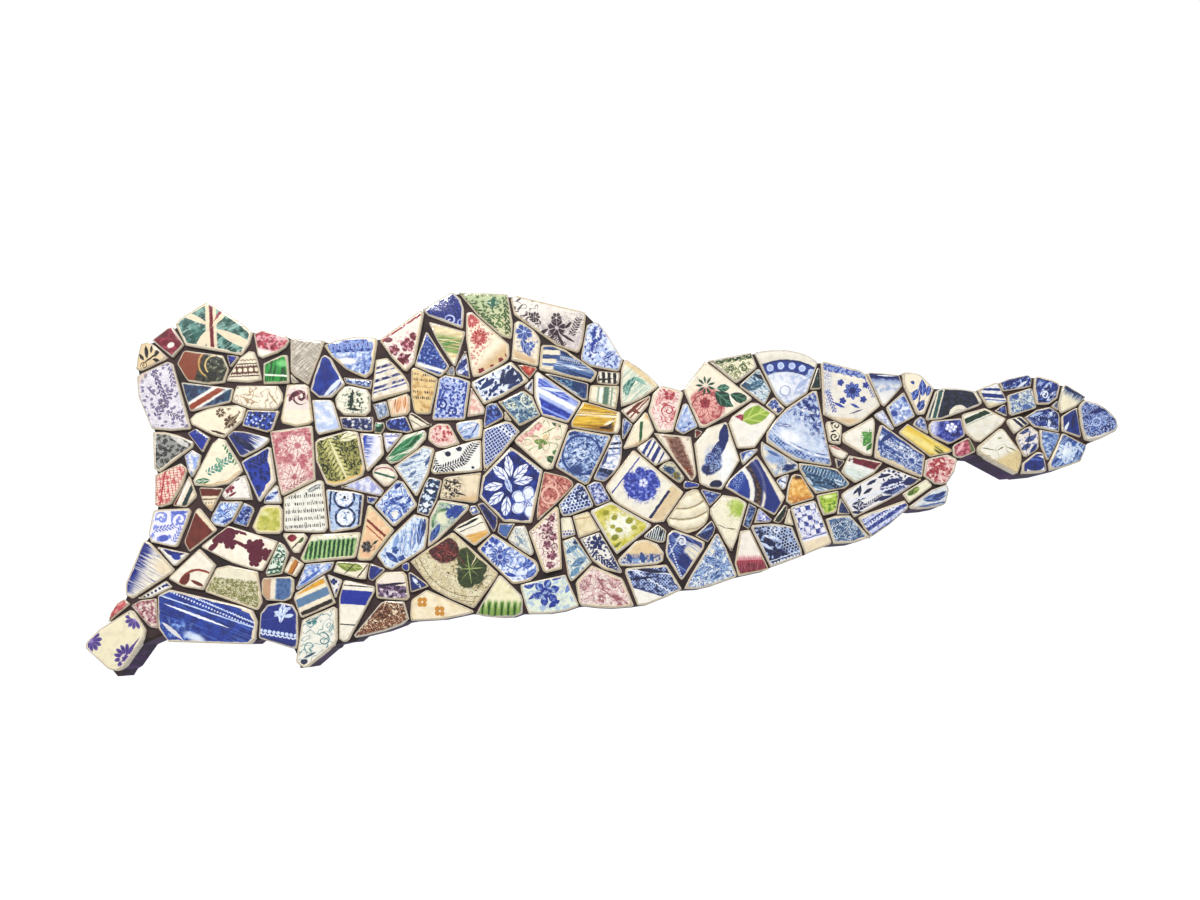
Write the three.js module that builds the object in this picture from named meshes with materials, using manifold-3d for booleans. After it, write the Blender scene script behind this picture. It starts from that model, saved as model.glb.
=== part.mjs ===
import * as THREE from 'three';
import { mergeVertices } from 'three/addons/utils/BufferGeometryUtils.js';
import Module from 'manifold-3d';

// Driving sizes
// Millimetres. The wall is behind the panel at +Y and the shard faces look to -Y.
// X and Z are read off the photo at DRAWN_LENGTH; PANEL_LENGTH rescales them.
const DRAWN_LENGTH = 620;
const PANEL_LENGTH = 620;
const BOARD_THICKNESS = 18;
const BED_THICKNESS = 2;
const SHARD_THICKNESS = 5;
const SHARD_SPREAD = 0.5;
const JOINT = 1.1;
const WORN_EDGE = 0.5;
const WORN_CORNER = 0.9;
const OUTLINE_BALL = 5;
const OUTLINE_SLACK = 0.3;
const PIECES_APART = 57;
const SMALLEST_SHARD = 5;
const KEY_DEPTH = 1;

const PALETTE = {
  cream: 0xe6dcc3, white: 0xe9e8e6, tan: 0xd9bd8c, cobalt: 0x2347a6, navy: 0x1a2460,
  steel: 0x7f98bd, pale: 0xc2cfe2, lilac: 0xb9bedd, pink: 0xd9a29a, crimson: 0x96283f,
  mauve: 0xb28a90, green: 0x4f8050, lime: 0xb5bb45, olive: 0x9a9a5c, teal: 0x2f6f6b,
  amber: 0xd8a32a, orange: 0xdb9a4a, brown: 0x7a5136, grey: 0xa9a7a2, yellow: 0xe0c95c,
};

// The shards
// One row per shard: name, glaze, then its corners x, z in turn, as they lie in the photo.
const SHARDS = [
  ['starburst', 'teal', -255, 99, -252, 103, -236, 113, -230, 110, -218, 102, -209, 95, -211, 88, -216, 81, -249, 87],
  ['crimson_nub', 'crimson', -269, 90, -262, 92, -260, 97, -257, 98, -252, 91, -250, 88, -257, 80],
  ['branch_line', 'tan', -276, 88, -272, 89, -268, 87, -260, 79.5, -268, 76, -276, 72, -279, 73, -278, 80],
  ['grey_sprig', 'lilac', -278, 68, -275, 70, -260, 77, -257, 76, -253, 68, -249, 54, -245, 37, -258, 36, -269, 37, -272, 46, -277, 56],
  ['scroll_dusk', 'brown', -250, 84, -227, 81, -223, 72, -225, 65, -244, 63, -248, 66, -254, 76],
  ['rust_band', 'steel', -253, 67, -244, 62, -219, 63, -221, 53, -229, 52, -246, 47, -249, 57],
  ['', 'cobalt', -224, 81, -217, 80.5, -222, 74],
  ['black_scroll', 'grey', -269, 35, -262, 35, -254, 33, -244.5, 29, -245, 26, -265, 11, -268, 13],
  ['', 'cobalt', -248, 34, -243, 37, -234.5, 31.5, -239, 22.5],
  ['', 'white', -250, 20, -245, 24, -240, 21, -241, 15, -245, 8, -248, 12],
  ['leaf_chain', 'cream', -229, 31.5, -226, 31, -215.5, 14, -215, 10, -221, 4.5, -235, 2, -244, 3, -245, 5, -233, 28],
  ['pink_hatch', 'pink', -267, 9, -252, 16, -248, 13, -251, 3, -258, -8, -264, -10, -267, -9],
  ['', 'teal', -247, 9, -245, 6, -242, -3, -249, -10, -257, -9, -250, 3],
  ['', 'cream', -241, 2, -226, 1.5, -230, -6, -233.5, -13, -239, -7],
  ['cartouche', 'lilac', -268, -12, -247, -11, -246, -13, -253, -33, -256, -34, -270, -31, -271, -26],
  ['', 'crimson', -243, -12, -240, -10, -229.5, -23, -247, -37, -250, -31, -245, -19],
  ['', 'navy', -266, -34, -247, -38, -254, -45.5, -257, -45],
  ['feather_edge', 'cobalt', -274, -30, -270, -32, -255, -48, -273, -60, -281, -65, -285, -63, -285, -56, -280, -45, -276, -37],
  ['', 'white', -261, -54.5, -257, -58.5, -266, -62, -269, -64.5, -278, -65.5],
  ['rust_leaf', 'cream', -241, -35, -231, -45, -238, -60, -250, -58, -259, -54, -258, -51, -254, -48],
  ['olive_print', 'olive', -231, -47, -222, -45, -206, -48.5, -206, -58, -203, -67, -206, -72.5, -221, -65, -238, -61],
  ['', 'crimson', -286, -65.5, -283, -68.5, -295.5, -79, -294, -74, -290, -68],
  ['foot_scallop', 'cream', -309, -92, -301, -84, -283, -72, -280, -73, -273, -84, -274, -89, -279, -96, -286, -106, -290, -108.5, -295, -107.5, -309, -95],
  ['pink_cloud', 'mauve', -282, -69.5, -276, -66, -267, -65, -266, -83, -271, -82],
  ['long_cobalt', 'cobalt', -266, -64, -260, -60, -250, -59, -209, -72, -206, -79, -207, -89, -211, -92.5, -259, -91, -265, -83],
  ['', 'crimson', -208, 94, -203, 96, -189, 93, -187, 90, -189, 86, -194, 83, -203, 79.5, -205.5, 81],
  ['', 'cream', -211, 83.5, -208, 83, -206, 78, -203.5, 66.5, -211, 65, -225, 66, -216, 80],
  ['', 'green', -202, 76, -191, 81, -188, 81, -187, 77, -186, 66, -188, 64, -202, 63.5],
  ['grey_scratch', 'grey', -186, 91, -166, 90, -166, 87, -171, 75, -174, 64, -176, 63.5, -183, 68, -186, 72],
  ['cobalt_wedge', 'cobalt', -167, 80, -165, 81, -160, 78, -153, 65, -154, 62, -160, 56, -169, 56, -174, 60, -170, 74],
  ['rim_landscape', 'pale', -166, 87, -160, 89.5, -148, 92, -134, 91.5, -134, 88, -137, 71, -141, 67.5, -153, 73, -161, 80],
  ['', 'steel', -154, 68, -145, 67, -137, 66.5, -138, 61, -144, 61.5, -150, 64, -154, 65],
  ['', 'grey', -186, 70, -181, 65, -185, 64.5],
  ['pale_swirl', 'cream', -218, 63, -194, 63, -191, 58, -191, 54, -194, 49.5, -197, 48.5, -210, 49, -222, 53.5],
  ['brown_flower', 'cream', -247, 42, -243, 46, -233, 50, -218, 51, -213, 49, -215, 41, -226, 31, -230, 32, -246, 40],
  ['', 'cobalt', -212, 48, -193, 47.5, -197, 36, -200, 35, -215, 39],
  ['maroon_crest', 'pink', -188, 64, -177, 64, -175, 62, -174, 52, -172.5, 42, -175, 40, -183, 38.5, -191, 40.5, -192, 43, -189, 57],
  ['', 'pale', -173, 54, -162, 54, -160, 52, -155, 37, -169, 33.5, -171, 37],
  ['green_figures', 'cream', -155, 62, -148, 63, -141, 61.5, -138, 57, -138, 48, -141, 45, -154, 45.5, -158.5, 50, -159, 55],
  ['', 'navy', -157, 44, -136, 44, -136, 36, -141, 35, -155, 37],
  ['', 'navy', -224, 33, -220, 35.5, -214, 35, -199, 32, -199, 29.5, -203, 26, -213, 20, -216, 20.5],
  ['royal_leaf', 'cobalt', -200, 26, -198, 25.5, -195, 7, -195, 5, -204, -7, -206, -6, -216, 16.5, -213, 19],
  ['', 'white', -220, 7, -213, 9, -211, 3, -209, -5.5, -225, -5.5, -227, -3, -226, 1],
  ['pink_floral', 'pink', -198, 35, -190, 36, -173, 39, -171.5, 37, -172, 26, -170, 7, -190, -3.5, -192, -2],
  ['moulded_leaf', 'olive', -169, 31, -151, 36, -146, 35, -144, 29, -141, 14, -143, 9, -150, 5, -160, 2.5, -165, 4, -172, 20, -172, 28],
  ['cobalt_edge', 'white', -145, 35, -131, 34, -130, 22, -139, 11, -141, 13],
  ['script_rows', 'cream', -190, -4, -170, 6, -166, 5.5, -163.5, -22, -166, -25.5, -190, -24.5],
  ['ring_border', 'pale', -165, 0.5, -142, -1.5, -142, -4, -144, -21, -148, -23, -162, -25.5],
  ['', 'white', -196, 3.5, -193, 2, -191, -5, -192, -8, -202, -8, -201, -4],
  ['', 'lime', -200, -8.5, -193, -9, -191, -12, -191, -24, -193, -26, -206, -26, -209, -22, -209, -17, -204, -10.5],
  ['', 'pale', -228, -7, -215, -7, -221, -19, -225, -22, -233, -20.5, -234, -17],
  ['', 'navy', -214, -7.5, -209, -10, -208, -12, -212, -22, -220.5, -19.5],
  ['vine_leaves', 'cream', -224, -21, -194, -30, -194, -32, -203, -49, -206, -48.5, -221, -43.5, -239, -35, -239.5, -33],
  ['', 'green', -193, -31, -190, -33, -187, -38, -191, -50, -200, -51.5, -201, -49],
  ['', 'cream', -190, -26, -178, -26, -176, -28.5, -181, -37.5, -184, -37.5, -190.5, -28],
  ['green_ribs', 'green', -173, -26, -143, -24.5, -147, -40.5, -163, -41.5, -178, -43.5, -180, -41],
  ['', 'cream', -185, -39.5, -178, -44, -183, -52, -190, -49],
  ['', 'white', -177, -44.5, -160, -43, -162, -48, -170, -53, -182, -60, -183, -59],
  ['', 'steel', -202, -53, -186, -52, -184, -54, -184, -60, -186, -65, -190, -66.5, -200, -66, -203, -62, -203, -55],
  ['amber_stripes', 'amber', -166, -51, -159, -68, -178, -77, -180, -76, -184, -65, -183, -62],
  ['cobalt_sprig', 'cobalt', -200, -69, -192, -67.5, -185, -69, -182, -74, -181.5, -95, -185, -95, -205, -89, -204, -74],
  ['teal_flower', 'cream', -180, -80, -178, -78, -161, -69.5, -158, -71.5, -157.5, -89, -160, -93, -168, -98, -175, -106, -178, -106.5, -182, -104, -183, -100, -181, -95],
  ['', 'white', -164, -50.5, -155, -54, -157, -60, -159, -65],
  ['', 'olive', -158, -43, -152, -42, -138, -44, -140, -53.5, -146, -53, -160, -49],
  ['cobalt_band', 'cobalt', -154, -54, -136, -57.5, -135, -60, -150, -89, -153.5, -91.5, -157, -89, -157, -66],
  ['brown_ornament', 'brown', -132, -68, -129, -66.5, -118, -67, -115, -77.5, -120, -80.8, -130, -84.5, -147, -88.5, -148, -87],
  ['maroon_petals', 'cream', -132.4, 90.2, -107.6, 107.9, -105.8, 107, -108, 89.5, -111, 77.5, -115.5, 71.5, -118, 72.3, -125, 79.8],
  ['navy_lattice', 'navy', -107, 108.5, -90, 118.8, -88, 118.6, -84, 115, -82, 109, -82, 98, -83.5, 97.6, -104.3, 105.6],
  ['green_trellis', 'olive', -85.5, 119.1, -57, 118, -55.6, 117.3, -54.8, 114.4, -52.6, 100.5, -52.4, 91.4, -53.5, 90.8, -60.5, 93.3, -70.1, 101.5, -80.3, 112.8],
  ['red_flower', 'cream', -80.7, 106.4, -76, 106.8, -70, 100.8, -61.5, 94, -54.8, 87.3, -54.4, 82, -55.5, 78.7, -61.5, 74.1, -70, 69.3, -76, 68.1, -77.3, 69.3, -80.6, 94],
  ['green_brush', 'tan', -103.5, 100.5, -102, 101, -81, 95.2, -87, 75, -88.3, 75.3, -96, 87.3],
  ['', 'cobalt', -105.6, 95.1, -103.5, 94.4, -90.8, 74.5, -91.1, 73, -96, 68.5, -98.3, 68.9, -111, 74.5, -111.4, 75.3],
  ['', 'steel', -80.8, 83.5, -79.8, 83, -77.3, 68.1, -79, 67.5, -85.9, 69.6, -86.9, 72.3, -84.8, 77],
  ['', 'steel', -89.8, 74.9, -87.6, 73.8, -87.3, 69, -93, 70],
  ['blue_stripes', 'cream', -134.5, 78, -128, 79.2, -123.8, 75.3, -117.8, 68.9, -115, 64, -114.2, 59.8, -136.5, 53.6, -137.3, 55, -136.1, 65.5, -135, 75.3],
  ['brown_print', 'tan', -114, 72.3, -112.5, 73.6, -110.8, 73.6, -99, 68.5, -97.7, 66.3, -98, 61.8, -99, 56.5, -101.3, 46.8, -103.5, 46, -110.3, 46.2, -111.8, 48.3, -113.6, 58],
  ['lilac_cloud', 'lilac', -97.2, 66.6, -95, 68, -93, 69, -86, 67.8, -78, 65.5, -77.6, 64, -78, 61, -81.2, 42.5, -100.9, 42.3, -101, 44, -99, 56.5],
  ['blue_strokes', 'white', -76.9, 65.4, -68.3, 68.6, -61.5, 73, -54.5, 77.6, -53.3, 77.6, -43.2, 66.8, -43.5, 65.5, -60, 55.8, -69.8, 51.4, -77.3, 63.3],
  ['', 'cream', -77.6, 62, -70.1, 50.5, -69, 47, -70, 46, -79.9, 44.4, -78.4, 54.3],
  ['', 'cobalt', -69, 50.1, -66, 52, -61.9, 52, -57.8, 46, -58.1, 43.8, -69, 37.4, -70.5, 38.3, -69, 45.3],
  ['', 'steel', -136.3, 51.6, -128.6, 53.6, -126.4, 45.6, -132, 42.3, -133.4, 43],
  ['', 'cream', -128.2, 54, -116.3, 58, -114.4, 56, -114.4, 48, -116.3, 45.4, -125.8, 44.1],
  ['', 'cobalt', -128.6, 40.8, -126.4, 42.6, -118.5, 44.4, -116.6, 43.8, -112.9, 35.6, -114.2, 34.4, -126.4, 36.3, -128, 37.8],
  ['', 'green', -135, 41, -130.3, 40.8, -129.4, 37.8, -131.5, 34, -135.4, 34.2, -136.1, 36.5],
  ['', 'cream', -114.6, 46, -113, 46.6, -101, 39.8, -101, 39, -111.5, 36.2, -112.3, 37, -114.8, 43.8],
  ['red_sponge', 'pink', -102.3, 37.4, -98, 39.8, -91.9, 40, -90.4, 38.9, -84.3, 28.8, -84.8, 27.3, -91.5, 25.6, -97.5, 26, -102, 28.8, -103.1, 31],
  ['', 'pale', -86.5, 40, -84, 41.2, -72.8, 43, -70.9, 42.3, -70.5, 34, -71.6, 31.4, -80.3, 29.7, -82.5, 30.6, -86, 36.3],
  ['honeycomb', 'cobalt', -70.3, 36.4, -57, 41.6, -54, 41, -48.4, 35.3, -50.3, 32.3, -60, 20.4, -69, 11.3, -70, 11.6, -70.9, 30],
  ['berry_branch', 'cream', -99.3, 22.5, -97.8, 23.9, -91, 24.2, -84, 25.5, -81.8, 28.8, -72.5, 30.6, -71.3, 28.8, -70.5, 12.5, -72, 11.4, -99, 9.4, -102, 11.3, -100.5, 17.5],
  ['', 'green', -119.5, 33.2, -113, 35.4, -105.8, 35.9, -104.4, 34, -105, 31, -114, 20.5, -119.3, 18.3, -124.5, 16, -126.4, 16.4, -129.4, 19.8, -129, 21, -121, 28],
  ['', 'lilac', -130.5, 34.8, -118, 34, -119.8, 30, -127.7, 22.2, -128.8, 22.8],
  ['', 'cream', -136.8, 11.3, -135, 14.1, -131.3, 15.7, -127.9, 15.7, -122.3, 11.5, -121.4, 8.9, -122.3, 7, -127.1, 2.8, -129.8, 2.5, -136.3, 8.5],
  ['blue_dashes', 'white', -108, 26.8, -100.1, 25.4, -99.6, 23.5, -102.4, 11.5, -108.8, 0, -109.9, -3.1, -111, -3.3, -117, 4, -124.9, 14.6, -124, 15.6, -119, 17.2, -113.4, 19.6],
  ['teal_mottle', 'navy', -102.8, 7.6, -100, 7.4, -95.5, 5.9, -95.3, 4, -99, -8, -103.1, -15.4, -105.8, -14.8, -109.5, -14, -109.9, -12, -108.6, -5, -105, 4],
  ['grey_print', 'cream', -94, 7.2, -92, 7.8, -72, 10.7, -71.2, 10, -73.3, -5.8, -75.5, -7.4, -95.8, -4.9, -96.3, -3.5],
  ['volute', 'white', -121.8, 5.9, -118.1, 4.8, -110.3, -7.6, -110.3, -9.3, -122.3, -21.3, -124.5, -21.3, -135, -10.3, -135, -8.8, -129, -1.6],
  ['', 'lilac', -158, 1.5, -150, 4, -141, 8, -139.5, 8.9, -130.2, 0, -130.5, -1.6, -133, -4, -142, -1, -150, 0],
  ['', 'steel', -139.8, -3.6, -133.6, -4.6, -136.5, -8.4, -139.8, -7.4],
  ['orange_flower', 'orange', -140.2, -9.8, -138, -8.8, -123.8, -24, -124, -25, -133.5, -35.8, -136, -41, -138, -42, -145, -42, -146, -40, -144, -29, -141.6, -18.5],
  ['soft_petals', 'white', -112, -14.5, -109.5, -14.9, -103.1, -16.4, -103, -18.5, -105, -33.5, -106.5, -36.9, -110, -39.2, -115.5, -40.3, -118.5, -42.5, -122.3, -47, -125.3, -47.8, -129, -46.3, -133.9, -39.5, -133.5, -38, -129, -31.1, -122.3, -25.5],
  ['', 'cobalt', -119, -45.5, -117.8, -43.4, -115, -43.8, -114.3, -45.9, -115.2, -48.5, -117.4, -48.9, -118.9, -47],
  ['green_arc', 'steel', -98, -7, -96, -5.8, -80.3, -8, -78.8, -9.5, -79.1, -11.4, -87.8, -17.8, -91.5, -23, -96.8, -29, -102, -33.3, -103.5, -33.5, -103.6, -29.8, -102.8, -17.8, -100.5, -11.8],
  ['', 'steel', -78.6, -11.6, -77.8, -9.6, -74.3, -9.2, -72.2, -13.6, -76.6, -15],
  ['', 'white', -87.8, -24, -84.8, -21.1, -72.4, -14.6, -71, -15, -65.8, -25.3, -66, -26.2, -74.3, -33.1, -76.1, -32.8, -86.3, -25.6],
  ['', 'navy', -74, -8.9, -72.4, -7.7, -70.1, -7.6, -64.5, -11.8, -62, -15.9, -61.9, -20, -63, -24.6, -64.5, -24.6, -69, -17.4],
  ['tulip_ground', 'cobalt', -69, 10.5, -54.5, 25.8, -52.9, 25.7, -34.2, 11.7, -34.1, 10.5, -36, 4.5, -37.6, -5.3, -40.2, -19.8, -59.5, -18.7, -60.8, -14.8, -64.5, -10.4, -71, -6.9, -72.8, -4.6, -71, 1.8, -70.1, 9.3],
  ['', 'steel', -60.4, -20.2, -51.6, -20, -51, -20.8, -55.5, -28.8, -57, -28.9, -61.4, -25.2],
  ['shell_petals', 'pale', -73.5, -34.6, -64.5, -25.8, -63, -25.6, -55.5, -31.3, -47.3, -36.5, -45.8, -39.6, -40.5, -40, -37.5, -44.3, -36.7, -48, -38.3, -51, -42.8, -55, -51.8, -56.3, -55.5, -54.4, -72.8, -38],
  ['big_leaves', 'cream', -88.9, -25.7, -87.4, -26, -80.3, -32, -61.1, -49.3, -61.1, -50.6, -69, -61.3, -75, -70, -76.3, -70.6, -89.3, -65.4, -102, -58.3, -114, -43.5, -113.4, -42.4, -106.5, -37.9],
  ['', 'navy', -139.3, -45.3, -138, -44.1, -130, -47.1, -129.8, -48.5, -135.8, -54.1, -137.6, -54.5, -139.1, -52.6],
  ['purple_scene', 'mauve', -134.2, -53.6, -131.5, -51, -129, -49.4, -118, -49, -116.6, -50.5, -114.4, -63.5, -115.2, -65.8, -118.5, -66.1, -132.8, -65, -134.6, -63.9, -135, -57.5],
  ['', 'cobalt', -114.9, -49.7, -113.8, -49.4, -103, -56.8, -103.2, -58, -112, -61, -113.6, -60.9],
  ['ochre_crosses', 'cream', -112.5, -65.4, -104.5, -60.2, -103, -60.4, -77, -71.6, -76.2, -73.2, -81.8, -74.8, -95.3, -77.4, -113.3, -78.5, -114, -77.8, -114, -68],
  ['green_fronds', 'cream', -60.6, -50.8, -59.4, -50.8, -47.6, -62.5, -46.7, -65, -46.5, -72.8, -47.3, -74.1, -52.5, -76, -60, -76.3, -70.1, -75.6, -74.3, -74.4, -74.5, -73.3],
  ['purple_sprays', 'cream', -54, 115.5, -52, 116.5, -50.3, 117, -8.5, 106.8, -9, 101.3, -10.3, 90, -13, 82.7, -15, 82.6, -27.8, 87.2, -38.5, 97, -51, 104],
  ['lilac_flower', 'cream', -52, 99.8, -49.1, 101.6, -42.8, 99.4, -37.5, 93, -36, 90, -36.6, 82.5, -37, 75.6, -38.3, 74.6, -53, 78.3, -53.6, 80.3, -52.5, 90],
  ['bar_border', 'navy', -35.3, 87, -30, 87, -25, 86.2, -20.3, 84.6, -11.3, 76.8, -2.5, 72, -1.3, 71.2, -4.5, 65, -7.5, 65.4, -36.4, 71.8, -36.4, 75],
  ['blue_rim', 'pale', -8.3, 98.3, -7.3, 99.6, -3, 101.3, -0.8, 100.5, 3.8, 94.5, 13.1, 79.5, 13.9, 77.3, 12.4, 72.9, 10.5, 71.6, -7.5, 75.2, -10.9, 78, -11.3, 81, -10.1, 88.5],
  ['', 'crimson', -49, 75.8, -38.5, 73.6, -37.6, 72.2, -41.4, 67.4, -43.1, 67.4, -49.2, 74.9],
  ['', 'white', -40.2, 67.2, -40, 60, -40.5, 57.6, -45.2, 60.6, -45, 63],
  ['blue_wave', 'cobalt', -39, 71.2, -36.8, 71.6, -24.8, 63, -11.4, 54, -11, 52.5, -15, 47.3, -18.4, 41.3, -21, 40.8, -34.5, 44.8, -35.8, 45.8, -39.8, 58, -39.8, 67.5],
  ['', 'teal', -33, 69.8, -30, 69.6, -7.8, 64.8, -6.6, 63, -7, 54.6, -10.5, 54.4, -24.2, 63.8],
  ['', 'brown', -1.8, 68.3, -0.8, 71.8, 12, 70.9, 12.4, 69, 11.6, 64.5, 9.8, 63.4, 0, 63.8, -1.5, 65.3],
  ['', 'cream', -6.5, 62.2, -4, 63.2, 11.2, 62.6, 11.3, 60, 9.5, 48.9, 7.5, 48.8, -7, 53.4, -7, 60],
  ['teal_leaf', 'cream', 13.9, 77.4, 15.8, 78.3, 24, 73, 29, 69, 35.2, 63.4, 34.9, 62, 24, 54.6, 13, 50.3, 11.6, 51, 12.3, 70, 12.8, 74],
  ['tendrils', 'pale', -47.3, 59.6, -45.6, 59.6, -40.2, 56.2, -35.6, 45.8, -37, 44.6, -47.3, 39, -50.3, 39, -60.3, 50.5, -60.8, 53],
  ['', 'cream', -57.6, 47, -56.6, 48, -51.5, 42.4, -55, 41.6, -57.9, 43.2],
  ['green_stems', 'cream', -37.5, 42.6, -34.5, 44.4, -20, 39.4, -19.1, 38.3, -21, 32, -27, 15, -28.5, 13.2, -31.1, 12.4, -33.8, 13.5, -50.3, 27.8, -51.2, 30, -50.4, 31.3],
  ['amber_glaze', 'amber', -10.9, 53.4, -8.3, 53.2, 0, 50.6, 10.5, 47.8, 12.3, 46.3, 12.3, 38.3, 10.5, 34.3, 6, 34.3, -4.5, 36.8, -15, 37.5, -17, 38.4, -17, 42, -15, 46.3],
  ['steel_swirl', 'steel', -19.5, 34.5, -18, 36, -15, 36.4, 5.3, 33.2, 6.3, 31.5, 5.3, 27, -0.8, 16.8, -3.9, 11.6, -6, 4.6, -8.3, 3.4, -14.3, 4.6, -25.5, 11.2, -26.8, 13.5, -26, 18, -22.5, 27],
  ['navy_bands', 'pale', 6.8, 32.5, 9.8, 33.6, 12.2, 33, 13.4, 28.5, 13, 21, 11.9, 15.8, 9.8, 12, 3.8, 6, 1.5, 5.3, -3.2, 6.4, -4, 8.3, -2.3, 13, 5.3, 24.8, 6.9, 28],
  ['', 'lilac', 13, 42.6, 15, 43.2, 19.6, 39.6, 15, 31, 13.4, 31.2, 12.9, 35],
  ['', 'cream', 12.4, 48.2, 29.5, 57, 31, 56.6, 28.8, 51.2, 21, 41.8, 19.6, 40.8],
  ['green_bar', 'cream', 27, 46.8, 28.5, 46.4, 32.4, 37.4, 32, 34.6, 30, 31.8, 22.5, 26.8, 15, 25, 14, 25.7, 19.8, 38.5],
  ['', 'steel', 31.6, 31.6, 32.5, 31, 42, 19.8, 41.6, 18, 33, 14.2, 31.5, 14.4, 22.6, 24.8, 22.9, 25.8],
  ['blue_blossom', 'cream', 20.3, 25, 21.8, 25, 35.3, 12.4, 51.3, 0.4, 51.4, -0.9, 40.1, -17.6, 38, -19, 32.3, -19.3, 24, -15.9, 15, -11.3, 7.5, -5.3, 3.6, 0.8, 3.1, 2.2],
  ['terracotta', 'pink', -34, 10.8, -32.5, 10.9, -18, 7.2, -16.2, 4.1, -16.6, 1.5, -20.8, -2.5, -26.3, -7, -36.6, -18.2, -37.6, -17.8, -37.8, -14, -36.6, 0, -34.6, 8],
  ['', 'steel', -15, 3.6, -12, 5, -10.5, 4, -4, -6.9, -4.5, -9.8, -17.3, -14.9, -22.3, -15.6, -23.4, -14.8, -25, -9, -24, -7, -19.3, -2],
  ['', 'lilac', -8.3, 1.8, -6.5, 4, -3.8, 5.2, 0, 5, 2, 2, 6.6, -4.4, 5.3, -6.4, -1.5, -9.2, -3.5, -8.3],
  ['yellow_spots', 'yellow', -6, -12.6, 5.3, -7.4, 7.5, -6.6, 15, -12, 24, -16.9, 31.8, -20.4, 24, -27.6, 10.5, -38.4, 9, -38.3, 0, -22.5, -5.3, -14.3],
  ['', 'cream', -23.6, -16.8, -17.4, -16.2, -14.5, -25, -14.8, -26.6, -22.4, -29, -23.3, -28.8],
  ['', 'cream', -16.6, -15.7, -7.5, -12.9, -6.4, -13.5, -0.2, -23.6, -0.6, -24.6, -12.2, -28.7, -13.4, -28.1],
  ['seaweed', 'pink', -27.3, -9.7, -25.3, -10.5, -24.2, -13.5, -24.2, -22.5, -22.5, -45, -23.3, -47.3, -32.3, -49.5, -34.1, -48.4, -35.3, -45, -42.5, -25.9, -42.6, -24.6, -39, -21.4],
  ['', 'pale', -22.4, -30.6, -15.8, -27.9, -14.8, -28.4, -5, -43.1, -5, -44.3, -15, -54.2, -17.6, -54.4, -19.2, -51, -21, -37.5],
  ['', 'navy', -12, -29, -1.5, -25.4, 0, -25.8, 9, -40.5, 13.5, -48.6, 12.5, -49.8, 2.3, -47.4, -4.6, -42],
  ['', 'pale', -54.6, -27.4, -51.9, -22, -45.4, -21.4, -43.9, -24, -39.8, -36, -40.1, -38.3, -42, -39.2, -44.3, -38.6, -54, -31, -55.2, -29.3],
  ['cobalt_leaf', 'cobalt', -47.6, -56.8, -45, -55.6, -22.3, -50.2, -20.8, -50.9, -12.9, -68.6, -13.5, -69.7, -21, -72.3, -30, -73.8, -42.4, -74.3, -43.6, -73.6, -47.5, -60],
  ['pink_transfer', 'pink', -5.5, -45.2, -3, -45.8, 2.3, -49.2, 12, -52, 13.9, -54.3, 16.5, -61.8, 20.3, -68.7, 19.5, -69.7, 7.5, -70.6, -1.5, -70.2, -11.3, -69, -12.4, -67.8, -14.5, -56.1, -13.5, -54.2],
  ['blue_weave', 'cobalt', 15.3, -48, 16.2, -46.8, 30, -45.7, 39, -44.6, 40.2, -45.2, 49, -58.6, 48.6, -59.8, 42, -63, 28.5, -68.4, 24, -69.2, 22.5, -68.6, 15.3, -50],
  ['sponged_trees', 'tan', 10.6, -42.8, 12, -40.6, 21, -31, 25, -29.9, 28.5, -29.9, 34.5, -32.4, 38.2, -37.6, 37.8, -42.4, 33.8, -44.4, 24, -45.4, 12, -45.4],
  ['rose_swirl', 'pink', 35.3, 61.8, 37.5, 62.4, 40, 62, 49.5, 59.3, 50, 57, 44.4, 36.5, 43.5, 35, 35.3, 35, 33.8, 36.8, 29.3, 46.5, 29, 48, 31.5, 57.8],
  ['', 'pale', 50, 51.4, 51.6, 52.2, 52.9, 51.4, 58.5, 39.2, 58.1, 37.9, 50.3, 33.9, 46, 36, 45.1, 37.5],
  ['rose_and_leaf', 'cream', 50, 60.2, 63, 77.6, 64.6, 77.3, 80.5, 64.3, 91.1, 56, 91.1, 54.5, 76.5, 45.2, 63, 37.6, 60, 38, 58.9, 39.8],
  ['festoon', 'olive', 65.3, 77.8, 90.8, 82.6, 94.2, 76.2, 93.8, 73.6, 83, 64.8, 80.5, 64.8],
  ['', 'steel', 94.6, 72.9, 96, 72.7, 103, 62, 103, 60.6, 99.8, 52.6, 98.8, 51.8, 84.6, 62.2, 84.3, 63.6],
  ['cup_rim', 'pale', 91.7, 81.8, 94.5, 83, 102, 83.9, 111.8, 84, 119.3, 82.6, 125.3, 80.3, 131, 76.3, 129.8, 74, 125.3, 60, 124.5, 58.1, 112.5, 50.4, 110.8, 50.5, 104.3, 57, 94.7, 75.2],
  ['', 'white', 104.2, 56, 105.2, 56, 111.2, 50, 111, 48.6, 107.4, 44.8, 106, 45, 99.6, 50.6, 99.8, 51.6],
  ['lime_leaf', 'cream', 90.8, 52.5, 94.5, 52.4, 106, 45, 106, 43.4, 98.3, 34.5, 96.8, 30, 93.8, 26, 84, 25.1, 82, 26, 77.6, 37.5, 77.5, 40.5, 79.5, 44.2],
  ['', 'cream', 35.7, 13.3, 38.3, 16.4, 42, 17.1, 44, 16.7, 50.3, 8.5, 50.5, 7, 48.6, 4.5, 47.2, 4.8, 36.4, 11.9],
  ['speckled_band', 'pink', 32.2, 34.4, 33.5, 34.8, 54, 32.6, 54.8, 31.6, 55, 25, 57.8, 10, 57.4, 8.4, 55.6, 6, 54.4, 6.3, 44.4, 17.6, 42.4, 21.6],
  ['', 'cobalt', 50, 4, 51.6, 5.6, 59.2, 4.1, 59.8, 3.2, 58.8, 1.9, 51.9, 0.7, 50.4, 1.9],
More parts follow.
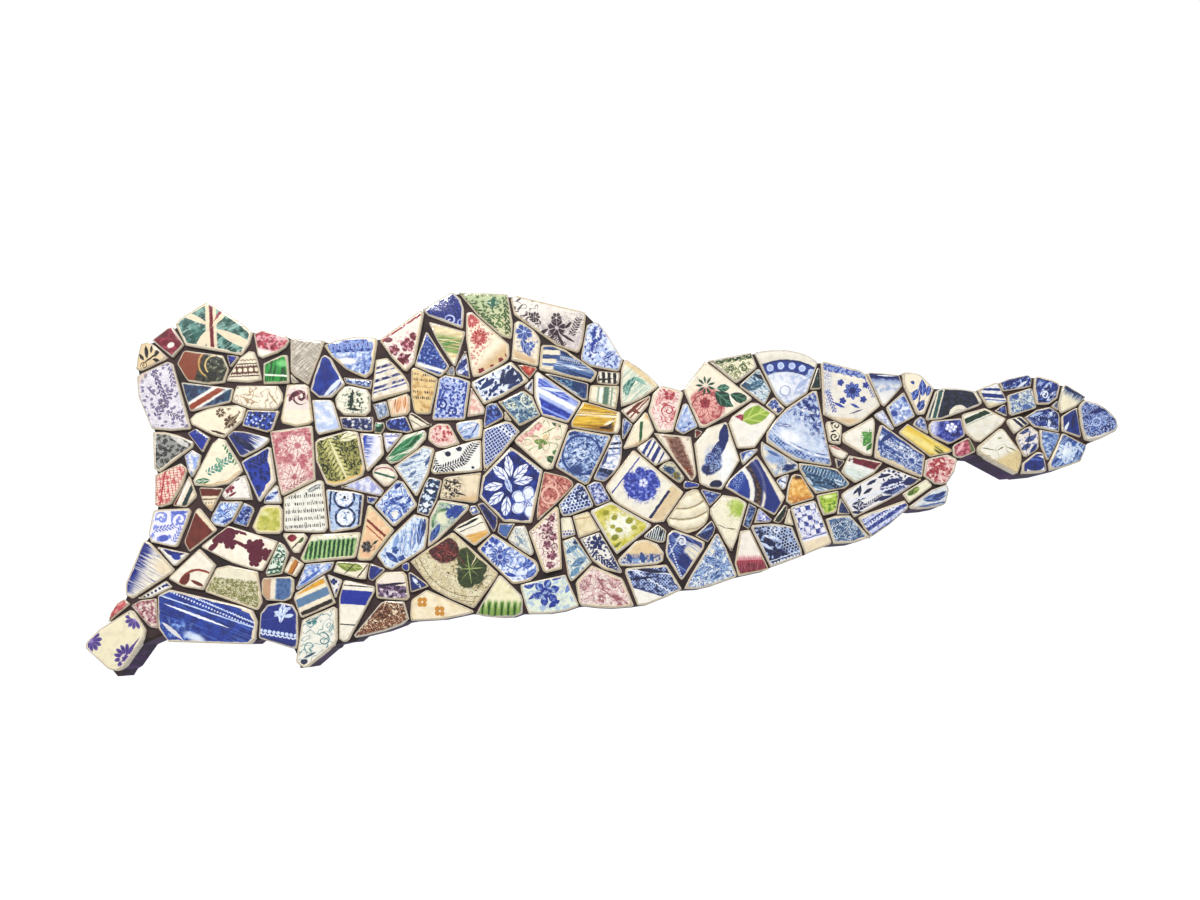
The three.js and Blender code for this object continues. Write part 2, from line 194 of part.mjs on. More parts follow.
  ['navy_stem', 'tan', 62.2, 36.6, 64.5, 37, 75.8, 41.6, 77, 41, 78, 36.2, 83.4, 22.6, 84, 18.3, 82.5, 14.6, 76.3, 5.6, 74, 0.8, 72.8, 0.4, 66, 1.6, 60.9, 3.3, 60, 4.8, 56.8, 27.3, 57.2, 30.6],
  ['', 'crimson', 57.4, 36.6, 61.4, 36, 60, 31, 57.2, 32],
  ['', 'cobalt', 84, 22.2, 88, 23.6, 94.4, 24.8, 94.6, 23.8, 86.6, 15.5, 85.4, 15.2],
  ['brown_blue_bands', 'cobalt', 93.9, 20.9, 95.2, 21.2, 97, 19.8, 111.3, -2, 111.3, -4.3, 105, -15.9, 103.4, -16.6, 90.8, -6.6, 88.5, -5, 76.5, -1.7, 75, 0, 75.1, 2, 76.7, 5.2, 84, 12],
  ['', 'cream', 97.2, 29.4, 98.3, 29.8, 108, 23.6, 117.4, 17.6, 119.2, 15.2, 119.6, 11.8, 112.5, 11.4, 105.5, 7.2, 104.6, 7.8, 97.3, 21.3, 96.9, 25],
  ['plate_rim', 'white', 126.2, 58.8, 127, 59.6, 132, 59.6, 132.8, 58.4, 133.2, 48, 134.4, 42, 135.2, 28, 141.4, 15, 140.6, 14, 121.5, 17, 118.5, 17.6, 108, 22.9, 100.5, 28.8, 99.9, 32.4, 101.4, 37.7, 107.4, 44, 112, 49.4],
  ['', 'cobalt', 106.4, 5.4, 107.2, 6.8, 112.8, 10.2, 114, 9, 112.4, 2.4, 110.4, 0.6, 108.6, 1.2],
  ['orange_glaze', 'orange', 115.4, 8.5, 116.8, 9.5, 120, 9.3, 121.5, 8.2, 128.6, -3.4, 128.2, -4.9, 116.3, -9, 115, -9, 111.9, -6.4, 113, 2.4],
  ['blue_comb', 'navy', 119.6, 16.2, 121, 16.8, 140.3, 13.6, 143.5, 12.4, 150, 5, 149.6, 3.4, 147, 1.2, 140.3, 0.8, 130.5, -1.9, 129.4, -1.8, 123, 7, 119.6, 13.8],
  ['', 'teal', 110.4, -8.9, 111.8, -8.9, 112.6, -10, 111.9, -14, 108.8, -19, 107.2, -19.8, 104.2, -18.2],
  ['', 'cream', 113, -10.9, 114, -11.2, 116.2, -21.2, 110.6, -20, 112.4, -14.4],
  ['blue_check', 'white', 114.4, -10.2, 115.6, -9.4, 128.8, -5.7, 130.4, -6.4, 140.2, -30.6, 139.8, -31.6, 124, -38.5, 122.6, -38, 115.4, -14.5],
  ['', 'lime', 130.3, -3.2, 143, -0.3, 143.8, -1, 142.2, -12.4, 141, -13.5, 134.4, -15, 133.5, -14.6],
  ['', 'navy', 144, -4.8, 145, -5.2, 150, -13.6, 149.4, -14.4, 142.6, -14.2],
  ['pink_streak', 'cream', 145.6, 34, 150, 34.4, 156, 37.6, 163.4, 43.8, 164.6, 43, 165.3, 40.4, 164.3, 22, 162.8, 20.8, 159, 21.4, 146.2, 29, 145.5, 30],
  ['', 'cream', 136.4, 41, 141.8, 41.4, 144.8, 39.8, 145.6, 36, 145.2, 30, 144, 27.6, 139.5, 28, 135.8, 31, 134.4, 35.3],
  ['', 'pink', 137.4, 27.4, 141, 27, 149.2, 22.2, 148.5, 20.4, 145.4, 18.2, 140.2, 21.4],
  ['', 'navy', 141.2, 19.8, 147, 17.9, 144, 13.2, 142.8, 13.2],
  ['crimson_band', 'crimson', 149.6, 20.8, 151, 20.6, 169.2, 16.8, 169.3, 15.8, 164.3, 10, 154.6, 4.9, 153, 4.9, 145.6, 10, 145.2, 11.4],
  ['navy_garden', 'white', 145.6, -2.4, 148.5, 0, 172.4, 13.3, 174.8, 13.7, 192.6, 7, 193, 5.9, 180, -2.8, 154.6, -16.2, 153, -16.2, 145.7, -4.4],
  ['ornament_strip', 'lilac', 156, -15.8, 183, -6.2, 185.4, -8.8, 185, -10.8, 174, -20.4, 166.5, -25.4, 163.2, -27.9, 162, -27.8, 155.3, -17],
  ['', 'lime', 181.9, -2, 183, -1.1, 194.2, 6, 196.5, 6.6, 199.4, 3.8, 199.2, 2.2, 192, -3, 185.7, -7.5, 184.6, -6.4],
  ['', 'pale', 186.2, -9.6, 192, -6.2, 199.5, 0, 208.3, 3.6, 209.2, 2.6, 209.6, 0, 208, -7.4, 206.3, -8.8, 199, -10.2, 192, -10.8, 187, -10.4],
  ['blue_brush', 'steel', 168.4, 38.8, 170.3, 38.8, 194.2, 22.2, 195, 20, 194.4, 10, 192.9, 7.9, 190.5, 8.1, 165.4, 19.2, 164.9, 21, 166, 30.3, 167.6, 36.6],
  ['', 'yellow', 185, 39.8, 186, 39.7, 199, 31.8, 211.4, 25, 211.6, 23.5, 207, 21.6, 199.5, 20.2, 198.2, 20.6, 180.4, 34, 180.2, 35.4],
  ['', 'teal', 130.4, 73.8, 132, 72.6, 132.6, 70, 132.6, 61, 126.4, 60.8],
  ['blue_daisy', 'cream', 132.6, 76, 134.4, 77.3, 156, 72, 159.8, 69.6, 168, 51.8, 168, 50.6, 164.3, 47.3, 156, 40.5, 150.8, 38.4, 147, 39, 134.5, 45, 133.9, 48],
  ['', 'pale', 160.8, 70, 162.4, 71, 179.6, 69.3, 181.7, 63.8, 181.7, 62.4, 171.8, 50.8, 170.3, 50.6, 168.8, 52.6],
  ['cobalt_leaves', 'cream', 180.9, 70, 183, 70.7, 189, 70.4, 192.5, 69, 199.8, 62, 200.2, 60.4, 194.6, 45.6, 192, 45, 190, 46.4, 182.4, 63.6],
  ['', 'pale', 172.3, 50, 182, 58.6, 183, 58.6, 189.3, 45.8, 189, 44.3, 178.5, 38.6, 177, 38.6, 172.5, 48.8],
  ['', 'lilac', 165.2, 45.6, 170, 48.2, 176.8, 37, 175.4, 36, 165.4, 44.2],
  ['', 'steel', 189.9, 42.2, 193, 44.4, 195.4, 42, 197.6, 35, 197, 33.6, 192, 36.5, 188.5, 39.5],
  ['slate_field', 'navy', 202, 59.4, 205.5, 61.3, 214.5, 61.2, 221, 60.4, 226.5, 59.3, 229.4, 54.5, 229.4, 52.2, 227.3, 50.8, 210.8, 44.8, 204.4, 42.9, 196.6, 42.2, 196.2, 43.4],
  ['', 'white', 227.4, 60.4, 229, 60.6, 237, 64.6, 238.8, 64.3, 244.4, 54, 244, 52.7, 235, 48.8, 233.4, 49.8, 229.6, 55],
  ['', 'navy', 237.4, 48, 243, 51.6, 243.8, 51.2, 244.4, 44.4, 243.8, 44.2, 238.6, 46.6],
  ['green_stripe', 'cream', 218, 45, 219, 45.9, 232.8, 49.8, 237, 48, 243.6, 43.9, 244, 42.4, 241.5, 39.3, 230.3, 30.2, 228.8, 29.3, 225.8, 29.6, 219.4, 35, 217.9, 40.3],
  ['', 'lilac', 198, 39.4, 199.9, 41.6, 216.6, 43, 217.4, 41.8, 219.2, 34.4, 218.6, 32.5, 212.3, 28.8, 209.3, 28, 200.4, 32, 197.8, 35.6],
  ['', 'crimson', 212.2, 26, 213.4, 27.5, 220.5, 31.2, 222, 31.2, 226, 24.6, 225.8, 23.4, 218.3, 20.2, 214.5, 19.8, 212.6, 21],
  ['pink_blotch', 'pink', 195.4, 17.8, 201.8, 20.4, 207.8, 21.6, 213.8, 19.2, 214.4, 17.8, 213, 11.3, 208.5, 4.4, 205.5, 3.5, 200.5, 4.1, 194.6, 8.4, 194.2, 9.8],
  ['wavy_line', 'cream', 226.4, 24.6, 227.3, 26.3, 240, 36.8, 241.5, 37.2, 243, 36, 253.2, 22.4, 253.2, 16.5, 251.8, 10.6, 249.8, 10.2, 228, 21.8],
  ['', 'cobalt', 240.6, 64.8, 244.5, 66.6, 257.3, 69.4, 258.8, 68.7, 259.4, 66.5, 258.8, 62.6, 243.8, 59.4, 242.2, 60.4],
  ['', 'pale', 244.8, 56.8, 258.6, 61.2, 260, 60, 262, 49.8, 261.4, 48.6, 247.5, 44.9, 246, 45.9],
  ['', 'cobalt', 261.6, 67.6, 263, 68.4, 270.8, 66.5, 275.2, 64.6, 276.4, 62.4, 274.9, 55.4, 270, 52, 263.3, 51.4, 262.2, 52.6, 260.9, 61],
  ['', 'cream', 278.4, 62.4, 280, 63.5, 286.3, 58.8, 292.4, 55.8, 287, 50.6, 278, 46.1, 276.5, 46.5, 275.6, 51.3],
  ['', 'steel', 271.4, 50.4, 274.6, 53.4, 275.4, 47.8],
  ['', 'cobalt', 255.2, 43.6, 262.3, 48.2, 270.8, 50, 275.8, 46.6, 276.4, 44.5, 276, 35.6, 275, 35.2, 260.4, 38.5],
  ['', 'navy', 278, 44.6, 285.5, 49.3, 286.7, 49.2, 287.4, 42.3, 289.2, 33.3, 288.4, 32, 285.5, 33, 278, 35.7, 277.4, 43],
  ['end_tip', 'cobalt', 288, 49.6, 289.6, 53, 291.5, 54.2, 299, 52, 305, 48.4, 309.9, 43, 311.2, 38.5, 309.5, 35.5, 305, 34, 300.5, 31, 293.8, 29.9, 291.6, 30.5, 288.9, 40],
  ['watery_leaves', 'steel', 278, 33.9, 279.2, 34.1, 289.3, 28, 292.2, 27.2, 292, 24.8, 288.9, 17.6, 281.8, 15, 272, 12.4, 270.6, 12.8, 269.8, 16, 275, 27.3],
  ['', 'steel', 264.2, 36.3, 276, 34.2, 275.6, 31, 269.8, 18.4, 268.6, 18.4, 264.9, 27.3],
  ['', 'cream', 252, 36, 258.8, 38.4, 263.4, 35, 264.3, 27.3, 262.8, 24.2, 257.8, 20.2, 254.6, 20.6, 252.8, 24.3, 250.4, 31],
  ['', 'cream', 245, 42.4, 252.6, 44.4, 255, 43.4, 259, 39.6, 252, 36, 249.6, 33, 244.8, 40.6],
  ['', 'cobalt', 253.8, 16, 262, 22.8, 264.8, 22.8, 266.2, 21.6, 268.4, 12.8, 267.6, 11.4, 255.8, 10.2, 253.8, 11],
  ['', 'lilac', 60.9, -0.2, 61.8, 0.6, 72.6, -2, 72.2, -3.6, 67.1, -8.7, 65.9, -9, 64.9, -8],
  ['ridged_fan', 'cream', 40.3, -17.8, 40.6, -16, 51.8, -1.6, 55.5, 0.2, 58.9, 0.2, 65.5, -10.3, 65.3, -15.5, 63.8, -20, 58.5, -23.7, 54, -25.5, 50.3, -25.2, 41.6, -21.2],
  ['lime_patch', 'cream', 73.4, -2.9, 88, -5.3, 88.9, -6.9, 85.8, -19.3, 83, -26, 78.8, -37.5, 77.4, -37.5, 70.5, -24.5, 66.2, -14, 66.2, -11],
  ['', 'steel', 89.4, -7.4, 93.6, -9.8, 94.2, -11.6, 90.2, -22.4, 89.3, -23, 85.5, -20.8],
  ['', 'lilac', 95.2, -11.4, 96.2, -11.2, 103, -17.6, 102, -19, 92.8, -19.8],
  ['blue_lattice', 'navy', 90.9, -22.4, 92, -20.4, 103.5, -19.9, 110, -20.6, 115.6, -22.2, 122.2, -38, 121.8, -39.2, 108, -44, 103.5, -45.9, 102.4, -45.5],
  ['crimson_fade', 'cream', 84.2, -24.4, 89.2, -23.6, 90.4, -24.3, 100.9, -46.6, 100.4, -47.7, 84, -51.3, 83.2, -51, 81.2, -44, 82.6, -31.3],
  ['pale_leaves', 'pale', 69.6, -26.4, 71.2, -26.4, 73, -28.6, 82.1, -51.1, 81.3, -52.2, 69, -56.6, 60, -58.8, 50.8, -59.3, 50.4, -58.5],
  ['cobalt_petals', 'cobalt', 40.8, -26.8, 43.5, -24.2, 46.5, -24.1, 62, -29.6, 63, -31.2, 62.3, -34.8, 50.4, -52.8, 49.2, -53.8, 48.3, -53, 40.5, -40.3, 39.5, -36.5],
  ['', 'navy', 66.2, -17.9, 68.3, -19.3, 69.2, -22.4, 68, -26.6, 64.3, -31.6, 63.5, -31.2, 57.2, -27.9, 57.2, -26.9, 61.5, -23.8, 65, -20],
  ['', 'teal', 33.6, -20.8, 35.3, -20.9, 39.7, -24.4, 39.4, -29.6, 38.2, -31, 35.3, -31.2, 27, -28.3, 26.8, -27.2],
  ['blue_scales', 'cobalt', 136, -17.4, 142.5, -15.2, 150, -15, 154.5, -18.6, 162.8, -27.4, 162, -28.6, 153, -31, 140.8, -31.8, 140.2, -31],
];

// Where the bare board shows past the shards: the foot and the lower edge
const BOARD_CORNERS = [-291.5, -112, -295, -108, -271.4, -90.4, -210, 96,
  -181, -107, -169, -101, -161, -94.6, -148, -91, -134, -84.4];

// Flat outlines
// Every shard is convex, as beach-worn shards are, and is kept JOINT away from the next.
const drawn = PANEL_LENGTH / DRAWN_LENGTH;

function corners(numbers) {
  const points = [];
  for (let i = 0; i < numbers.length; i += 2) {
    points.push(new THREE.Vector2(numbers[i] * drawn, numbers[i + 1] * drawn));
  }
  return points;
}

function turn(a, b, c) {
  return (b.x - a.x) * (c.y - a.y) - (b.y - a.y) * (c.x - a.x);
}

function convex(points) {
  const sorted = [...points].sort((a, b) => a.x - b.x || a.y - b.y);
  const half = (list) => {
    const chain = [];
    for (const p of list) {
      while (chain.length > 1 && turn(chain.at(-2), chain.at(-1), p) <= 0) chain.pop();
      chain.push(p);
    }
    return chain.slice(0, -1);
  };
  return [...half(sorted), ...half(sorted.reverse())];
}

function keepBelow(points, normal, limit) {
  const kept = [];
  points.forEach((a, i) => {
    const b = points[(i + 1) % points.length];
    const da = normal.dot(a) - limit;
    const db = normal.dot(b) - limit;
    if (da <= 0) kept.push(a);
    if (da * db < 0) kept.push(a.clone().lerp(b, da / (da - db)));
  });
  return kept;
}

function widestGap(a, b) {
  let best = { gap: -Infinity };
  [[a, b, 1], [b, a, -1]].forEach(([one, other, side]) => {
    one.forEach((p, i) => {
      const q = one[(i + 1) % one.length];
      const normal = new THREE.Vector2(q.y - p.y, p.x - q.x).normalize();
      const face = normal.dot(p);
      const gap = Math.min(...other.map((v) => normal.dot(v))) - face;
      if (gap > best.gap) best = { gap, normal: normal.multiplyScalar(side), middle: (face + gap / 2) * side };
    });
  });
  return best;
}

function openJoints(shards) {
  for (let i = 0; i < shards.length; i += 1) {
    for (let j = i + 1; j < shards.length; j += 1) {
      const { gap, normal, middle } = widestGap(shards[i].outline, shards[j].outline);
      if (gap < JOINT) {
        shards[i].outline = keepBelow(shards[i].outline, normal, middle - JOINT / 2);
        shards[j].outline = keepBelow(shards[j].outline, normal.clone().negate(), -middle - JOINT / 2);
      }
    }
  }
}

function tidy(points, shortest, flattest) {
  const kept = points.filter((p, i) => p.distanceTo(points[(i + 1) % points.length]) > shortest);
  return kept.filter((p, i) => {
    const a = kept.at(i - 1);
    const b = kept[(i + 1) % kept.length];
    return Math.abs(turn(a, p, b)) / a.distanceTo(b) > flattest;
  });
}

function wearCorners(points, cut) {
  return points.flatMap((p, i) => {
    const a = points.at(i - 1).clone().sub(p);
    const b = points[(i + 1) % points.length].clone().sub(p);
    const sharp = a.dot(b) / (a.length() * b.length()) > -0.35;
    if (!sharp || Math.min(a.length(), b.length()) < 3 * cut) return [p];
    return [p.clone().add(a.setLength(cut)), p.clone().add(b.setLength(cut))];
  });
}

// An edge too short for its bevel is drawn together to one point.
function roomForBevel(points, bevel) {
  const loss = points.map((p, i) => {
    const a = p.clone().sub(points.at(i - 1));
    const b = points[(i + 1) % points.length].clone().sub(p);
    return bevel * Math.tan(Math.acos(THREE.MathUtils.clamp(a.dot(b) / (a.length() * b.length()), -1, 1)) / 2);
  });
  const short = points.findIndex((p, i) => {
    const next = (i + 1) % points.length;
    return p.distanceTo(points[next]) - loss[i] - loss[next] < 0.1;
  });
  if (short < 0 || points.length < 4) return points;
  const next = (short + 1) % points.length;
  const joined = points[short].clone().lerp(points[next], 0.5);
  return roomForBevel(points.map((p, i) => (i === short ? joined : p)).filter((p, i) => i !== next), bevel);
}

// The board's outline
// A ball rolled once round all the shards closes the joints at the edge, and the points it
// touches are thinned until none lies further than OUTLINE_SLACK from the line.
function sampled(points, step) {
  return points.flatMap((p, i) => {
    const q = points[(i + 1) % points.length];
    const count = Math.ceil(p.distanceTo(q) / step);
    return Array.from({ length: count }, (_, k) => p.clone().lerp(q, k / count));
  });
}

function rollRound(points, ball) {
  const start = points.reduce((a, b) => (b.y < a.y ? b : a));
  const path = [start];
  let here = start;
  let angle = -Math.PI / 2;
  do {
    let best = { turned: Infinity };
    for (const q of points) {
      const dx = q.x - here.x;
      const dy = q.y - here.y;
      const d = Math.hypot(dx, dy);
      if (d < 1e-6 || d > 2 * ball) continue;
      const toward = Math.atan2(dy, dx) - Math.acos(d / (2 * ball));
      const turned = ((toward - angle) % (2 * Math.PI) + 2 * Math.PI) % (2 * Math.PI);
      if (turned < best.turned - 1e-9 && turned > 1e-7) best = { turned, q, centre: toward };
    }
    const cx = here.x + ball * Math.cos(best.centre);
    const cy = here.y + ball * Math.sin(best.centre);
    angle = Math.atan2(cy - best.q.y, cx - best.q.x);
    here = best.q;
    path.push(here);
  } while (here !== start && path.length < 5000);
  path.pop();
  return path;
}

function thinned(points, slack) {
  if (points.length < 3) return points;
  const a = points[0];
  const b = points.at(-1);
  let far = 0;
  let worst = 0;
  points.forEach((p, i) => {
    const off = Math.abs(turn(a, b, p)) / a.distanceTo(b);
    if (off > worst) [worst, far] = [off, i];
  });
  if (worst < slack) return [a, b];
  return [...thinned(points.slice(0, far + 1), slack).slice(0, -1), ...thinned(points.slice(far), slack)];
}

function thinnedLoop(points, slack) {
  const half = Math.floor(points.length / 2);
  const first = thinned(points.slice(0, half + 1), slack);
  const second = thinned([...points.slice(half), points[0]], slack);
  return [...first.slice(0, -1), ...second.slice(0, -1)];
}

// Solids
// A slab is drawn in X and Z and stands on a plane, growing towards -Y.
function slab(outline, thickness, worn = 0) {
  const shape = new THREE.Shape(outline);
  const geometry = new THREE.ExtrudeGeometry(shape, {
    depth: thickness - 2 * worn, steps: 1, curveSegments: 1,
    bevelEnabled: worn > 0, bevelThickness: worn, bevelSize: worn, bevelOffset: -worn, bevelSegments: 1,
  });
  geometry.translate(0, 0, worn);
  geometry.rotateX(Math.PI / 2);
  return geometry;
}

const wasm = await Module();
wasm.setup();

function solidOf(geometry) {
  const bare = geometry.clone();
  bare.deleteAttribute('normal');
  bare.deleteAttribute('uv');
  const merged = mergeVertices(bare, 1e-4);
  return new wasm.Manifold(new wasm.Mesh({
    numProp: 3, vertProperties: merged.attributes.position.array, triVerts: new Uint32Array(merged.index.array),
  }));
}

function geometryOf(solid) {
  const mesh = solid.getMesh();
  const geometry = new THREE.BufferGeometry();
  geometry.setAttribute('position', new THREE.BufferAttribute(new Float32Array(mesh.vertProperties), 3));
  geometry.setIndex([...mesh.triVerts]);
  geometry.computeVertexNormals();
  return geometry;
}

function glaze(colour) {
  return new THREE.MeshStandardMaterial({ color: colour, roughness: 0.32, metalness: 0 });
}

function named(name, geometry, material) {
  const mesh = new THREE.Mesh(geometry, material);
  mesh.name = name;
  return mesh;
}

// Laying out the shards
// Joints are opened first. The largest shards are pieces of their own, and the rest are
// one piece with the bed they are stuck in.
const shards = SHARDS.map(([name, colour, ...numbers], i) => ({
  name: name || `shard_${i}`, colour, outline: convex(corners(numbers)),
  thickness: SHARD_THICKNESS + SHARD_SPREAD * Math.round(10 * Math.sin(i * 2.4)) / 10,
}));
openJoints(shards);
for (const shard of shards) {
  shard.outline = tidy(shard.outline, 0.5, 0.2);
  shard.area = shard.outline.length > 2 ? THREE.ShapeUtils.area(shard.outline) : 0;
}
const laid = shards.filter((s) => s.area > SMALLEST_SHARD).sort((a, b) => b.area - a.area);
const apart = laid.slice(0, PIECES_APART);
const fused = laid.slice(PIECES_APART);

const edgePoints = [...laid.flatMap((s) => sampled(s.outline, 1.5)), ...corners(BOARD_CORNERS)];
const boardOutline = thinnedLoop(rollRound(edgePoints, OUTLINE_BALL), OUTLINE_SLACK);

// Backing
// The painted board is flat on the wall. The bed covers its whole face, and the small
// shards are keyed into it and joined to it.
const backing = new THREE.Group();
const board = named('board', slab(boardOutline, BOARD_THICKNESS),
  new THREE.MeshStandardMaterial({ color: 0x2b1f3f, roughness: 0.7, metalness: 0 }));

let bedSolid = solidOf(slab(boardOutline, BED_THICKNESS));
for (const shard of fused) {
  const stub = slab(shard.outline, shard.thickness + KEY_DEPTH);
  stub.translate(0, KEY_DEPTH - BED_THICKNESS, 0);
  bedSolid = bedSolid.add(solidOf(stub));
}
const bed = named('bed_with_small_shards', geometryOf(bedSolid),
  new THREE.MeshStandardMaterial({ color: 0x3a2426, roughness: 0.85, metalness: 0 }));
bed.position.y = -BOARD_THICKNESS;
backing.add(board, bed);

// Large shards
const large = new THREE.Group();
large.position.y = -(BOARD_THICKNESS + BED_THICKNESS);
for (const shard of apart) {
  const middle = shard.outline.reduce((sum, p) => sum.add(p), new THREE.Vector2()).divideScalar(shard.outline.length);
  const outline = roomForBevel(wearCorners(shard.outline, WORN_CORNER), WORN_EDGE).map((p) => p.clone().sub(middle));
  const mesh = named(`${shard.name}_shard`.replace('shard_shard', 'shard'),
    slab(outline, shard.thickness, WORN_EDGE), glaze(PALETTE[shard.colour]));
  mesh.position.set(middle.x, 0, middle.y);
  large.add(mesh);
}

const panel = new THREE.Group();
panel.add(backing, large);

export default panel;
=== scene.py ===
import math
import random

import bmesh
import bpy
import numpy as np
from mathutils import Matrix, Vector, noise


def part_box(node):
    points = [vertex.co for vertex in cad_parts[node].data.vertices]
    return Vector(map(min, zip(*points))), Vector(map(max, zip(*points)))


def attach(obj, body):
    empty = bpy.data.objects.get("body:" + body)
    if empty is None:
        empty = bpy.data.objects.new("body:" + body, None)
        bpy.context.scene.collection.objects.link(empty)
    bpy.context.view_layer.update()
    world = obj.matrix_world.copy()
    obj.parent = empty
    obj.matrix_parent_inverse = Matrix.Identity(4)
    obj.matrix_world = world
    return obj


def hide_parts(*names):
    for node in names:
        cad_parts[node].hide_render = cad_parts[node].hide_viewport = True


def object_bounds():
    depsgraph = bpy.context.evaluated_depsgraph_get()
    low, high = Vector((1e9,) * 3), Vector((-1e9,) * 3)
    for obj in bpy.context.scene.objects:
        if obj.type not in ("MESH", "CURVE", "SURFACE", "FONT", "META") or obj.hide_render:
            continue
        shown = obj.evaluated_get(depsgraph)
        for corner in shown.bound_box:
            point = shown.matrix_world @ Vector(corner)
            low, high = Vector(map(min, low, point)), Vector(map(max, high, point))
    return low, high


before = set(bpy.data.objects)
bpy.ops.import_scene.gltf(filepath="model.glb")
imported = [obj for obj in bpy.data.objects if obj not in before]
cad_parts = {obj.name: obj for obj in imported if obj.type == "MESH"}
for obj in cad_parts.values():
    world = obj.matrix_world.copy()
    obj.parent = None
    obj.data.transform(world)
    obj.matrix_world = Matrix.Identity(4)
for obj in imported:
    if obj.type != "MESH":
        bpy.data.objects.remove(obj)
box_before = [list(corner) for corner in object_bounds()]

# Stage, lights and camera
# A wide pale floor far below the panel and a near-white room, so that the panel hangs
# free as it does in the photograph. Two soft boxes light it from in front and above.
ROOM_WHITE = (0.93, 0.94, 0.96, 1)
ROOM_LIGHT = 0.36
FLOOR_DROP = 1.3
FLOOR_REACH = 14.0
FLOOR_GLOW = (0.3, 0.95)
ROOM_SEEN = 1.15

sheet = bmesh.new()
bmesh.ops.create_circle(sheet, cap_ends=True, segments=96, radius=FLOOR_REACH)
bmesh.ops.translate(sheet, verts=sheet.verts, vec=(0, 0, -FLOOR_DROP))
floor_mesh = bpy.data.meshes.new("floor")
sheet.to_mesh(floor_mesh)
sheet.free()
floor = bpy.data.objects.new("floor", floor_mesh)
bpy.context.collection.objects.link(floor)
floor_paint = bpy.data.materials.new("pale floor")
floor_paint.use_nodes = True
floor_tree = floor_paint.node_tree
floor_shader = floor_tree.nodes["Principled BSDF"]
for name, value in (("Base Color", (0.9, 0.9, 0.9, 1)), ("Roughness", 0.9), ("Emission Color", (1, 1, 1, 1))):
    floor_shader.inputs[name].default_value = value
to_camera = floor_tree.nodes.new("ShaderNodeLightPath")
glow = floor_tree.nodes.new("ShaderNodeMapRange")
glow.inputs["To Min"].default_value, glow.inputs["To Max"].default_value = FLOOR_GLOW
floor_tree.links.new(to_camera.outputs["Is Camera Ray"], glow.inputs["Value"])
floor_tree.links.new(glow.outputs["Result"], floor_shader.inputs["Emission Strength"])
floor_mesh.materials.append(floor_paint)

room = bpy.data.worlds.new("studio")
room.use_nodes = True
backdrop, lit = room.node_tree.nodes["Background"], room.node_tree.nodes.new("ShaderNodeLightPath")
backdrop.inputs["Color"].default_value = ROOM_WHITE
seen = room.node_tree.nodes.new("ShaderNodeMapRange")
room.node_tree.links.new(lit.outputs["Is Camera Ray"], seen.inputs["Value"])
seen.inputs["To Min"].default_value, seen.inputs["To Max"].default_value = ROOM_LIGHT, ROOM_SEEN
room.node_tree.links.new(seen.outputs["Result"], backdrop.inputs["Strength"])
bpy.context.scene.world = room


def soft_box(name, place, aim, size, power):
    lamp = bpy.data.lights.new(name, "AREA")
    lamp.shape, lamp.size, lamp.energy = "DISK", size, power
    stand = bpy.data.objects.new(name, lamp)
    bpy.context.collection.objects.link(stand)
    stand.location = place
    stand.rotation_euler = (Vector(aim) - Vector(place)).to_track_quat("-Z", "Y").to_euler()


soft_box("key", (-0.42, -1.12, 0.9), (0, 0, 0), 0.34, 18)
soft_box("fill", (0.9, -1.0, 1.1), (0, 0, 0), 0.5, 6)

PHOTO_WIDTH = 1200
SENSOR_WIDTH = 36
LENS_RISE = 190
CAMERA_BACK = 0.61
CAMERA_LOW = -0.09
FOCAL_PIXELS = 975
lens = bpy.data.cameras.new("camera")
lens.sensor_width = SENSOR_WIDTH
lens.lens = SENSOR_WIDTH * FOCAL_PIXELS / PHOTO_WIDTH
lens.shift_y = LENS_RISE / PHOTO_WIDTH
lens.clip_start = 0.01
camera = bpy.data.objects.new("camera", lens)
bpy.context.collection.objects.link(camera)
camera.location = (0, -CAMERA_BACK, CAMERA_LOW)
camera.rotation_euler = (math.pi / 2, 0, 0)
bpy.context.scene.camera = camera
bpy.context.scene.view_settings.view_transform = "Standard"


# Board
# One thick sawn board cut to the panel's outline, its sides brushed with dark purple
# paint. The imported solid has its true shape, so it stays and only gets its paint.
def linear(colour, alpha=1.0):
    parts = [int(colour[i:i + 2], 16) / 255 for i in (0, 2, 4)]
    return [p / 12.92 if p < 0.04045 else ((p + 0.055) / 1.055) ** 2.4 for p in parts] + [alpha]


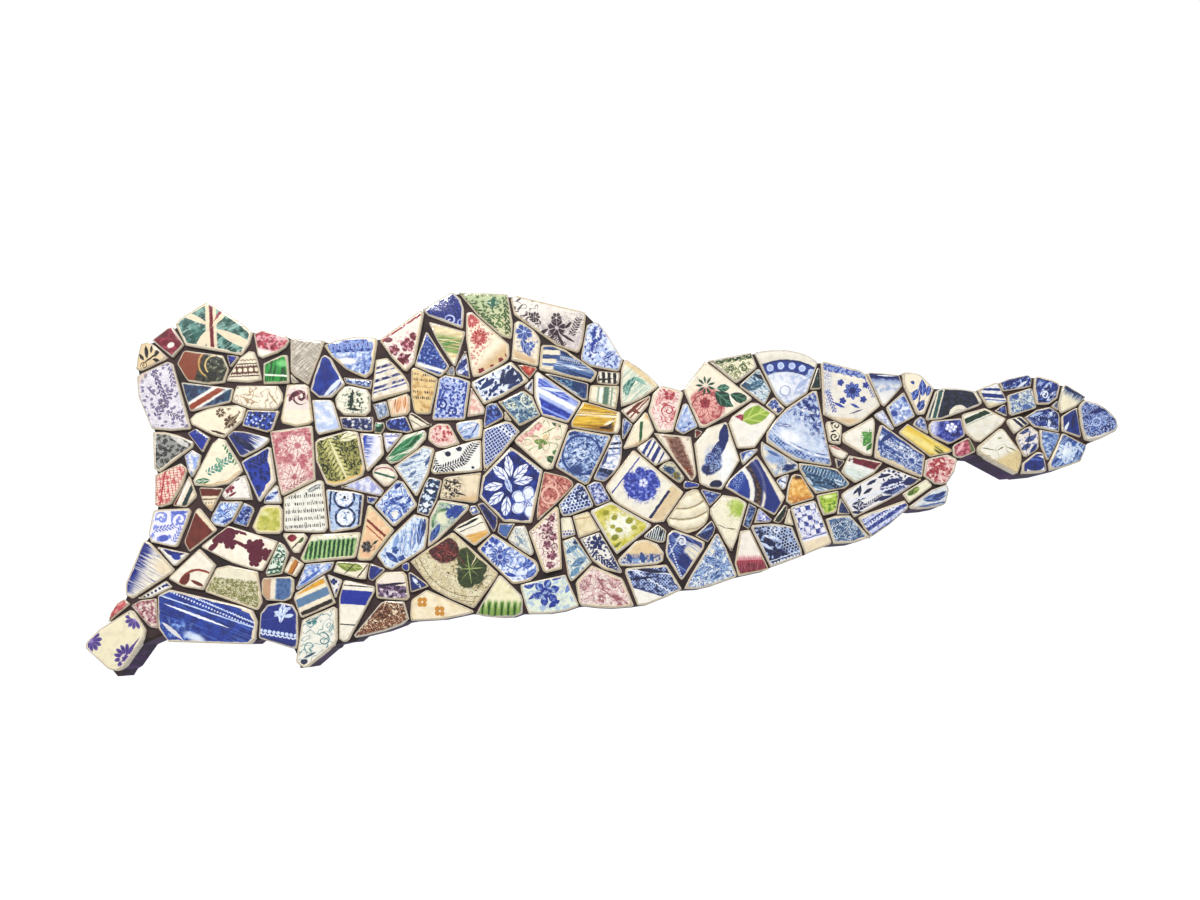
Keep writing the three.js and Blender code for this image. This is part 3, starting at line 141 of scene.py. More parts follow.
class Number:
    """A number in a node tree, so that a pattern reads as a formula."""

    def __init__(self, socket):
        self.socket = socket

    def by(self, operation, *others, turned=False):
        tree = self.socket.id_data
        node = tree.nodes.new("ShaderNodeMath")
        node.operation = operation
        values = [*others, self] if turned else [self, *others]
        for slot, value in zip(node.inputs, values):
            if isinstance(value, Number):
                tree.links.new(value.socket, slot)
            else:
                slot.default_value = value
        return Number(node.outputs[0])

    def __add__(self, other): return self.by("ADD", other)
    def __radd__(self, other): return self.by("ADD", other)
    def __sub__(self, other): return self.by("SUBTRACT", other)
    def __rsub__(self, other): return self.by("SUBTRACT", other, turned=True)
    def __mul__(self, other): return self.by("MULTIPLY", other)
    def __rmul__(self, other): return self.by("MULTIPLY", other)
    def __abs__(self): return self.by("ABSOLUTE")
    def __pow__(self, power): return self.by("POWER", power)
    def root(self): return self.by("SQRT")
    def sine(self): return self.by("SINE")
    def cosine(self): return self.by("COSINE")
    def part(self): return self.by("FRACT")
    def whole(self): return self.by("FLOOR")
    def least(self, other): return self.by("MINIMUM", other)
    def most(self, other): return self.by("MAXIMUM", other)

    def over(self, edge, soft):
        """1 above the edge, 0 below it, and soft between."""
        return self.spread(edge, soft, 0.0, 1.0)

    def under(self, edge, soft):
        return self.spread(edge, soft, 1.0, 0.0)

    def spread(self, edge, soft, low, high):
        tree = self.socket.id_data
        node = tree.nodes.new("ShaderNodeMapRange")
        node.interpolation_type = "SMOOTHSTEP"
        tree.links.new(self.socket, node.inputs["Value"])
        for slot, value in (("From Min", edge - soft), ("From Max", edge + soft), ("To Min", low), ("To Max", high)):
            if isinstance(value, Number):
                tree.links.new(value.socket, node.inputs[slot])
            else:
                node.inputs[slot].default_value = value
        return Number(node.outputs["Result"])


def node_in(tree, kind, settings=None, **inputs):
    """A node with its settings, and its inputs set or linked by name."""
    node = tree.nodes.new("ShaderNode" + kind)
    for name, value in (settings or {}).items():
        setattr(node, name, value)
    for name, value in inputs.items():
        slot = node.inputs[name.replace("_", " ")]
        if isinstance(value, Number):
            tree.links.new(value.socket, slot)
        elif isinstance(value, bpy.types.NodeSocket):
            tree.links.new(value, slot)
        else:
            slot.default_value = value
    return node


def tint(tree, under, over, amount, way="MIX"):
    """The colour under, with the colour over laid on it by amount."""
    node = tree.nodes.new("ShaderNodeMix")
    node.data_type, node.blend_type = "RGBA", way
    for slot, value in ((0, amount), (6, under), (7, over)):
        if isinstance(value, Number):
            tree.links.new(value.socket, node.inputs[slot])
        elif isinstance(value, bpy.types.NodeSocket):
            tree.links.new(value, node.inputs[slot])
        elif isinstance(value, str):
            node.inputs[slot].default_value = linear(value)
        else:
            node.inputs[slot].default_value = value
    return node.outputs[2]


def new_finish(name):
    material = bpy.data.materials.new(name)
    material.use_nodes = True
    tree = material.node_tree
    return material, tree, tree.nodes["Principled BSDF"]


board_paint, tree, shader = new_finish("dark purple paint")
place = node_in(tree, "TexCoord").outputs["Object"]
brushed = node_in(tree, "Mapping", Vector=place, Scale=(220, 30, 220))
strokes = Number(node_in(tree, "TexNoise", Vector=brushed.outputs[0], Scale=1.0, Detail=6.0).outputs["Fac"])
patches = Number(node_in(tree, "TexNoise", Vector=place, Scale=60.0, Detail=3.0).outputs["Fac"])
painted = tint(tree, "1d0f2e", "4a2c62", strokes.over(0.54, 0.2))
painted = tint(tree, painted, "5a4468", patches.over(0.66, 0.08) * 0.6)
tree.links.new(painted, shader.inputs["Base Color"])
tree.links.new((0.58 + strokes * 0.3).socket, shader.inputs["Roughness"])
bump = node_in(tree, "Bump", Height=strokes * 0.6 + patches * 0.4, Strength=0.35, Distance=0.0006)
tree.links.new(bump.outputs["Normal"], shader.inputs["Normal"])
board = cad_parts["board"]
board.data.materials.clear()
board.data.materials.append(board_paint)


# Outlines of the shards
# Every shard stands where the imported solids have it: each large one is a node of its
# own, and the small ones are found by cutting the bed just in front of its face.
MM = 1000.0
BED_FACE = 20.0


def loops_at(node, depth):
    cut = bmesh.new()
    cut.from_mesh(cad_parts[node].data)
    bmesh.ops.remove_doubles(cut, verts=cut.verts, dist=2e-6)
    halved = bmesh.ops.bisect_plane(
        cut, geom=cut.verts[:] + cut.edges[:] + cut.faces[:], plane_co=(0, -depth / MM, 0), plane_no=(0, 1, 0))
    edges = [e for e in halved["geom_cut"] if isinstance(e, bmesh.types.BMEdge)]
    joined = {}
    for edge in edges:
        for v in edge.verts:
            joined.setdefault(v, []).append(edge.other_vert(v))
    loops, seen = [], set()
    for start in joined:
        if start in seen:
            continue
        loop, here, before = [], start, None
        while here is not None and here not in seen:
            seen.add(here)
            loop.append(Vector((here.co.x * MM, here.co.z * MM)))
            here, before = next((v for v in joined[here] if v is not before and v not in seen), None), here
        loops.append(loop)
    fronts = {}
    for v in cut.verts:
        key = (round(v.co.x * MM, 1), round(v.co.z * MM, 1))
        fronts[key] = max(fronts.get(key, 0), -v.co.y * MM)
    cut.free()
    return loops, fronts


def area_of(loop):
    return sum(a.x * b.y - b.x * a.y for a, b in zip(loop, loop[1:] + loop[:1])) / 2


def middle_of(loop):
    area = area_of(loop)
    x = sum((a.x + b.x) * (a.x * b.y - b.x * a.y) for a, b in zip(loop, loop[1:] + loop[:1]))
    y = sum((a.y + b.y) * (a.x * b.y - b.x * a.y) for a, b in zip(loop, loop[1:] + loop[:1]))
    return Vector((x, y)) / (6 * area)


outlines = []
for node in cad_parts:
    if node not in ("board", "bed_with_small_shards"):
        low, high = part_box(node)
        loops, _ = loops_at(node, BED_FACE + 1.5)
        outlines.append({"node": node, "loop": loops[0], "front": -low.y * MM})
loops, fronts = loops_at("bed_with_small_shards", BED_FACE + 1.5)
for loop in loops:
    keys = [(round(p.x, 1), round(p.y, 1)) for p in loop]
    front = max((fronts.get(k, 0) for k in keys), default=0)
    outlines.append({"node": None, "loop": loop, "front": front or BED_FACE + 5})
for outline in outlines:
    if area_of(outline["loop"]) < 0:
        outline["loop"].reverse()
    outline["middle"] = middle_of(outline["loop"])
    outline["laid"] = False


# Filler
# Dark brown-purple filler, pressed into the joints and wiped back to about two
# millimetres below the shards' faces, rough and a little uneven, falling away at the rim.
FILLER_FACE = 22.7
FILLER_RIM = 20.4
FILLER_STEP = 2.6


def distances_to(loop, points):
    """How far each point lies from the line round a loop, in millimetres."""
    starts = np.array([tuple(p) for p in loop])
    runs = np.roll(starts, -1, axis=0) - starts
    reach = np.maximum((runs ** 2).sum(axis=1), 1e-9)
    offset = np.array(points)[:, None, :] - starts
    share = np.clip((offset * runs).sum(axis=2) / reach, 0, 1)
    return np.sqrt(((offset - runs * share[:, :, None]) ** 2).sum(axis=2)).min(axis=1)


def cut_into_squares(bm, faces, step, low, high, offset=0.0):
    """The flat faces, cut by planes across X and across Z."""
    faces = set(faces)
    for axis, normal in ((0, (1, 0, 0)), (2, (0, 0, 1))):
        at = math.ceil((low[axis // 2] - offset) / step) * step + offset
        while at < high[axis // 2]:
            geometry = set(faces)
            for f in faces:
                geometry.update(f.edges)
                geometry.update(f.verts)
            near = [at if i == axis else 0 for i in range(3)]
            done = bmesh.ops.bisect_plane(bm, geom=list(geometry), plane_co=near, plane_no=normal)
            faces = {f for f in done["geom"] if isinstance(f, bmesh.types.BMFace) and f.is_valid}
            at += step
    return faces


def finished(bm, name, material):
    """The bmesh, drawn in millimetres, as an object in metres that rides on the part."""
    bmesh.ops.scale(bm, vec=(1 / MM,) * 3, verts=bm.verts)
    for face in bm.faces:
        face.smooth = True
    mesh = bpy.data.meshes.new(name)
    bm.to_mesh(mesh)
    bm.free()
    mesh.materials.append(material)
    piece = bpy.data.objects.new(name, mesh)
    bpy.context.collection.objects.link(piece)
    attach(piece, "root")
    return piece


FILLER_UNEVEN, FILLER_SLOPE = 0.5, 1.3
BED_BACK = 18.0

filler_finish, tree, shader = new_finish("dark filler")
place = node_in(tree, "TexCoord").outputs["Object"]
grains = Number(node_in(tree, "TexNoise", Vector=place, Scale=900.0, Detail=6.0, Roughness=0.7).outputs["Fac"])
smears = Number(node_in(tree, "TexNoise", Vector=place, Scale=70.0, Detail=4.0).outputs["Fac"])
mixed = tint(tree, "1b1012", "3f2a2a", smears.over(0.5, 0.22))
mixed = tint(tree, mixed, "6d5550", grains.over(0.68, 0.1) * 0.5)
tree.links.new(mixed, shader.inputs["Base Color"])
tree.links.new((0.62 + grains * 0.3).socket, shader.inputs["Roughness"])
bump = node_in(tree, "Bump", Height=grains + smears * 0.5, Strength=0.7, Distance=0.0005)
tree.links.new(bump.outputs["Normal"], shader.inputs["Normal"])

bed_loop = max(loops_at("bed_with_small_shards", BED_FACE - 1)[0], key=lambda loop: abs(area_of(loop)))
bed_loop = [p for p, q in zip(bed_loop, bed_loop[1:] + bed_loop[:1]) if (p - q).length > 0.1]
filler = bmesh.new()
filler.faces.new([filler.verts.new((p.x, -BED_BACK, p.y)) for p in bed_loop])
raised = bmesh.ops.extrude_face_region(filler, geom=filler.faces[:])
bmesh.ops.translate(filler, verts=[v for v in raised["geom"] if isinstance(v, bmesh.types.BMVert)],
                    vec=(0, BED_BACK - FILLER_RIM, 0))
bmesh.ops.recalc_face_normals(filler, faces=filler.faces)
front = [f for f in filler.faces if f.normal.y < -0.9]
front = bmesh.ops.triangulate(filler, faces=front)["faces"]
low, high = ([pick(p[i] for p in bed_loop) for i in range(2)] for pick in (min, max))
front = cut_into_squares(filler, front, FILLER_STEP, low, high)
bmesh.ops.triangulate(filler, faces=[f for f in filler.faces if len(f.verts) > 4])
faced = [v for v in filler.verts if v.co.y < 0.1 - FILLER_RIM]
for v, inward in zip(faced, distances_to(bed_loop, [(v.co.x, v.co.z) for v in faced])):
    uneven = noise.noise(Vector((v.co.x, v.co.z, 3)) * 0.16) * FILLER_UNEVEN
    v.co.y = -FILLER_RIM - (FILLER_FACE - FILLER_RIM + uneven) * min(1.0, inward / FILLER_SLOPE)
filler = finished(filler, "filler", filler_finish)
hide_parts("bed_with_small_shards")


# The shards' prints
# Each shard keeps a piece of the pattern of the plate or cup it broke from. Brushed and
# printed figures are built here once, each as a shape of a known size that a shard places.
PATTERNS = {}


def pattern(name, **values):
    """A node group that turns a place, in units of the figure's own size, into its mask."""
    def made(formula):
        tree = bpy.data.node_groups.new(name, "ShaderNodeTree")
        tree.interface.new_socket("Place", in_out="INPUT", socket_type="NodeSocketVector")
        for value, usual in values.items():
            tree.interface.new_socket(value, in_out="INPUT", socket_type="NodeSocketFloat").default_value = usual
        for value in ("Mask", "Detail"):
            tree.interface.new_socket(value, in_out="OUTPUT", socket_type="NodeSocketFloat")
        given = tree.nodes.new("NodeGroupInput")
        parts = node_in(tree, "SeparateXYZ", Vector=given.outputs["Place"])
        result = formula(tree, Number(parts.outputs["X"]), Number(parts.outputs["Y"]),
                         *[Number(given.outputs[value]) for value in values])
        given_back = tree.nodes.new("NodeGroupOutput")
        for slot, value in zip(given_back.inputs, result):
            if isinstance(value, Number):
                tree.links.new(value.socket, slot)
            else:
                slot.default_value = value
        PATTERNS[name.split()[-1]] = tree
        return formula
    return made


def length_of(u, v):
    return (u * u + v * v).root()


def noise_at(tree, u, v, scale, detail=2.0, w=0.0):
    place = node_in(tree, "CombineXYZ", X=u, Y=v, Z=w).outputs[0]
    return Number(node_in(tree, "TexNoise", Vector=place, Scale=scale, Detail=detail).outputs["Fac"])


@pattern("patch", Soft=0.12)
def patch_pattern(tree, u, v, soft):
    away = length_of(u, v)
    return away.under(1.0, soft), away.under(0.5, 0.3)


@pattern("band", Soft=0.15)
def band_pattern(tree, u, v, soft):
    return abs(v).under(1.0, soft), abs(v).under(0.45, 0.2)


@pattern("field", Soft=0.3)
def field_pattern(tree, u, v, soft):
    return v.over(0.0, soft), v.over(1.5, 1.5)


@pattern("arc", Width=0.1, Soft=0.03)
def arc_pattern(tree, u, v, width, soft):
    return abs(length_of(u, v) - 1.0).under(width, soft), length_of(u, v).under(1.0, soft)


@pattern("flower", Petals=5.0)
def flower_pattern(tree, u, v, petals):
    away = length_of(u, v)
    turned = v.by("ARCTAN2", u) * petals * 0.5
    edge = 0.58 + abs(turned.cosine()) ** 0.6 * 0.38
    lines = abs(turned.cosine()).under(0.22, 0.1) * away.over(0.25, 0.05)
    heart = away.under(0.2, 0.05)
    return away.under(edge, 0.04), lines.most(heart).most((away * 9.0).sine().over(0.8, 0.3) * 0.5)


@pattern("leaf", Veins=9.0)
def leaf_pattern(tree, u, v, veins):
    half = (1.0 - u * u).most(0.0)
    mask = (abs(v) - half).under(0.0, 0.06)
    ribs = ((u - abs(v) * 0.7) * veins).sine().over(0.75, 0.2)
    return mask, abs(v).under(0.1, 0.05).most(ribs * 0.7)


@pattern("sprig", Leaves=5.0)
def sprig_pattern(tree, u, v, leaves):
    out = abs(v)
    side = v.over(0.0, 0.001) * 0.5
    along = (u * leaves * 0.5 - out * 0.8 + side).part() - 0.5
    leaf = (abs(along) - (out.least(1.0) * math.pi).sine() * 0.34).under(0.0, 0.05)
    within = abs(u).under(1.0, 0.03)
    stem = out.under(0.07, 0.03)
    return (leaf * out.over(0.08, 0.03) * out.under(1.0, 0.02)).most(stem) * within, abs(along).under(0.05, 0.03)


@pattern("scroll", Turns=2.0, Width=0.22)
def scroll_pattern(tree, u, v, turns, width):
    away = length_of(u, v)
    round_ = v.by("ARCTAN2", u) * (1 / (2 * math.pi))
    arm = abs((away * turns - round_).part() - 0.5)
    return arm.over(0.5 - width, 0.04) * away.under(1.0, 0.03), away.under(0.2, 0.04)


@pattern("written rows", Dense=0.5)
def rows_pattern(tree, u, v, dense):
    row = v.whole()
    up = v.part()
    body = abs(up - 0.4).under(0.2, 0.05)
    tall = abs(up - 0.5).under(0.38, 0.04) * noise_at(tree, u, row * 7.3, 1.4, 1.0).over(0.6, 0.02)
    strokes = abs((u * 1.7 + noise_at(tree, u, row, 1.1) * 1.6 + up * 0.25).part() - 0.5).under(0.24, 0.06)
    gaps = noise_at(tree, u, row * 3.1, 0.45, 0.0).over(0.33, 0.02)
    return strokes * body.most(tall) * gaps, 0.0


@pattern("lattice", Line=0.12)
def lattice_pattern(tree, u, v, line):
    across = abs(u.part() - 0.5).least(abs(v.part() - 0.5))
    return across.under(line, 0.05), abs(u.part() - 0.5).most(abs(v.part() - 0.5)).over(0.42, 0.05)


@pattern("check", Soft=0.05)
def check_pattern(tree, u, v, soft):
    return (u.whole() + v.whole()).by("PINGPONG", 1.0), (u.part() - 0.5).by("MULTIPLY", v.part() - 0.5)


@pattern("honeycomb", Line=0.1, Dot=0.2)
def honeycomb_pattern(tree, u, v, line, dot):
    tall = math.sqrt(3)
    a, b = u.part() - 0.5, (v * (1 / tall)).part() * tall - tall / 2
    c, d = (u + 0.5).part() - 0.5, ((v + tall / 2) * (1 / tall)).part() * tall - tall / 2
    first, second = length_of(a, b), length_of(c, d)
    nearer = first.under(second, 0.001)
    x, y = abs(c + (a - c) * nearer), abs(d + (b - d) * nearer)
    side = x.most(x * 0.5 + y * (tall / 2))
    return side.over(0.5 - line, 0.03), length_of(x, y).under(dot, 0.05)


@pattern("beads", Dot=0.36)
def beads_pattern(tree, u, v, size):
    along = (u.part() - 0.5)
    away = length_of(along, v)
    return away.under(size, 0.06), away.under(size * 0.4, 0.05)


@pattern("scallops", Width=0.14)
def scallops_pattern(tree, u, v, width):
    away = length_of(u.part() - 0.5, v)
    upper = v.over(0.0, 0.05)
    return abs(away - 0.38).under(width, 0.05) * upper, away.under(0.3, 0.05) * upper


@pattern("mottle", Level=0.5, Soft=0.08, Seed=0.0)
def mottle_pattern(tree, u, v, level, soft, seed):
    clouds = noise_at(tree, u, v, 1.0, 4.0, seed)
    return clouds.over(level, soft), noise_at(tree, u, v, 3.1, 2.0, seed).over(0.55, 0.1)


@pattern("brushed", Level=0.5, Soft=0.1, Seed=0.0)
def brushed_pattern(tree, u, v, level, soft, seed):
    streaks = noise_at(tree, u * 0.16, v, 1.6, 3.0, seed)
    return streaks.over(level, soft), streaks.over(level + 0.08, 0.05)


@pattern("stipple", Dot=0.3, Seed=0.0)
def stipple_pattern(tree, u, v, size, seed):
    place = node_in(tree, "CombineXYZ", X=u, Y=v, Z=seed).outputs[0]
    dots = node_in(tree, "TexVoronoi", {"voronoi_dimensions": "2D"}, Vector=place, Scale=1.0)
    clouds = noise_at(tree, u, v, 0.22, 2.0, seed)
    return Number(dots.outputs["Distance"]).under(size, 0.08) * clouds.over(0.44, 0.12), 0.0


@pattern("foliage", Full=0.7, Seed=0.0)
def foliage_pattern(tree, u, v, full, seed):
    # Leaves and small flowers, one to a cell, each turned its own way
    place = node_in(tree, "CombineXYZ", X=u + seed * 7.7, Y=v + seed * 3.1).outputs[0]
    cells = node_in(tree, "TexVoronoi", {"voronoi_dimensions": "2D"}, Vector=place, Scale=1.0, Randomness=0.85)
    offset = node_in(tree, "VectorMath", {"operation": "SUBTRACT"})
    tree.links.new(place, offset.inputs[0])
    tree.links.new(cells.outputs["Position"], offset.inputs[1])
    chance = node_in(tree, "SeparateColor", Color=cells.outputs["Color"])
    red, green, blue = (Number(chance.outputs[i]) for i in range(3))
    x, y = (Number(node_in(tree, "SeparateXYZ", Vector=offset.outputs[0]).outputs[i]) for i in range(2))
    cos, sin = (red * 6.28).cosine(), (red * 6.28).sine()
    along, across = x * cos + y * sin, y * cos - x * sin
    leaf = (abs(across) - (1.0 - along * along * 4.2).most(0.0) * 0.26).under(0.0, 0.035)
    away = length_of(x, y)
    turned = abs((y.by("ARCTAN2", x) * 2.5 + red * 6.0).cosine())
    bloom = away.under(0.24 + turned * 0.2, 0.035)
    is_bloom = green.over(0.62, 0.01)
    shown = blue.under(full, 0.01)
    mask = (leaf + (bloom - leaf) * is_bloom) * shown
    veins = abs(across).under(0.03, 0.02).most(((along + abs(across)) * 26.0).sine().over(0.7, 0.2) * 0.6)
    petals = turned.under(0.2, 0.1).most(away.under(0.1, 0.03))
    return mask, veins + (petals - veins) * is_bloom


@pattern("curls", Width=0.1, Seed=0.0)
def curls_pattern(tree, u, v, width, seed):
    # Thin lines that follow the levels of a slow noise, as trailing stems and seaweed do
    levels = noise_at(tree, u, v, 0.7, 1.0, seed) * 5.0
    return abs(levels.part() - 0.5).under(width, 0.05), noise_at(tree, u, v, 4.0, 1.0, seed).over(0.5, 0.05)



def print_place():
    """The place on the panel in millimetres, wavering a little as a hand or a worn print does."""
    tree = bpy.data.node_groups.new("place on the panel", "ShaderNodeTree")
    tree.interface.new_socket("Waver", in_out="INPUT", socket_type="NodeSocketFloat").default_value = 0.4
    tree.interface.new_socket("Place", in_out="OUTPUT", socket_type="NodeSocketVector")
    given, given_back = tree.nodes.new("NodeGroupInput"), tree.nodes.new("NodeGroupOutput")
    parts = node_in(tree, "SeparateXYZ", Vector=node_in(tree, "TexCoord").outputs["Object"])
    x, z = Number(parts.outputs["X"]) * MM, Number(parts.outputs["Z"]) * MM
    waver = Number(given.outputs["Waver"])
    sway = [(noise_at(tree, x, z, 0.45, 2.0, w) - 0.5) * waver * 2.4 for w in (0.0, 40.0)]
    place = node_in(tree, "CombineXYZ", X=x + sway[0], Y=z + sway[1])
    tree.links.new(place.outputs[0], given_back.inputs[0])
    return tree


INK_DEPTH = 0.8
LIP_UNEVEN = 1.6
COAT, COAT_ROUGH = 0.35, 0.06


def glaze_group():
    """Glaze over the print: mottled, crazed and pitted, worn through to the clay at the shard's edge."""
    tree = bpy.data.node_groups.new("worn glaze", "ShaderNodeTree")
    for name, kind, usual in (("Print", "Color", (1, 1, 1, 1)), ("Clay", "Color", (1, 1, 1, 1)),
                              ("Worn", "Float", 0.6), ("Crackle", "Float", 0.0)):
        tree.interface.new_socket(name, in_out="INPUT", socket_type="NodeSocket" + kind).default_value = usual
    for name, kind in (("Colour", "Color"), ("Roughness", "Float"), ("Normal", "Vector")):
        tree.interface.new_socket(name, in_out="OUTPUT", socket_type="NodeSocket" + kind)
    given, given_back = tree.nodes.new("NodeGroupInput"), tree.nodes.new("NodeGroupOutput")
    value = {s.name: Number(s) for s in given.outputs[2:-1]}
    parts = node_in(tree, "SeparateXYZ", Vector=node_in(tree, "TexCoord").outputs["Object"])
    x, z = Number(parts.outputs["X"]) * MM, Number(parts.outputs["Z"]) * MM
    rim = Number(node_in(tree, "Attribute", {"attribute_name": "rim"}).outputs["Fac"])
    edge = rim + (noise_at(tree, x, z, 0.9, 4.0) - 0.5) * 1.1
    worn = edge.under(value["Worn"], 0.16)
    fine, slow = noise_at(tree, x, z, 5.0, 3.0), noise_at(tree, x, z, 0.25, 3.0)
    pits = noise_at(tree, x, z, 2.2, 5.0, 9.0)
    lightness = Number(node_in(tree, "RGBToBW", Color=given.outputs["Print"]).outputs["Val"])
    depth = lightness.under(0.3, 0.3) * INK_DEPTH
    colour = tint(tree, given.outputs["Print"], given.outputs["Print"], depth, "MULTIPLY")
    colour = tint(tree, colour, (1, 1, 1, 1), fine.over(0.56, 0.12) * 0.07)
    colour = tint(tree, colour, (0.55, 0.52, 0.55, 1), slow.over(0.56, 0.12) * 0.24, "MULTIPLY")
    cracks = node_in(tree, "TexVoronoi", {"voronoi_dimensions": "2D", "feature": "DISTANCE_TO_EDGE"},
                     Vector=node_in(tree, "CombineXYZ", X=x + fine * 0.5, Y=z + fine * 0.5).outputs[0], Scale=0.45)
    cracked = Number(cracks.outputs["Distance"]).under(0.025, 0.02) * value["Crackle"]
    colour = tint(tree, colour, "6b4f38", cracked * 0.75)
    # A brown band just inside the worn edge, all round the shard: partly staining of the glaze and partly painted
    # shade that darkens the rounded rim.
    rim_stain_and_shade = edge.under(value["Worn"] + 0.5, 0.4) * 0.45
    colour = tint(tree, colour, "5c4636", rim_stain_and_shade)
    clay = tint(tree, given.outputs["Clay"], "9a7d5c", noise_at(tree, x, z, 1.6, 4.0).over(0.56, 0.16) * 0.55)
    colour = tint(tree, colour, clay, worn)
    tree.links.new(colour, given_back.inputs["Colour"])
    rough = 0.1 + fine.over(0.6, 0.1) * 0.14 + pits.over(0.62, 0.06) * 0.3
    tree.links.new((rough + (0.62 - rough) * worn).socket, given_back.inputs["Roughness"])
    height = pits.under(0.36, 0.08) * -0.5 + slow * 1.2 + worn * fine * 0.9 - worn * 0.4
    bump = node_in(tree, "Bump", Height=height, Strength=0.5, Distance=0.0004)
    tree.links.new(bump.outputs["Normal"], given_back.inputs["Normal"])
    return tree


place_group, worn_glaze = print_place(), glaze_group()


def mark(kind, colour, x, z, size, tall=None, turn=0, second=None, amount=1.0, inside=None, outside=None, **values):
    """One figure of a print: what it is, its colour, its middle and its size in millimetres."""
    return {"kind": kind, "colour": colour, "x": x, "z": z, "size": size, "tall": tall or size, "turn": turn,
            "second": second, "amount": amount, "inside": inside, "outside": outside, "values": values}


def mask_of(tree, place, figure):
    if figure["kind"] == "lip":
        rim = Number(node_in(tree, "Attribute", {"attribute_name": "rim"}).outputs["Fac"])
        parts = node_in(tree, "SeparateXYZ", Vector=place)
        uneven = noise_at(tree, Number(parts.outputs["X"]), Number(parts.outputs["Y"]), 0.13) - 0.5
        reach = rim + uneven * (figure["size"] * LIP_UNEVEN)
        mask, detail = reach.under(figure["size"], 0.2), 0.0
    else:
        own = node_in(tree, "Mapping", {"vector_type": "TEXTURE"}, Vector=place,
                      Location=(figure["x"], figure["z"], 0), Rotation=(0, 0, math.radians(figure["turn"])),
                      Scale=(figure["size"], figure["tall"], 1))
        group = tree.nodes.new("ShaderNodeGroup")
        group.node_tree = PATTERNS[figure["kind"]]
        tree.links.new(own.outputs[0], group.inputs["Place"])
        for name, value in figure["values"].items():
            group.inputs[name.capitalize()].default_value = value
        mask, detail = Number(group.outputs["Mask"]), Number(group.outputs["Detail"])
    if figure["inside"]:
        mask = mask * mask_of(tree, place, figure["inside"])[0]
    if figure["outside"]:
        mask = mask * (1.0 - mask_of(tree, place, figure["outside"])[0])
    return mask, detail


def glazed(name, ground, figures, clay="e6dcc6", worn=0.42, crackle=0.0, waver=0.4):
    """The finish of one shard: its ground, the figures on it, the worn glaze over them."""
    material, tree, shader = new_finish(name)
    placed = tree.nodes.new("ShaderNodeGroup")
    placed.node_tree = place_group
    placed.inputs["Waver"].default_value = waver
    place = placed.outputs[0]
    colour = node_in(tree, "RGB").outputs[0]
    colour.default_value = linear(ground)
    for figure in figures:
        mask, detail = mask_of(tree, place, figure)
        ink = figure["colour"]
        if figure["second"]:
            ink = tint(tree, ink, figure["second"], detail)
        colour = tint(tree, colour, ink, mask * figure["amount"])
    over = tree.nodes.new("ShaderNodeGroup")
    over.node_tree = worn_glaze
    tree.links.new(colour, over.inputs["Print"])
    over.inputs["Clay"].default_value = linear(clay)
    for socket, value in (("Worn", worn), ("Crackle", crackle)):
        over.inputs[socket].default_value = value
    for socket, slot in (("Colour", "Base Color"), ("Roughness", "Roughness"), ("Normal", "Normal")):
        tree.links.new(over.outputs[socket], shader.inputs[slot])
    shader.inputs["Coat Weight"].default_value = COAT
    shader.inputs["Coat Roughness"].default_value = COAT_ROUGH
    return material


# Making a shard
# A flat polygon of glazed pottery, its corners tumbled round, its broken sides plain clay
# and its face slightly crowned. It is pressed into the filler a little askew.
SHARD_FOOT = 19.5
ROUND_CORNER = 1.2
CORNER_MERGE = 0.9
JOINT_TRIM = 0.18
EDGE_RINGS = (0.16, 0.24, 0.4, 0.5)
FACE_STEP = 2.2
LEAN = 0.02
CROWN, CROWN_REACH = 0.3, 4
FACE_BACK = 0.2
PANEL_LOW, PANEL_HIGH = ([pick(c[i] for c in box_before) * MM for i in (0, 2)] for pick in (min, max))
random.seed(7)


def held(value, low, high):
    return min(max(value, low), high)


def grown(loop, by):
    """A convex loop moved outwards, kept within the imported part's own box."""
    corners = []
    for before, here, after in zip(loop[-1:] + loop[:-1], loop, loop[1:] + loop[:1]):
        into, out = (here - before).normalized(), (after - here).normalized()
        out_of = Vector((into.y + out.y, -into.x - out.x)) / max(0.5, 1 + into.dot(out))
        moved = here + out_of * by
        corners.append(Vector([held(moved[i], PANEL_LOW[i], PANEL_HIGH[i]) for i in range(2)]))
    return corners


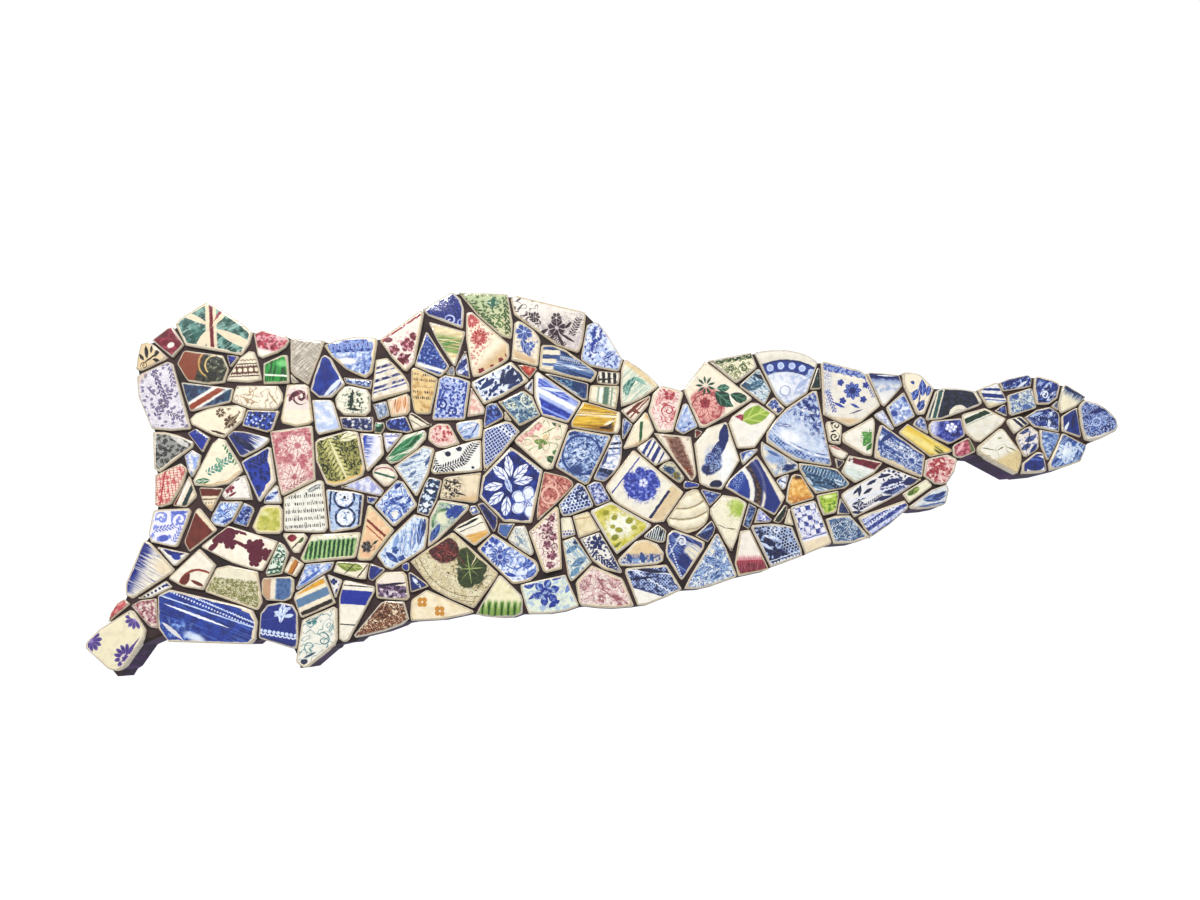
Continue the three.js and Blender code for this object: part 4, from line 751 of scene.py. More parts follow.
def lay_shard(outline, ground, figures, relief=None, step=FACE_STEP, crown=CROWN, **finish):
    outline["laid"] = True
    loop = outline["loop"]
    loop = grown([p for p, q in zip(loop, loop[1:] + loop[:1]) if (p - q).length > 0.05], JOINT_TRIM)
    middle = outline["middle"]
    if outline["node"]:
        name = outline["node"] + "_dressed"
    else:
        name = ("small_shard_%d_%d" % (round(middle.x), round(middle.y))).replace("-", "m")
    bm = bmesh.new()
    bmesh.ops.contextual_create(bm, geom=[bm.verts.new((p.x, -SHARD_FOOT, p.y)) for p in loop])
    bmesh.ops.remove_doubles(bm, verts=bm.verts, dist=CORNER_MERGE)
    bmesh.ops.bevel(bm, geom=bm.verts[:], affect="VERTICES", offset=ROUND_CORNER, offset_type="OFFSET",
                    segments=3, profile=0.5, material=-1, clamp_overlap=True)
    bmesh.ops.remove_doubles(bm, verts=bm.verts, dist=0.2)
    rounded = [Vector((v.vert.co.x, v.vert.co.z)) for v in bm.faces[:][0].loops]
    pushed = bmesh.ops.extrude_face_region(bm, geom=bm.faces[:])
    bmesh.ops.translate(bm, verts=[v for v in pushed["geom"] if isinstance(v, bmesh.types.BMVert)],
                        vec=(0, SHARD_FOOT - outline["front"], 0))
    bmesh.ops.recalc_face_normals(bm, faces=bm.faces)
    face = [f for f in bm.faces if f.normal.y < -0.9]
    for width in EDGE_RINGS:
        bmesh.ops.inset_region(bm, faces=face, thickness=width)
    low, high = ([pick(p[i] for p in rounded) for i in range(2)] for pick in (min, max))
    for v in bm.verts:
        v.co.x, v.co.z = held(v.co.x, low[0], high[0]), held(v.co.z, low[1], high[1])
    cut_into_squares(bm, face, step, low, high, offset=step * random.random())
    bmesh.ops.triangulate(bm, faces=[f for f in bm.faces if len(f.verts) > 4 and f.normal.y < 0.5])
    rim_layer = bm.verts.layers.float.new("rim")
    faced = [v for v in bm.verts if v.co.y < 0.1 - outline["front"]]
    reach = distances_to(rounded, [(v.co.x, v.co.z) for v in faced])
    lean = Vector((random.uniform(-1, 1), random.uniform(-1, 1))) * LEAN
    worn_round = random.uniform(0.7, 1.2)
    for v in bm.verts:
        v[rim_layer] = v.co.y + SHARD_FOOT
    for v, rim in zip(faced, reach):
        rim = float(rim)
        v[rim_layer] = rim
        x, z = v.co.x, v.co.z
        rounding = worn_round * (1 - math.sqrt(max(0.0, 1 - max(0.0, 1 - rim / worn_round) ** 2))) * 0.8
        rise = crown * (1 - math.exp(-rim / CROWN_REACH)) - crown
        uneven = noise.noise(Vector((x, z, 11)) * 0.1) * 0.2
        askew = lean.dot(Vector((x, z)) - middle)
        height = -rounding + rise + uneven + askew - FACE_BACK
        if relief:
            height += relief(x, z) * min(1.0, rim / 0.9)
        v.co.y = max(-outline["front"], -outline["front"] - height)
    # A draw that nothing reads, so that every later shard keeps its own
    random.random()
    piece = finished(bm, name, glazed("glaze of " + name, ground, figures, **finish))
    if outline["node"]:
        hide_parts(outline["node"])


def shard(x, z, ground, *figures, **finish):
    """Lays the shard whose outline is nearest to the place x, z."""
    at = Vector((x, z))
    outline = min((o for o in outlines if not o["laid"]), key=lambda o: (o["middle"] - at).length)
    across = min((corner - outline["middle"]).length for corner in outline["loop"])
    usual_lip = lip(random.choice(LIP_TINTS), random.uniform(0.8, 1.5) * min(1, across / FULL_LIP))
    lay_shard(outline, ground, [*figures, usual_lip], **finish)


# Shards of the upper left corner
# Broken from printed, painted and banded tableware in many colours. Short names for the
# figures a shard carries come first, each placed in the panel's own millimetres.
CREAM, WHITE, TAN, PALE = "ead9b9", "f0ece2", "dcb983", "c3d2ea"
ROYAL, COBALT, NAVY, DEEP, PERI = "2450bd", "1c3ea6", "16215f", "12309a", "6a7fd6"
CRIMSON, MAROON, RUST = "97163c", "6a1430", "9c4222"
BROWN, DARK, GREEN, OLIVE, SEA = "6b4226", "2b1c18", "1f8a48", "7d7c34", "4a9c92"
GREY = "8d8d8a"
FULL_LIP = 9
LIP_TINTS = ("ead9b9", "e6d9bc", "ecdfc4", "e2cfa2", "dcd6ca")


def band(ink, x, z, wide, turn=0, soft=0.15, **more):
    return mark("band", ink, x, z, 1, wide / 2, turn, soft=soft, **more)


def field(ink, x, z, turn=0, soft=0.4, **more):
    """Everything above a line through x, z; turned by 90 it is what lies to the left."""
    return mark("field", ink, x, z, 1, 1, turn, soft=soft, **more)


def patch(ink, x, z, wide, tall=None, turn=0, soft=0.15, **more):
    return mark("patch", ink, x, z, wide, tall, turn, soft=soft, **more)


def lip(ink, wide, **more):
    return mark("lip", ink, 0, 0, wide, **more)


def leaf(ink, x0, z0, x1, z1, wide, second=None, **more):
    return mark("leaf", ink, (x0 + x1) / 2, (z0 + z1) / 2, math.hypot(x1 - x0, z1 - z0) / 2, wide / 2,
                math.degrees(math.atan2(z1 - z0, x1 - x0)), second, **more)


def sprig(ink, x0, z0, x1, z1, wide, leaves=7, **more):
    return mark("sprig", ink, (x0 + x1) / 2, (z0 + z1) / 2, math.hypot(x1 - x0, z1 - z0) / 2, wide / 2,
                math.degrees(math.atan2(z1 - z0, x1 - x0)), leaves=leaves, **more)


def flower(ink, x, z, size, petals=5, turn=0, second=None, **more):
    return mark("flower", ink, x, z, size, None, turn, second, petals=petals, **more)


def scroll(ink, x, z, size, turns=1.6, turn=0, width=0.16, **more):
    return mark("scroll", ink, x, z, size, None, turn, turns=turns, width=width, **more)


def ring(ink, x, z, size, wide, **more):
    return mark("arc", ink, x, z, size, width=wide / 2 / size, soft=0.2 / size, **more)


def spread(kind, ink, cell, tall=None, turn=0, second=None, **more):
    """A pattern that covers the shard, with figures of this size."""
    return mark(kind, ink, 0, 0, cell, tall, turn, second, **more)


def mottle(ink, cell, level=0.5, seed=0.0, **more):
    return spread("mottle", ink, cell, level=level, seed=seed, **more)


def foliage(ink, cell, full=0.8, seed=0.0, **more):
    return spread("foliage", ink, cell, full=full, seed=seed, **more)


def curls(ink, cell, width=0.1, seed=0.0, **more):
    return spread("curls", ink, cell, width=width, seed=seed, **more)


def several(figure, ink, *places, **more):
    """One kind of figure in one ink, at several places."""
    return [figure(ink, *place, **more) for place in places]


def vine(ink, x, z, size, turn=0):
    """A cluster of lobed vine leaves."""
    spots = [(0, 0, 1), (0.9, 0.35, 0.7), (-0.85, 0.25, 0.75), (0.2, -0.8, 0.7), (-0.3, 0.85, 0.6)]
    c, s = math.cos(math.radians(turn)), math.sin(math.radians(turn))
    return [mark("flower", ink, x + size * (a * c - b * s), z + size * (a * s + b * c),
                 size * k, None, 40 * a, petals=5) for a, b, k in spots]


def petals(ink, second, x, z, size, count, turn, wide=0.5):
    """Separate long petals set round a middle."""
    around = [math.radians(turn + 360 * i / count) for i in range(count)]
    return [leaf(ink, x + math.cos(a) * size * 0.22, z + math.sin(a) * size * 0.22,
                 x + math.cos(a) * size, z + math.sin(a) * size, size * wide, second) for a in around]


def beyond(x, z, turn=0, soft=0.4):
    """The part of the shard that lies above the line, to keep a figure inside or out of."""
    return field(None, x, z, turn, soft)


def spot(x, z, wide, tall=None, turn=0, soft=0.15):
    return patch(None, x, z, wide, tall, turn, soft)


def speckle(ink, cell, dot=0.3, **more):
    return spread("stipple", ink, cell, dot=dot, **more)


def brushed(ink, cell, tall, turn=0, level=0.5, seed=0.0, **more):
    return spread("brushed", ink, cell, tall, turn, level=level, seed=seed, **more)


def lattice(ink, cell, tall, turn=0, line=0.12, **more):
    return spread("lattice", ink, cell, tall, turn, line=line, **more)


def beads(ink, x, z, cell, turn=0, dot=0.3, **more):
    return mark("beads", ink, x, z, cell, None, turn, dot=dot, **more)


shard(-231, 97, "2c6c62", mottle("86b0a4", 5, 0.54, 4), brushed("bcd4cc", 3, 1, 30, 0.62),
    leaf("4f8f84", -246, 102, -238, 88, 6, amount=0.5), leaf(CREAM, -234, 99, -256, 108.6, 3.6),
    leaf(CREAM, -234.6, 97, -243.6, 80, 5), band(CREAM, -233.4, 98, 6.4, 92), band(CRIMSON, -233.2, 98, 2.2, 92, 0.4),
    leaf(CREAM, -233, 98, -220.6, 112, 3.4), leaf("b8566a", -232, 101, -224, 112, 1.6),
    leaf(CREAM, -232, 97, -203, 83, 5.6), leaf("2c6c62", -226, 85, -213, 79, 3),
    field(CREAM, -232, 81.4, 186, 0.4, inside=beyond(-226, 82, -90)))
shard(-258, 91, CRIMSON, mottle("c4506c", 3, 0.56, 2), patch(WHITE, -257.5, 87, 2.2, 1.5, 20, amount=0.9),
    patch(MAROON, -262, 93, 3, 2, amount=0.6))
shard(-271, 80, "dfc79c", *several(leaf, DARK, (-276, 75, -264, 84, 0.9), (-272, 79, -273, 87, 2.4),
    (-268, 80, -264, 86, 2.4), (-269, 79, -264, 77, 2), (-274, 78, -277, 82, 2), (-270, 82, -269, 87.5, 1.6)),
    scroll(BROWN, -274, 75, 2.4))
shard(-263, 55, "e4dfe4", sprig("6a5a8c", -266, 44, -258, 60, 5, 8), sprig("7d6d96", -258, 74, -256, 62, 3.4, 5),
    flower("75648e", -262, 52, 3.4, 6, second=WHITE), sprig("6f6288", -260, 47, -250, 42, 3.4, 6),
    foliage("8f84a4", 2.8, 0.6, 4), sprig("6a5a8c", -268, 72, -262, 56, 3.4, 7),
    speckle("8f84a4", 0.8, 0.32, amount=0.7), leaf("8a7da0", -272, 62, -266, 56, 1.6),
    field(TAN, -275, 66, 55, 1.6, amount=0.5), lip(WHITE, 2.2, inside=beyond(-252, 60, -75)))
shard(-239, 74, "57533a", field("a4541f", -240.5, 74, 72, 0.5),
    mottle("2b2b1c", 3, 0.5, 6, inside=beyond(-241, 74, -108)),
    ring("c9a554", -232.5, 76, 8.5, 1.0, inside=beyond(-229, 76, 80)),
    ring("d8bd78", -231, 75, 6.0, 0.9, inside=beyond(-228, 76, 70)),
    mottle("8f9a7c", 2.2, 0.58, 1, inside=beyond(-236, 74, -95)), patch("2a2419", -233, 69, 3.5, 2.5))
shard(-237, 57, "33507c", mottle("24406c", 3, 0.5, 2), mottle("5b86a8", 3.4, 0.56, 5),
    band(WHITE, -236, 56, 6.4, 32, 0.2), band("b0551e", -235.6, 56, 3.4, 32, 0.2),
    field("2f6d86", -226, 57, -80, 1.5, amount=0.6))
shard(-221, 78, ROYAL, mottle(DEEP, 3, 0.5))
shard(-258, 24, "a5a5a0", foliage("3a3a3a", 3.4, 0.95, 3, second=GREY), curls("474644", 4, 0.12, 2),
    speckle("55534f", 0.8, 0.3, amount=0.5), beads(WHITE, -267.5, 22, 1.1, 88, 0.4),
    patch(WHITE, -253, 30, 7, 1.6, -35, amount=0.6))
shard(-241, 31, ROYAL, mottle(DEEP, 5, 0.5, 3, amount=0.6))
shard(-245, 16, WHITE, mottle("9fb4e6", 2.6, 0.5, 1), mottle(PERI, 1.6, 0.6, 5, amount=0.7))
shard(-229, 16, "f0e8cd", sprig(SEA, -236, 10, -222, 19, 5, 7), sprig("3f8f5c", -225, 28, -218, 16, 5.4, 6),
    flower("4aa38e", -229, 13, 2.6, 5, second=CREAM), flower("2f8a6c", -221, 22, 2.6, 6, second=WHITE),
    leaf(GREEN, -234, 6, -244, 5, 3.4, WHITE), leaf("57a678", -231, 20, -226, 14, 2.6, WHITE),
    lip(TAN, 2.0, inside=beyond(-228, 8, 200)))
shard(-258, 2, "f1d9c6", spread("lattice", "c8404a", 2.2, 1.5, 8, line=0.09), band("c8404a", -262, 4, 1.0, 82),
    foliage("cf5a5c", 3.4, 0.5, 4, amount=0.8), mottle("d8747a", 2.2, 0.6, 3))
shard(-249, 0, "e9ddc8", band(RUST, -253.5, -2, 6, 66), band(WHITE, -249.4, 1, 1.4, 66),
    band("1f4c50", -246.2, -1, 2.6, 66, 0.2), field(CREAM, -244.5, 0, -114))
shard(-234, -4, CREAM, band("8c3c1c", -234, -1.2, 4.6, 1, 0.1), band(BROWN, -234, -5.4, 0.7, 1),
    beads(BROWN, -234, -7.6, 1.7, 1, 0.22), patch(TAN, -234, -11, 4, 2, soft=0.5))
shard(-259, -22, "eae8f4", scroll("8191dc", -252, -18, 5.4, 1.5, 40, 0.22),
    scroll("8b99dd", -263, -17, 4, 1.4, 10, 0.2), patch("6579cf", -262, -29, 3.4, 2, 10),
    sprig("6f82d6", -268, -24, -256, -22, 4, 6), sprig("7b8cdb", -256, -31, -251, -22, 3.6, 5),
    foliage("8b9be2", 3.2, 0.5, 5), leaf(PERI, -258, -14, -247, -13, 2.4))
shard(-241, -23, "9a3f22", mottle("7f3018", 4, 0.5, 2, amount=0.6), field(CREAM, -237, -20, -48, 0.3))
shard(-256, -40, WHITE, leaf("24388f", -262, -36, -249, -38, 5.4), patch("3c55b5", -254.5, -40, 3, 1.8, -20),
    band(PERI, -258, -36, 0.8, -10))
shard(-274, -48, "efe7d2",
    mark("brushed", COBALT, -282, -48, 4.4, 1.5, -28, level=0.42, seed=2, inside=beyond(-273, -45, 62, 4)),
    field(DEEP, -280, -47, 62, 3.2), brushed("2c4fae", 3.2, 1.1, -30, 0.56, 5, amount=0.75),
    patch(CREAM, -262, -47, 6, 4, -40, 0.6))
shard(-266, -61, WHITE, beads("21347e", -268, -61, 2.6, 30, 0.3), leaf("3c4f9c", -264, -58, -258, -56.5, 1.6))
shard(-246, -50, "f2e9d6", ring("a8502c", -241, -60, 12, 1.4), leaf("9c3c1c", -252, -58, -246, -50, 4.6, "6e2812"),
    leaf("8f3a1e", -246, -54, -237, -58, 2.2), lip(WHITE, 1.2, inside=beyond(-232, -50, -60)))
shard(-220, -58, "e9e1c6", foliage("6f7a2a", 2.6, 0.98, 0.6, second="c7c68a", inside=beyond(-222, -53, 174, 0.5)),
    curls("59651f", 2.2, 0.16, 2, inside=beyond(-222, -54, 174, 0.5)),
    speckle(OLIVE, 0.7, 0.35, inside=beyond(-222, -53, 174)), field("b9b178", -222, -54, 174, 0.5, amount=0.4))
shard(-289, -72, "d0676a", mottle("e39a96", 3, 0.5, 4), mottle("b83c46", 2, 0.6, 1))
shard(-290, -91, "ece2bf", flower("7258a8", -279, -77.5, 6.4, 11, second="a996cc"),
    flower("6b4fa6", -305.5, -90.5, 7, 11, 10, "a08dc8"), flower("6a4ea2", -284, -100, 8, 13, 5, "9d8ac4"),
    patch("ece2bf", -280, -75, 2.6, 2), patch("ded2c2", -284.5, -101.5, 3.6, 3.4),
    mark("flower", "7258a8", -284.5, -101.5, 2.6, petals=7), flower("8d78bd", -290, -72.5, 3, 9),
    leaf("7258a8", -288, -104, -276, -88, 1.4))
shard(-271, -74, "e6d6c8", curls("a05a6c", 3.4, 0.14, 3), foliage("b5707c", 3.2, 0.8, 2),
    mottle("c695a0", 2.4, 0.56, 2))
shard(-236, -79, "1e449f", mottle("2f5cbe", 6, 0.5, 2, amount=0.8), band("c8d8f2", -237, -72.5, 0.8, -19),
    mark("scallops", "d5e2f6", -232, -70, 1.9, 2.2, -23, width=0.16),
    beads("e6eefa", -232, -72, 1.9, -23, 0.3, amount=0.8), leaf("f2f5fb", -262, -68, -222, -83, 1.6),
    mottle("8fb0e2", 3.6, 0.56, 3, inside=spot(-252, -86, 14, 7, -20, 0.5)),
    patch("dbe6f5", -243, -88.5, 6, 2.2, -24, 0.6), brushed("6a94da", 5, 1.4, -22, 0.6, amount=0.6),
    leaf(WHITE, -263, -79, -250, -90, 2.6, amount=0.8), lip("ead9bd", 2.0, inside=beyond(-212, -80, -70)))
shard(-197, 88, "c9405a", mottle("e8a8b0", 3, 0.5, 1), mottle("8f1c3a", 2, 0.56, 5),
    field(WHITE, -197, 83.5, 168, 1.4), patch(WHITE, -191, 92, 4, 2, amount=0.5))
shard(-211, 74, "eadfc4", *several(band, "6a3530", (-213, 75.8, 0.7, 3), (-213, 68.6, 0.7, 3)),
    mark("lattice", "7c4238", -213, 72.2, 3.4, 3.4, 3, line=0.12, inside=band("", -213, 72.2, 5.6, 3)),
    mark("honeycomb", "7c4238", -213, 72.2, 3.4, 3.4, 3, line=0.16, dot=0.24, inside=band("", -213, 72.2, 5.4, 3),
    amount=0.7), mark("scallops", "a87f6c", -211, 77.6, 2.2, None, 3))
shard(-193, 72, "2ca843", brushed("0f6a26", 2.4, 1.6, 84, 0.52, 4), band("e8f2dc", -194, 68.8, 1.0, -3, 0.5),
    patch("7ad07c", -190, 76, 4, 2, soft=0.6))
shard(-176, 78, "cfc5b4", mottle("e4dccd", 4, 0.55, 2), brushed("8f8577", 2.4, 0.7, 40, 0.54),
    brushed("a39a8c", 2, 0.6, -35, 0.58, 6))
shard(-163, 68, "2456b4", mottle(DEEP, 6, 0.5, 2, amount=0.7), field("eadfc6", -160, 79.5, -24, 0.6),
    brushed(WHITE, 6, 1.4, 52, 0.6, 8, inside=beyond(-160, 62, 215, 4)), leaf("d9e4f4", -166, 56, -154, 68, 2.6))
shard(-149, 81, "dfe6f2", brushed("2350b4", 1.6, 0.8, 100, 0.44, inside=band("", -149, 86.5, 7, 3)),
    band("1b46a8", -149, 83.8, 1.8, 3, 0.3), band(COBALT, -149, 89.5, 1.6, 3, 0.3),
    mottle("3c66bf", 3.4, 0.5, 3, inside=beyond(-149, 81, 190, 1)), mottle("88a3d8", 2, 0.5, 8),
    patch(WHITE, -152, 77.5, 6, 1.8, soft=0.5), field("274fae", -156, 73, 130, 2, amount=0.8),
    lip("ecdfc4", 2.4, inside=beyond(-137, 80, -75)))
shard(-146, 64, "5f78ac", mottle("c9d5ec", 2, 0.5, 2), mottle("2f4f96", 2, 0.55, 7))
shard(-184, 66, "d8cdbb")
shard(-206, 56, "f1e7d2", curls("b79a74", 5, 0.07, 4), scroll("c0a57e", -212, 57, 5, 1.2, 30, 0.06),
    leaf("b59a74", -200, 60, -193, 50, 1), leaf("c5a987", -218, 57, -204, 52, 0.8))
shard(-230, 42, "f0e4c8", flower("6b4f36", -222, 41, 4, 7, second="c6a77c"),
    flower("7a5f45", -228, 46.5, 3.2, 7, second=CREAM), leaf(BROWN, -226, 36, -216, 47, 2.4, CREAM),
    mottle("8a6b48", 2, 0.6, 3, inside=beyond(-222, 40, -60)), leaf("6b4f36", -234, 36, -224, 33, 1.6))
shard(-204, 42, "2b4db4", mottle("5f80d2", 2.6, 0.54, 2), foliage("c7d4f0", 1.9, 0.4, 3), foliage(NAVY, 2.6, 0.6, 7))
shard(-182, 52, "eddcd2", scroll(MAROON, -180, 56, 4.8, 1.3, 130, 0.24), patch("78203c", -182.5, 58, 3.4, 1.6, 20),
    leaf(MAROON, -187, 53, -184, 59, 2.6), leaf("8f3a50", -176, 58, -174, 53, 2.2),
    mottle("c98f98", 2, 0.58, 3, inside=beyond(-181, 54, 0, 1)), field("f0e6cf", -181, 48.5, 180, 0.8))
shard(-165, 45, "eceef4", mottle("cdd6ea", 2, 0.55, 5), mottle("b6c6e6", 4, 0.5, 2))
shard(-148, 54, "efe9d4", mottle("2d5540", 1.5, 0.55, 5, inside=spot(-150, 54, 3, 6, 4, 0.5)),
    foliage("34604a", 2.2, 0.8, 4, inside=spot(-147, 53, 6, 7, 0, 0.4)), leaf("1f4736", -150, 47, -148.4, 61, 2.4),
    mottle("55795e", 2, 0.6, 2), leaf("2d5540", -153, 49, -143, 48, 1.4))
shard(-146, 40, "24458f", mottle(WHITE, 2.2, 0.56, 4), mottle(NAVY, 2.4, 0.55, 2))
shard(-212, 28, "20408f", mottle(COBALT, 4, 0.5, 5), field("dfe4ee", -206, 27.5, -118, 3.4),
    brushed(WHITE, 3.4, 1.2, -28, 0.58, 3, inside=beyond(-211, 28, -110, 3)), leaf("14296c", -222, 34, -205, 22, 4))
shard(-204, 10, "2a50b8", mottle("3e66cc", 3, 0.5, 2, amount=0.6), sprig("122a7c", -209, 15, -198, 22, 7, 5),
    foliage("183589", 3.6, 0.7, 6), lip("e9dcc2", 2.6, inside=beyond(-201, 12, -100)))
shard(-219, 0, WHITE, flower(CRIMSON, -223, 1.5, 3.8, 7, second="c96a80"), leaf(MAROON, -222, 5, -216, 7, 2),
    leaf(CRIMSON, -223, -4, -218, -1, 1.6), mottle("e0c4c4", 2, 0.62, 3))
shard(-182, 17, "ecd3c8", mottle("c8707c", 4, 0.47, 6, inside=beyond(-184, 12, -24, 5)),
    mottle("d79a9c", 2.2, 0.54, 3), curls("b9606c", 3.4, 0.06, 2),
    *petals("f4e8dc", "c8808a", -181.4, 26.6, 7.2, 7, 10, 0.62), patch("c8808a", -181.4, 26.6, 1.2),
    *petals("f2e2d6", "c88088", -183.4, 7.6, 8.6, 9, 30, 0.5), patch("b9606c", -183.4, 7.6, 1.4),
    *petals("f0dccf", "c88088", -172.6, 15.4, 4, 6, 0, 0.5), brushed("c98a8e", 3, 1, 70, 0.6, 5),
    patch("eed9cc", -176, -2, 8, 7, soft=0.7, amount=0.7), sprig("b87f80", -188, 0, -176, 8, 3, 6))


def moulded_leaf(x, z):
    """A moulded leaf with a raised vein across it and a rolled scroll."""
    along = (x + 157) * 0.42 + (z - 19) * -0.9
    out = (x + 157) * 0.9 + (z - 19) * 0.42
    midrib = 0.55 * math.exp(-(out / 1.1) ** 2)
    return midrib + 0.25 * math.cos(abs(out) * 1.1 - along * 0.9) * math.exp(-abs(out) / 9)


shard(-157, 19, "a9a55a", foliage("5c6324", 2.8, 0.95, 0.3, second="c9c078"), curls("4c5520", 3, 0.16, 6),
    sprig("c9c47e", -164, 30, -152, 6, 8, 10), leaf("e6dfae", -163, 31, -151, 5, 1.6),
    leaf("efe8c4", -157, 30, -143, 35, 5, "9a9450"), scroll("3f4a1c", -166, 12, 4, 1.4, 60, 0.2),
    lip("e0bd6c", 2.6, inside=beyond(-154, 10, 205)), relief=moulded_leaf, step=1.1)
shard(-137, 24, "e9e8ee", field("2950b8", -141, 25, 78, 1.2),
    brushed("4a70c8", 1.6, 0.9, -12, 0.5, inside=beyond(-137, 25, 78, 3)), field("eadcc4", -131.5, 24, -86, 0.8))
shard(-177, -12, "ece9dc",
    mark("rows", "332e2e", -189, -15.2, 2.0, 4.5, 4, amount=0.95, outside=beyond(-176, 0.6, 14, 0.5)),
    leaf("7d8686", -176, -1.4, -167, 4, 3, WHITE))
shard(-153, -12, "b9cbe4", *several(band, "16306e", (-144.4, -12, 1.4, 86), (-162.4, -12, 1.2, 86)),
    patch("eef2f7", -153.6, -4.6, 5.4), ring("16306e", -153.6, -4.6, 5.9, 1.4), patch("eef2f7", -153, -16.4, 5.2),
    ring("16306e", -153, -16.4, 5.7, 1.4), *several(patch, "101c3c", (-153.4, -4.4, 0.9), (-153, -16.6, 0.9)),
    mottle("89a5cf", 2.4, 0.58, 3), mottle("2a4d92", 1.6, 0.63, 6), patch(WHITE, -153, -24, 5, 1.6, soft=0.5))


# Shards of the lower left, down to the foot's edge
# More banded, sprigged and moulded tableware, with a ribbed green piece and one whose
# print is two clusters of vine leaves.


shard(-196, -3, WHITE, leaf("3a5bb4", -201, -6, -193, -1, 3.4, PALE), band("2b4da6", -197, -3.5, 1.2, 34),
    mottle(PALE, 2, 0.55, 3))
shard(-200, -17, "c6c258", mottle("b2b244", 4, 0.52, 3), mottle("d3cf7c", 3, 0.56, 2),
    patch("dfdc98", -202, -14, 3, 1.4, soft=0.6), lip("e6d9a6", 1.8))
shard(-224, -14, "d5e0f0", leaf("4f78c4", -231, -17, -220, -10, 3, WHITE),
    leaf("6c92d4", -229, -12, -221, -19, 2.6, WHITE), curls("4f78c4", 3, 0.13, 2), mottle("8fb0de", 2.4, 0.56, 4),
    leaf("3c63b2", -228, -20, -219, -16, 1.6))
shard(-213, -15, "7d9bd0", leaf("1f3f9c", -219, -18, -209, -12, 4.6, "5d80c8"),
    leaf("1c398e", -212, -22, -211, -8, 3.4), mottle(PALE, 1.8, 0.56, 3), mottle("2a4ba4", 2, 0.55, 8))
shard(-217, -34, "f2e6cf", mottle("f7efdd", 5, 0.5, 2), *vine("861048", -225, -27.5, 6.2, 20),
    *vine("861048", -206, -37.6, 6, -30), leaf("861048", -220, -30, -211, -35, 2.2), *several(leaf, "8e1c4c",
    (-236, -37, -229, -31, 3.4), (-218, -23.6, -212, -27, 2.6)))
shard(-194, -42, "dfe8d9", curls("3c7d5c", 2.6, 0.15, 2), scroll("2f6f52", -193, -39, 3.6, 1.5, 20),
    band("2c6c4e", -196, -47.6, 1.2, 8), band("3c7d5c", -196, -50, 0.9, 8), foliage("4a8a68", 2.4, 0.5, 4))
shard(-183, -31, "f0e6cc", leaf(CRIMSON, -188, -29, -182, -28.5, 4.4), leaf("b0274a", -186, -31, -183, -27, 2.4),
    leaf("5b4a2a", -186, -36, -180, -30, 0.9), leaf("5f7d3c", -181, -32, -178, -28, 1.8))


def green_ribs(x, z):
    """A fan of raised ribs, a little closer at the left."""
    return 0.5 * (0.5 + 0.5 * math.cos((x * 0.96 + z * 0.12) * 2.35)) * (1 if z < -27.5 else 0.3)


shard(-161, -34, "9cc47c", mark("lattice", "135c26", -161, -34, 2.67, 400, 82.9 - 90, line=0.27),
    field("f0e9d2", -160, -29.6, 4, 0.9), field("c9d9a0", -160, -40.6, 183, 1.2, amount=0.7),
    mottle("2f8a3c", 2.4, 0.6, amount=0.7), lip("e9dcb6", 1.4), relief=green_ribs, step=0.8)
shard(-184, -46, "ece0c6", band("c98a2e", -184, -46, 3, 62, 0.3), band("a8652c", -182, -45, 0.8, 62))
shard(-171, -51, "e9ebf0", mottle("9fb6e0", 3, 0.52, 3), brushed("7f9dd6", 3, 1, 35, 0.55, 4),
    leaf("5a7ec8", -181, -57, -168, -48, 1.8), foliage("6f8fd0", 2.4, 0.4, 2))
shard(-194, -59, "8da5c0", band("c9a27c", -200.4, -59, 6.5, 88, 0.12), band("e9ddc6", -196.2, -59, 2.8, 88, 0.2),
    band("6587b4", -190, -59, 8, 88, 0.12), mottle("4c70a4", 2, 0.56, 3, inside=beyond(-194, -59, -90)),
    band("d6c5a4", -184.6, -60, 1.6, 88))
shard(-171, -65, "e8dcc0", band("e0a52a", -175, -56.6, 6.4, 24, 0.12), band("f0e3c6", -173.4, -60.6, 1.4, 24),
    band("6f93b4", -172, -64, 5, 24, 0.12), band("efe2c8", -170.6, -67.6, 1.8, 24),
    band("3a2416", -169.4, -70.6, 3.4, 24, 0.12), band("a77c3c", -168, -74, 2.6, 24, 0.3),
    mottle("c08c1e", 3, 0.6, 3, inside=beyond(-175, -59, 24)))
shard(-191, -81, "2144a8", mottle("35459c", 4, 0.56, 2, amount=0.5), *several(leaf, "dfe8f6",
    (-196, -76, -185, -70, 3, "5d80cc"), (-192, -80, -190, -67, 4.4, "5d80cc")), *several(leaf, "cbd9f0",
    (-190, -76, -184, -75, 2.4), (-196, -73, -190, -75, 2.4)), beads("ccd9f2", -192, -86, 2.6, -9, 0.42),
    mark("scallops", "e0e8f6", -192, -88.6, 2.6, None, -9), band("183792", -191, -92, 3, -12))
shard(-170, -88, "ece9dc", flower("4b8f8f", -173, -77, 4.6, 5, 20, "cfe2de"),
    leaf("3f7f86", -177, -80, -166, -74, 2.4, WHITE), curls("5c9898", 5, 0.06, 3),
    scroll("4b8f8f", -166, -90, 4.6, 1.2, 40, 0.1), scroll("5f9a9c", -174, -94, 4, 1.2, 200, 0.1),
    leaf("6aa3a0", -163, -86, -158, -78, 2, WHITE), patch("25406e", -177.5, -103, 2.2, 1.6),
    leaf("3f6f86", -178, -101, -170, -97, 1.4))
shard(-159, -57, WHITE, flower("233a86", -160, -55, 2.2, 4), patch("20367c", -158, -61, 1.2, 1.8),
    mottle("5a70b8", 1.4, 0.6, 2))
